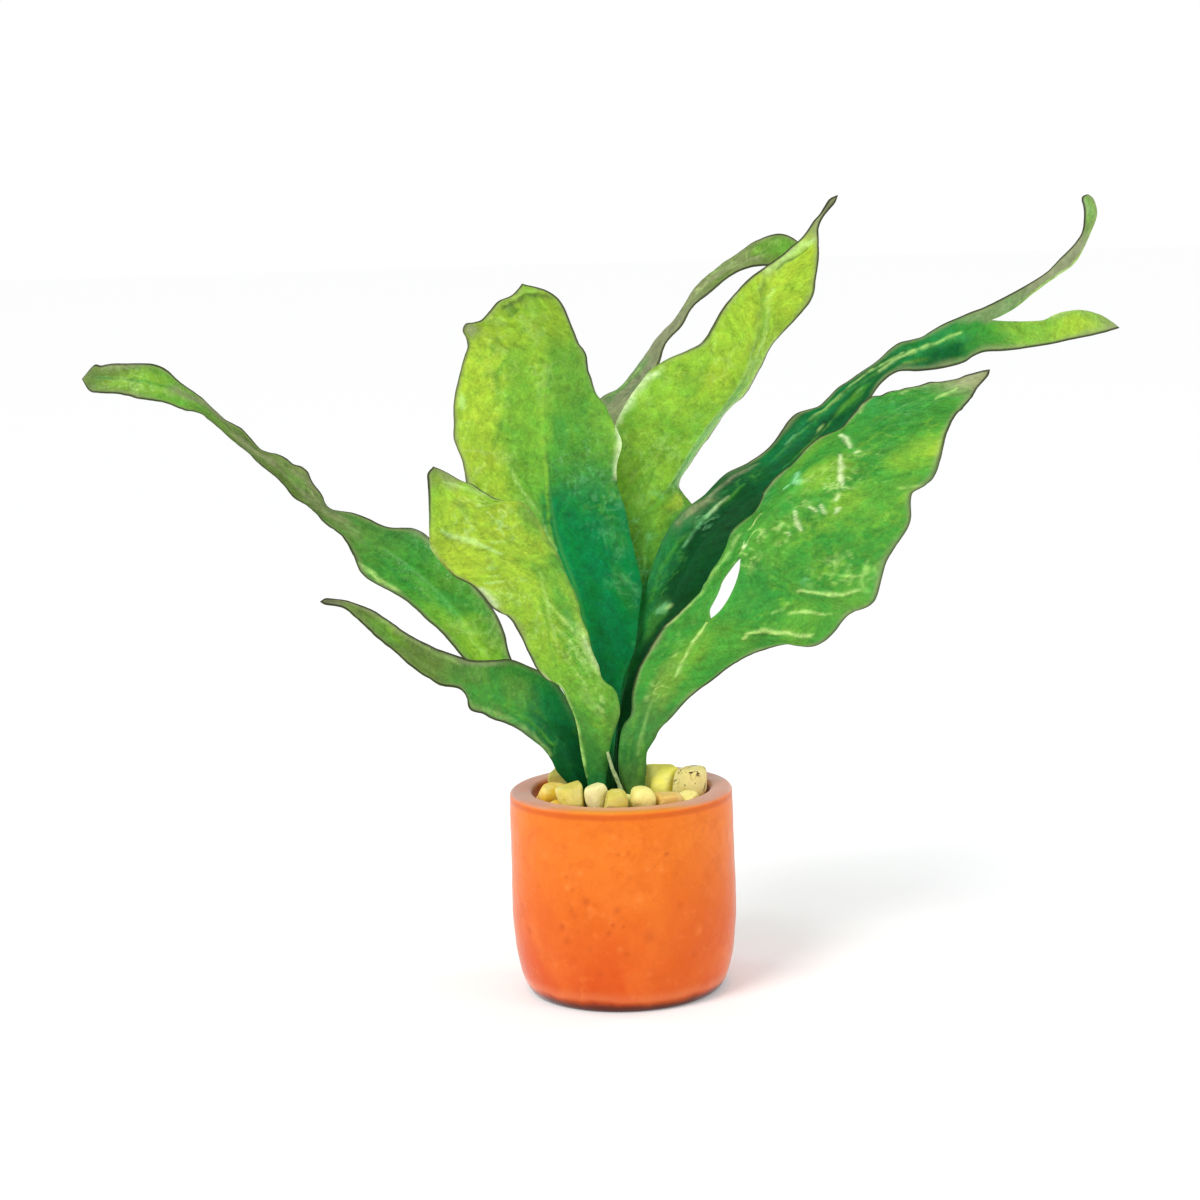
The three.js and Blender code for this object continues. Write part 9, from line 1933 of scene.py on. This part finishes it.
# ---------------------------------------------------------------- gravel
def ico(sub):
    t = (1 + 5**0.5) / 2
    v = [(-1, t, 0), (1, t, 0), (-1, -t, 0), (1, -t, 0), (0, -1, t), (0, 1, t), (0, -1, -t), (0, 1, -t), (t, 0, -1), (t, 0, 1), (-t, 0, -1), (-t, 0, 1)]
    f = [(0, 11, 5), (0, 5, 1), (0, 1, 7), (0, 7, 10), (0, 10, 11), (1, 5, 9), (5, 11, 4), (11, 10, 2), (10, 7, 6), (7, 1, 8),
         (3, 9, 4), (3, 4, 2), (3, 2, 6), (3, 6, 8), (3, 8, 9), (4, 9, 5), (2, 4, 11), (6, 2, 10), (8, 6, 7), (9, 8, 1)]
    v = [np.array(p, float) / np.linalg.norm(p) for p in v]
    for _ in range(sub):
        cache, out = {}, []

        def mid(a, b):
            key = (min(a, b), max(a, b))
            if key not in cache:
                p = v[a] + v[b]
                v.append(p / np.linalg.norm(p))
                cache[key] = len(v) - 1
            return cache[key]

        for a, b, c in f:
            ab, bc, ca = mid(a, b), mid(b, c), mid(c, a)
            out += [(a, ab, ca), (b, bc, ab), (c, ca, bc), (ab, bc, ca)]
        f = out
    return np.array(v), f


def chip(number, spec, ball, faces):
    at, flats = np.array(spec[0]), np.array(spec[1])
    n = flats[:, :3] / np.linalg.norm(flats[:, :3], axis=1, keepdims=True)
    near = np.maximum(ball @ n.T, 1e-4) / flats[:, 3]
    # just inside every broken face, with its edges slightly rounded
    power = 10 + 5 * math.sin(number * 2.7)
    r = (near**power).sum(axis=1) ** (-1 / power)
    size = r.mean()
    grain = fbm3(ball * size / 2.6 + number * 3.7, number, 3)
    fine = fbm3(ball * size / 0.9 + number * 1.3, number + 8, 2)
    pits = np.minimum(noise3(ball * size / 1.3 + number, number + 4) + 0.45, 0)
    r = r + np.minimum(-0.16 + 0.20 * grain + 0.05 * fine + 0.35 * pits, 0.0)
    v = ball * r[:, None] + at
    name = "chip_%02d" % (number + 1)
    ob = make_object(name, v, faces)
    kind = STONE_KIND.get(number, ("cream", "yellow", "white", "cream", "sand")[number % 5])
    tone = np.array(lin(*STONE_TONES[kind]))
    put_colour(ob.data, "tint", np.tile(tone, (len(v), 1)))
    put_float(ob.data, "speck", np.full(len(v), 1.0 if kind == "speckled" else 0.1))
    ob.data.materials.append(stone_material())
    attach(ob, "root")
    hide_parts("stone_%02d" % (number + 1))
    return ob


STONE_TONES = {
    "cream": (252, 240, 142),
    "yellow": (244, 226, 66),
    "gold": (238, 198, 44),
    "white": (252, 246, 176),
    "sand": (236, 200, 104),
    "olive": (202, 192, 84),
    "peach": (242, 200, 112),
    "lemon": (248, 232, 98),
    "straw": (220, 206, 92),
    "butter": (255, 248, 100),
    "speckled": (238, 222, 140),
}
STONE_KIND = {0: "gold", 1: "straw", 2: "white", 3: "straw", 4: "cream", 5: "butter", 6: "speckled", 7: "peach", 8: "olive", 9: "cream", 10: "cream", 16: "sand", 17: "olive", 18: "gold"}
_stone = None


def stone_material():
    global _stone
    if _stone:
        return _stone
    t = Tree("gravel_stone")
    tint = t.attr("tint", "Color")
    cloud = t.noise(120, 4, 0.6)
    colour = t.mix(t.span(cloud, 0.4, 0.72, 0.0, 0.4), tint, lin(255, 250, 184))
    stain = t.noise(75, 4, 0.65, None, 0.6)
    colour = t.mix(t.span(stain, 0.54, 0.74, 0.0, 0.45), colour, lin(222, 176, 44))
    grain = t.noise(900, 2, 0.7)
    colour = t.mix(t.span(grain, 0.3, 0.75, 0.14, 0.0), colour, lin(176, 150, 84))
    speck = t.math("MULTIPLY", t.span(t.noise(230, 3, 0.7, None, 0.8), 0.56, 0.63, 0.0, 1.0), t.attr("speck"))
    colour = t.mix(speck, colour, lin(74, 46, 22))
    t.put(t.bsdf.inputs["Base Color"], colour)
    t.bsdf.inputs["Roughness"].default_value = 0.78
    t.bsdf.inputs["Specular IOR Level"].default_value = 0.35
    height = t.math("ADD", t.noise(420, 5, 0.65), t.math("MULTIPLY", t.noise(1500, 2, 0.6), 0.35))
    t.put(t.bsdf.inputs["Normal"], t.bump(height, 0.7, 0.0005))
    _stone = t.material
    return _stone


# ---------------------------------------------------------------- pot
def smooth_profile(points, step):
    """Points along a [radius, height] outline, evenly spaced, corners kept."""
    out = [points[0]]
    for a, b in zip(points[:-1], points[1:]):
        d = math.hypot(b[0] - a[0], b[1] - a[1])
        n = max(1, int(round(d / step)))
        for k in range(1, n + 1):
            out.append([a[0] + (b[0] - a[0]) * k / n, a[1] + (b[1] - a[1]) * k / n])
    return out


def arc2(cx, cz, rx, rz, a0, a1, n):
    return [[cx + rx * math.cos(math.radians(a0 + (a1 - a0) * k / n)), cz + rz * math.sin(math.radians(a0 + (a1 - a0) * k / n))] for k in range(n + 1)]


def pot():
    inner = RIM_R - WALL
    corner = arc2(SIDE_R - 11.2, 47.8, 11.2, 47.8, -90, 0, 44)
    side = [[SIDE_R + (RIM_R - SIDE_R) * k / 50, 47.8 + (POT_H - 2.2 - 47.8) * k / 50] for k in range(1, 50)]
    lip_out = arc2(RIM_R - 2.2, POT_H - 2.2, 2.2, 2.2, 0, 90, 8)
    lip_in = arc2(inner + 1.8, POT_H - 1.8, 1.8, 1.8, 90, 180, 7)
    wall = [[inner, POT_H - 1.8 - (POT_H - 1.8 - 48) * k / 30] for k in range(1, 31)]
    bowl = [[inner - 2.2, 26], [inner - 5, 19], [inner - 9, 15], [inner - 14, 13]]
    outline = [[0, 0], [12, 0], [24, 0], [36, 0], [44, 0], [48, 0.0]] + corner[1:] + side + lip_out + [[RIM_R - WALL / 2, POT_H + 0.05]] + lip_in + wall + bowl + [[24, 13], [12, 13], [0, 13]]
    segs = 300
    rng = np.random.default_rng(11)
    pits = []
    # small pits and bumps left in the clay: angle, height, radius, depth (a bump is below 0)
    for deg, z, r, depth in (
        (-94.5, 97.0, 1.2, -0.30), (-92.8, 87.5, 1.0, 0.35), (-89.8, 88.0, 0.9, -0.30), (-87.8, 88.0, 1.0, 0.35),
        (-85.5, 86.0, 0.8, 0.25), (-68.0, 86.0, 1.1, 0.50), (-74.5, 80.5, 0.8, 0.25), (-78.0, 79.0, 1.2, -0.35),
        (-71.0, 78.0, 1.3, -0.35), (-73.2, 93.0, 1.6, -0.20), (-120.0, 74.5, 1.3, 0.30), (-121.8, 76.0, 1.1, -0.30),
        (-112.2, 77.5, 1.5, -0.30), (-119.5, 69.0, 1.6, -0.35), (-116.7, 68.0, 1.0, 0.30), (-109.5, 62.0, 2.0, 0.35),
        (-107.5, 58.5, 1.8, -0.30), (-105.0, 60.5, 1.0, 0.30), (-123.2, 47.5, 1.6, 0.40), (-120.8, 40.0, 1.7, 0.35),
        (-98.3, 45.5, 1.1, 0.55), (-96.2, 50.0, 0.9, 0.50), (-94.0, 57.5, 1.5, 0.35), (-101.0, 55.5, 1.6, -0.20),
        (-91.2, 49.0, 0.9, 0.35), (-78.0, 43.0, 3.2, 0.25), (-115.8, 54.5, 1.6, 0.20), (-108.2, 36.5, 1.6, 0.20),
        (-93.0, 37.0, 1.4, -0.30), (-89.8, 34.0, 1.6, 0.30), (-49.8, 42.5, 1.8, -0.30), (-53.2, 29.5, 1.6, 0.25),
        (-132.8, 85.0, 1.8, -0.20), (-82.5, 63.0, 1.6, -0.20), (-61.5, 58.0, 1.6, 0.20), (-146.8, 41.5, 1.6, 0.25),
        (-128.5, 26.0, 1.6, -0.20), (-103.5, 23.0, 1.8, 0.20), (-78.5, 22.5, 1.6, -0.25),
    ):
        pits.append((math.radians(deg), z, r, depth))
    for _ in range(110):
        pits.append((rng.uniform(0, 2 * math.pi), rng.uniform(6, 104), rng.uniform(0.6, 1.7), rng.uniform(-0.22, 0.26)))
    # dark gathers how deep each point sits in a pit, below 0 on a bump; the clay paints it as shade in pits and a
    # highlight on bumps
    verts, dark, faces, rings = [], [], [], []
    ang = 2 * math.pi * np.arange(segs) / segs
    for r, z in outline:
        if r < 1e-6:
            rings.append([len(verts)])
            verts.append((0.0, 0.0, z))
            dark.append(0.0)
            continue
        outer = r > inner + 3
        wob = 0.16 * np.sin(2 * ang + 0.7) + 0.10 * np.sin(3 * ang + z / 31) if r > 30 else 0 * ang
        throw = 0.05 * math.sin(z / 2.9) + 0.07 * math.sin(z / 7.3 + 1.0) if outer and 10 < z < 104 else 0.0
        rough = 0.10 * fbm2(ang * r / 9.0, np.full(segs, z / 9.0), 5, 3) + 0.06 * fbm2(ang * r / 3.4, np.full(segs, z / 3.4), 7, 2) if r > 30 else 0 * ang
        rr = r + wob + throw + rough
        dd = np.zeros(segs)
        if outer and 2 < z < 108:
            for a, pz, pr, depth in pits:
                if abs(z - pz) > 2.2 * pr:
                    continue
                gap = (ang - a + math.pi) % (2 * math.pi) - math.pi
                q = np.exp(-(((gap * r) ** 2 + (z - pz) ** 2) / pr**2))
                rr = rr - depth * q
                dd = dd + q * (depth / 0.35)
        zz = np.full(segs, z)
        if z > POT_H - 3 and r > inner:
            zz = zz + 0.12 * np.sin(3 * ang + 1.1) * ramp(z, POT_H - 3, POT_H)
        rings.append(list(range(len(verts), len(verts) + segs)))
        verts += list(zip(rr * np.cos(ang), rr * np.sin(ang), zz))
        dark += dd.tolist()
    for lo, hi in zip(rings[:-1], rings[1:]):
        for i in range(segs):
            j = (i + 1) % segs
            if len(lo) == 1:
                faces.append([lo[0], hi[j], hi[i]])
            elif len(hi) == 1:
                faces.append([lo[i], lo[j], hi[0]])
            else:
                faces.append([lo[i], lo[j], hi[j], hi[i]])
    ob = make_object("terracotta_pot", np.array(verts), faces, sharp=50)
    put_float(ob.data, "pit_shading", dark)
    ob.data.materials.append(clay_material())
    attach(ob, "root")
    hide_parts("pot")
    return ob


def clay_material():
    t = Tree("terracotta_clay")
    sep = t.add("ShaderNodeSeparateXYZ")
    t.link(t.coords(), sep.inputs[0])
    height = sep.outputs["Z"]
    colour = t.mix(t.span(height, 0.0, 0.105, 0.0, 1.0), lin(212, 78, 10), lin(236, 120, 24))
    cloud = t.noise(24, 5, 0.6, None, 0.4)
    colour = t.mix(t.span(cloud, 0.4, 0.7, 0.0, 0.32), colour, lin(252, 142, 48))
    colour = t.mix(t.span(t.noise(10, 3, 0.5), 0.5, 0.75, 0.0, 0.3), colour, lin(226, 94, 14))
    smudge = t.noise(95, 3, 0.6, None, 0.5)
    colour = t.mix(t.span(smudge, 0.46, 0.72, 0.0, 0.42), colour, lin(214, 96, 14))
    colour = t.mix(t.span(t.noise(140, 3, 0.6, None, 0.5), 0.56, 0.74, 0.0, 0.16), colour, lin(255, 150, 70))
    grain = t.noise(1100, 2, 0.7)
    colour = t.mix(t.span(grain, 0.35, 0.7, 0.12, 0.0), colour, lin(190, 80, 20))
    blot = t.noise(330, 3, 0.6, None, 0.3)
    colour = t.mix(t.span(blot, 0.55, 0.68, 0.0, 0.16), colour, lin(206, 88, 14))
    speck = t.span(t.voronoi(260), 0.0, 0.14, 1.0, 0.0)
    chosen = t.span(t.noise(70, 2, 0.5), 0.54, 0.62, 0.0, 1.0)
    colour = t.mix(t.math("MULTIPLY", t.math("MULTIPLY", speck, chosen), 0.35), colour, lin(160, 66, 18))
    # pits are painted darker as painted shade and bumps paler as a painted highlight
    colour = t.mix(t.span(t.attr("pit_shading"), 0.0, 1.3, 0.0, 0.6, False), colour, lin(176, 64, 8))
    colour = t.mix(t.span(t.attr("pit_shading"), 0.0, -1.0, 0.0, 0.3, False), colour, lin(255, 158, 84))
    # painted shade darkens the foot where it meets the floor, with a thin painted highlight line above it
    foot = t.math("ADD", height, t.span(t.noise(45, 3, 0.6), 0.3, 0.7, -0.0012, 0.0012, False))
    colour = t.mix(t.math("MULTIPLY", t.span(foot, 0.005, 0.0075, 0.0, 1.0), t.span(foot, 0.008, 0.014, 0.16, 0.0)), colour, lin(244, 176, 120))
    colour = t.mix(t.span(foot, 0.002, 0.0078, 0.9, 0.0), colour, lin(60, 18, 8))
    # painted shade makes a darker line just under the lip, and the lip is painted paler as a highlight on its top,
    # mauve-grey to the sides and orange at front and back, unevenly
    under_lip_shade = t.math("MULTIPLY", t.span(height, 0.1045, 0.1066, 0.0, 1.0), t.span(height, 0.1076, 0.109, 1.0, 0.0))
    colour = t.mix(t.math("MULTIPLY", under_lip_shade, 0.7), colour, lin(206, 86, 14))
    lip_highlight = t.span(height, 0.1084, 0.1099, 0.0, 1.0)
    wide = t.math("ABSOLUTE", sep.outputs["X"])
    lip_highlight_tone = t.mix(t.span(wide, 0.02, 0.05, 0.0, 1.0), lin(228, 146, 48), lin(204, 152, 132))
    lip_highlight_breakup = t.span(t.noise(60, 4, 0.6), 0.3, 0.65, 0.55, 0.95)
    colour = t.mix(t.math("MULTIPLY", lip_highlight, lip_highlight_breakup), colour, lip_highlight_tone)
    t.put(t.bsdf.inputs["Base Color"], colour)
    t.put(t.bsdf.inputs["Roughness"], t.span(t.noise(120, 3, 0.6), 0.3, 0.7, 0.62, 0.8, False))
    t.bsdf.inputs["Specular IOR Level"].default_value = 0.25
    t.bsdf.inputs["Sheen Weight"].default_value = 0.75
    t.bsdf.inputs["Sheen Roughness"].default_value = 0.32
    t.bsdf.inputs["Sheen Tint"].default_value = (0.86, 0.93, 0.95, 1)
    rough = t.math("ADD", t.noise(700, 4, 0.65), t.math("MULTIPLY", t.noise(160, 3, 0.6), 0.6))
    t.put(t.bsdf.inputs["Normal"], t.bump(rough, 0.42, 0.0004))
    return t.material


# ---------------------------------------------------------------- potting mix, rhizome, aerial root
def potting_mix():
    inner = RIM_R - WALL
    profile = [[0, 13.35], [20, 13.35], [inner - 14.2, 13.35], [inner - 8.4, 15.85], [inner - 2.55, 26.35], [inner - 0.35, 48.35], [inner - 0.35, 70], [inner - 0.35, 86.6]]
    radii = [inner - 0.8, inner - 1.8] + [inner - 1.8 - k for k in range(1, int(inner - 2.8))] + [0]
    outline = profile + [[r, MIX_TOP] for r in radii]
    segs = 144
    ang = 2 * math.pi * np.arange(segs) / segs
    verts, faces, rings = [], [], []
    for k, (r, z) in enumerate(outline):
        if r < 1e-6:
            rings.append([len(verts)])
            verts.append((0, 0, z - (0.8 if z > 50 else 0)))
            continue
        x, y = r * np.cos(ang), r * np.sin(ang)
        zz = np.full(segs, float(z))
        if k >= len(profile):
            lump = fbm2(x / 5.0, y / 5.0, 3, 3) * 1.3 + np.abs(noise2(x / 2.0, y / 2.0, 8)) * 0.9
            zz = np.minimum(z - 1.0 + lump, 88.45) - (1.0 if k == len(profile) else 0)
        rings.append(list(range(len(verts), len(verts) + segs)))
        verts += list(zip(x, y, zz))
    for lo, hi in zip(rings[:-1], rings[1:]):
        for i in range(segs):
            j = (i + 1) % segs
            if len(lo) == 1:
                faces.append([lo[0], hi[j], hi[i]])
            elif len(hi) == 1:
                faces.append([lo[i], lo[j], hi[0]])
            else:
                faces.append([lo[i], lo[j], hi[j], hi[i]])
    ob = make_object("potting_soil", np.array(verts), faces)
    t = Tree("potting_soil")
    crumb = t.voronoi(420)
    colour = t.mix(t.span(crumb, 0.1, 0.6, 0.0, 1.0), lin(34, 22, 14), lin(84, 60, 40))
    colour = t.mix(t.span(t.noise(160, 4, 0.6), 0.55, 0.68, 0.0, 0.7), colour, lin(122, 88, 54))
    t.put(t.bsdf.inputs["Base Color"], colour)
    t.bsdf.inputs["Roughness"].default_value = 0.95
    t.put(t.bsdf.inputs["Normal"], t.bump(t.math("ADD", crumb, t.noise(900, 3, 0.6)), 0.9, 0.0008))
    ob.data.materials.append(t.material)
    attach(ob, "root")
    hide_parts("potting_mix")
    return ob


def rhizome():
    cx, cy, cz, rx, ry, rz = -6.5, 5, 94.45, 21.5, 19, 5.85
    v, faces = ico(5)
    phi = np.arcsin(np.clip(v[:, 2], -1, 1))
    th = np.arctan2(v[:, 1], v[:, 0])
    flat = lambda a, e: np.sign(a) * np.abs(a) ** e
    lump = 1 + 0.05 * np.sin(3 * th + 0.6) + 0.03 * np.sin(7 * th)
    p = np.stack([rx * 0.93 * lump * flat(np.cos(phi), 0.35) * np.cos(th), ry * 0.93 * lump * flat(np.cos(phi), 0.35) * np.sin(th), rz * flat(np.sin(phi), 0.6)], 1)
    q = p / 6.0
    dent = fbm3(q, 2, 3)
    p *= (1 - 0.03 + 0.03 * dent)[:, None]
    p[:, 2] -= np.where(p[:, 2] > 0, 0.9 * (0.5 - 0.5 * noise3(p / 4.2, 6)), 0)
    base = p + np.array([cx, cy, cz])
    base[:, 2] = np.clip(base[:, 2], 88.65, 100.3)
    verts = base.tolist()
    polys = [list(f) for f in faces]
    # thin papery scales lie over the upper part of the rhizome
    rng = np.random.default_rng(5)
    tri = np.array(faces)
    nrm = normals_of(base, tri)
    upper = np.where(base[:, 2] > 92)[0]
    shade = [0.0] * len(verts)
    for i in rng.choice(upper, 620, replace=True):
        n = nrm[i]
        t = rng.normal(size=3)
        t -= n * (t @ n)
        t[2] -= 0.4
        t /= np.linalg.norm(t)
        b = np.cross(n, t)
        size, wide = rng.uniform(1.4, 3.0), rng.uniform(0.35, 0.7)
        lift = rng.uniform(0.15, 0.55)
        o = base[i] + n * 0.02
        k = len(verts)
        ring = []
        for a, w in ((0, 0.35), (0.35, 1.0), (0.7, 0.7), (1.0, 0.05)):
            c = o + t * size * a + n * (0.06 + lift * a * a)
            c[2] = min(c[2], 101.4)
            ring.append((c - b * wide * w, c + b * wide * w))
        th_ = n * 0.09
        for l, r in ring:
            verts += [l.tolist(), r.tolist(), (l - th_).tolist(), (r - th_).tolist()]
        shade += [float(rng.uniform(0.3, 1.0))] * 16
        for m in range(3):
            a, c = k + 4 * m, k + 4 * m + 4
            polys += [[a, a + 1, c + 1, c], [a + 2, c + 2, c + 3, a + 3], [a, c, c + 2, a + 2], [a + 1, a + 3, c + 3, c + 1]]
        polys += [[k, k + 2, k + 3, k + 1], [k + 12, k + 13, k + 15, k + 14]]
    ob = make_object("fern_rhizome", np.array(verts), polys, sharp=60)
    put_float(ob.data, "scale", shade)
    t = Tree("rhizome_scales")
    colour = t.mix(t.span(t.noise(260, 4, 0.6), 0.35, 0.7), lin(52, 36, 20), lin(96, 70, 38))
    colour = t.mix(t.math("MULTIPLY", t.attr("scale"), 0.8), colour, lin(134, 98, 54))
    t.put(t.bsdf.inputs["Base Color"], colour)
    t.bsdf.inputs["Roughness"].default_value = 0.8
    t.put(t.bsdf.inputs["Normal"], t.bump(t.noise(700, 3, 0.6), 0.7, 0.0005))
    ob.data.materials.append(t.material)
    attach(ob, "root")
    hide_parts("rhizome")
    return ob


def aerial_root():
    path = catmull(AERIAL_ROOT, 8)
    tangent = np.gradient(path[:, :3], axis=0)
    tangent /= np.linalg.norm(tangent, axis=1, keepdims=True)
    sides = 20
    verts, polys = [], []
    ref = np.array([0.0, 1.0, 0.2])
    for i, (p, t) in enumerate(zip(path, tangent)):
        a = ref - t * (ref @ t)
        a /= np.linalg.norm(a)
        b = np.cross(t, a)
        for k in range(sides):
            th = 2 * math.pi * k / sides
            r = p[3] * (1 + 0.06 * math.sin(i * 0.9 + 2 * th) + 0.04 * math.sin(i * 0.37))
            q = p[:3] + (a * math.cos(th) + b * math.sin(th)) * r
            q[2] = max(q[2], 88.6)
            verts.append(q)
    n = len(path)
    for i in range(n - 1):
        for k in range(sides):
            a, b = i * sides + k, i * sides + (k + 1) % sides
            polys.append([a, b, b + sides, a + sides])
    polys.append(list(range(sides))[::-1])
    polys.append([(n - 1) * sides + k for k in range(sides)])
    ob = make_object("root_strand", np.array(verts), polys, sharp=60)
    t = Tree("root_skin")
    colour = t.mix(t.span(t.noise(300, 4, 0.6), 0.35, 0.7), lin(150, 176, 116), lin(196, 210, 158))
    t.put(t.bsdf.inputs["Base Color"], colour)
    t.bsdf.inputs["Roughness"].default_value = 0.55
    t.put(t.bsdf.inputs["Normal"], t.bump(t.noise(900, 3, 0.6), 0.5, 0.0003))
    ob.data.materials.append(t.material)
    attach(ob, "root")
    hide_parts("aerial_root")
    return ob


# ---------------------------------------------------------------- build
scene = bpy.context.scene
for data in FRONDS:
    frond(data)
balls = [ico(k) for k in (4, 3)]
for i, spec in enumerate(CHIPS):
    ball, ball_faces = balls[0 if i < 11 else 1]
    chip(i, spec, ball, [list(f) for f in ball_faces])
pot()
potting_mix()
rhizome()
aerial_root()

# ---------------------------------------------------------------- stage
bpy.ops.mesh.primitive_circle_add(vertices=96, radius=26, fill_type="TRIFAN", location=(0, 0, 0))
floor = bpy.context.object
floor.name = "floor"
t = Tree("floor_paper")
t.bsdf.inputs["Base Color"].default_value = (0.92, 0.92, 0.915, 1)
t.bsdf.inputs["Roughness"].default_value = 0.9
t.bsdf.inputs["Specular IOR Level"].default_value = 0.1
t.bsdf.inputs["Emission Color"].default_value = (1, 1, 1, 1)
t.bsdf.inputs["Emission Strength"].default_value = 0.13
floor.data.materials.append(t.material)

world = bpy.data.worlds.new("studio")
scene.world = world
world.use_nodes = True
nodes, links = world.node_tree.nodes, world.node_tree.links
nodes.clear()
out = nodes.new("ShaderNodeOutputWorld")
mix, gloss_mix = nodes.new("ShaderNodeMixShader"), nodes.new("ShaderNodeMixShader")
path = nodes.new("ShaderNodeLightPath")
seen, lit, gloss = (nodes.new("ShaderNodeBackground") for _ in range(3))
gloss.inputs["Color"].default_value = (1, 1, 1, 1)
gloss.inputs["Strength"].default_value = 0.16
lit.inputs["Color"].default_value = (0.96, 0.98, 1.0, 1)
lit.inputs["Strength"].default_value = 0.6
seen.inputs["Color"].default_value = (1, 1, 1, 1)
seen.inputs["Strength"].default_value = 1.0
links.new(path.outputs["Is Camera Ray"], mix.inputs[0])
links.new(path.outputs["Is Glossy Ray"], gloss_mix.inputs[0])
links.new(lit.outputs[0], gloss_mix.inputs[1])
links.new(gloss.outputs[0], gloss_mix.inputs[2])
links.new(gloss_mix.outputs[0], mix.inputs[1])
links.new(seen.outputs[0], mix.inputs[2])
links.new(mix.outputs[0], out.inputs[0])


def area(name, where, target, size, power, colour=(1, 1, 1)):
    lamp = bpy.data.lights.new(name, "AREA")
    lamp.shape = "RECTANGLE"
    lamp.size, lamp.size_y = size
    lamp.energy = power
    lamp.color = colour
    ob = bpy.data.objects.new(name, lamp)
    ob.location = where
    ob.rotation_euler = (Vector(target) - Vector(where)).to_track_quat("-Z", "Y").to_euler()
    scene.collection.objects.link(ob)


sun = bpy.data.lights.new("key", "SUN")
sun.energy = 1.75
sun.angle = math.radians(24)
sun.color = (1.0, 0.985, 0.96)
key = bpy.data.objects.new("key", sun)
key.rotation_euler = (Vector((0, 0, 0)) - Vector((-0.85, -1.0, 1.25))).to_track_quat("-Z", "Y").to_euler()
scene.collection.objects.link(key)
area("fill", (1.3, -0.9, 0.7), (0, 0, 0.2), (0.7, 0.7), 4.2, (0.97, 0.99, 1.0))
area("rim_left", (-0.85, 0.35, 0.3), (0, 0, 0.12), (0.25, 0.6), 1.8)
area("rim_right", (0.85, 0.35, 0.3), (0, 0, 0.12), (0.25, 0.6), 1.8)

camera_data = bpy.data.cameras.new("camera")
camera_data.sensor_width = 36
camera_data.lens = 78
camera_data.clip_end = 60
camera = bpy.data.objects.new("camera", camera_data)
pitch, roll = math.radians(8.258), math.radians(-1.674)
forward = Vector((0, math.cos(pitch), -math.sin(pitch)))
up = Vector((0, math.sin(pitch), math.cos(pitch)))
right = Vector((1, 0, 0))
right, up = right * math.cos(roll) + up * math.sin(roll), up * math.cos(roll) - right * math.sin(roll)
turn = Matrix((right, up, -forward)).transposed().to_4x4()
camera.matrix_world = Matrix.Translation((-0.00835, -1.378, 0.412946)) @ turn
scene.collection.objects.link(camera)
scene.camera = camera
scene.view_settings.view_transform = "Standard"
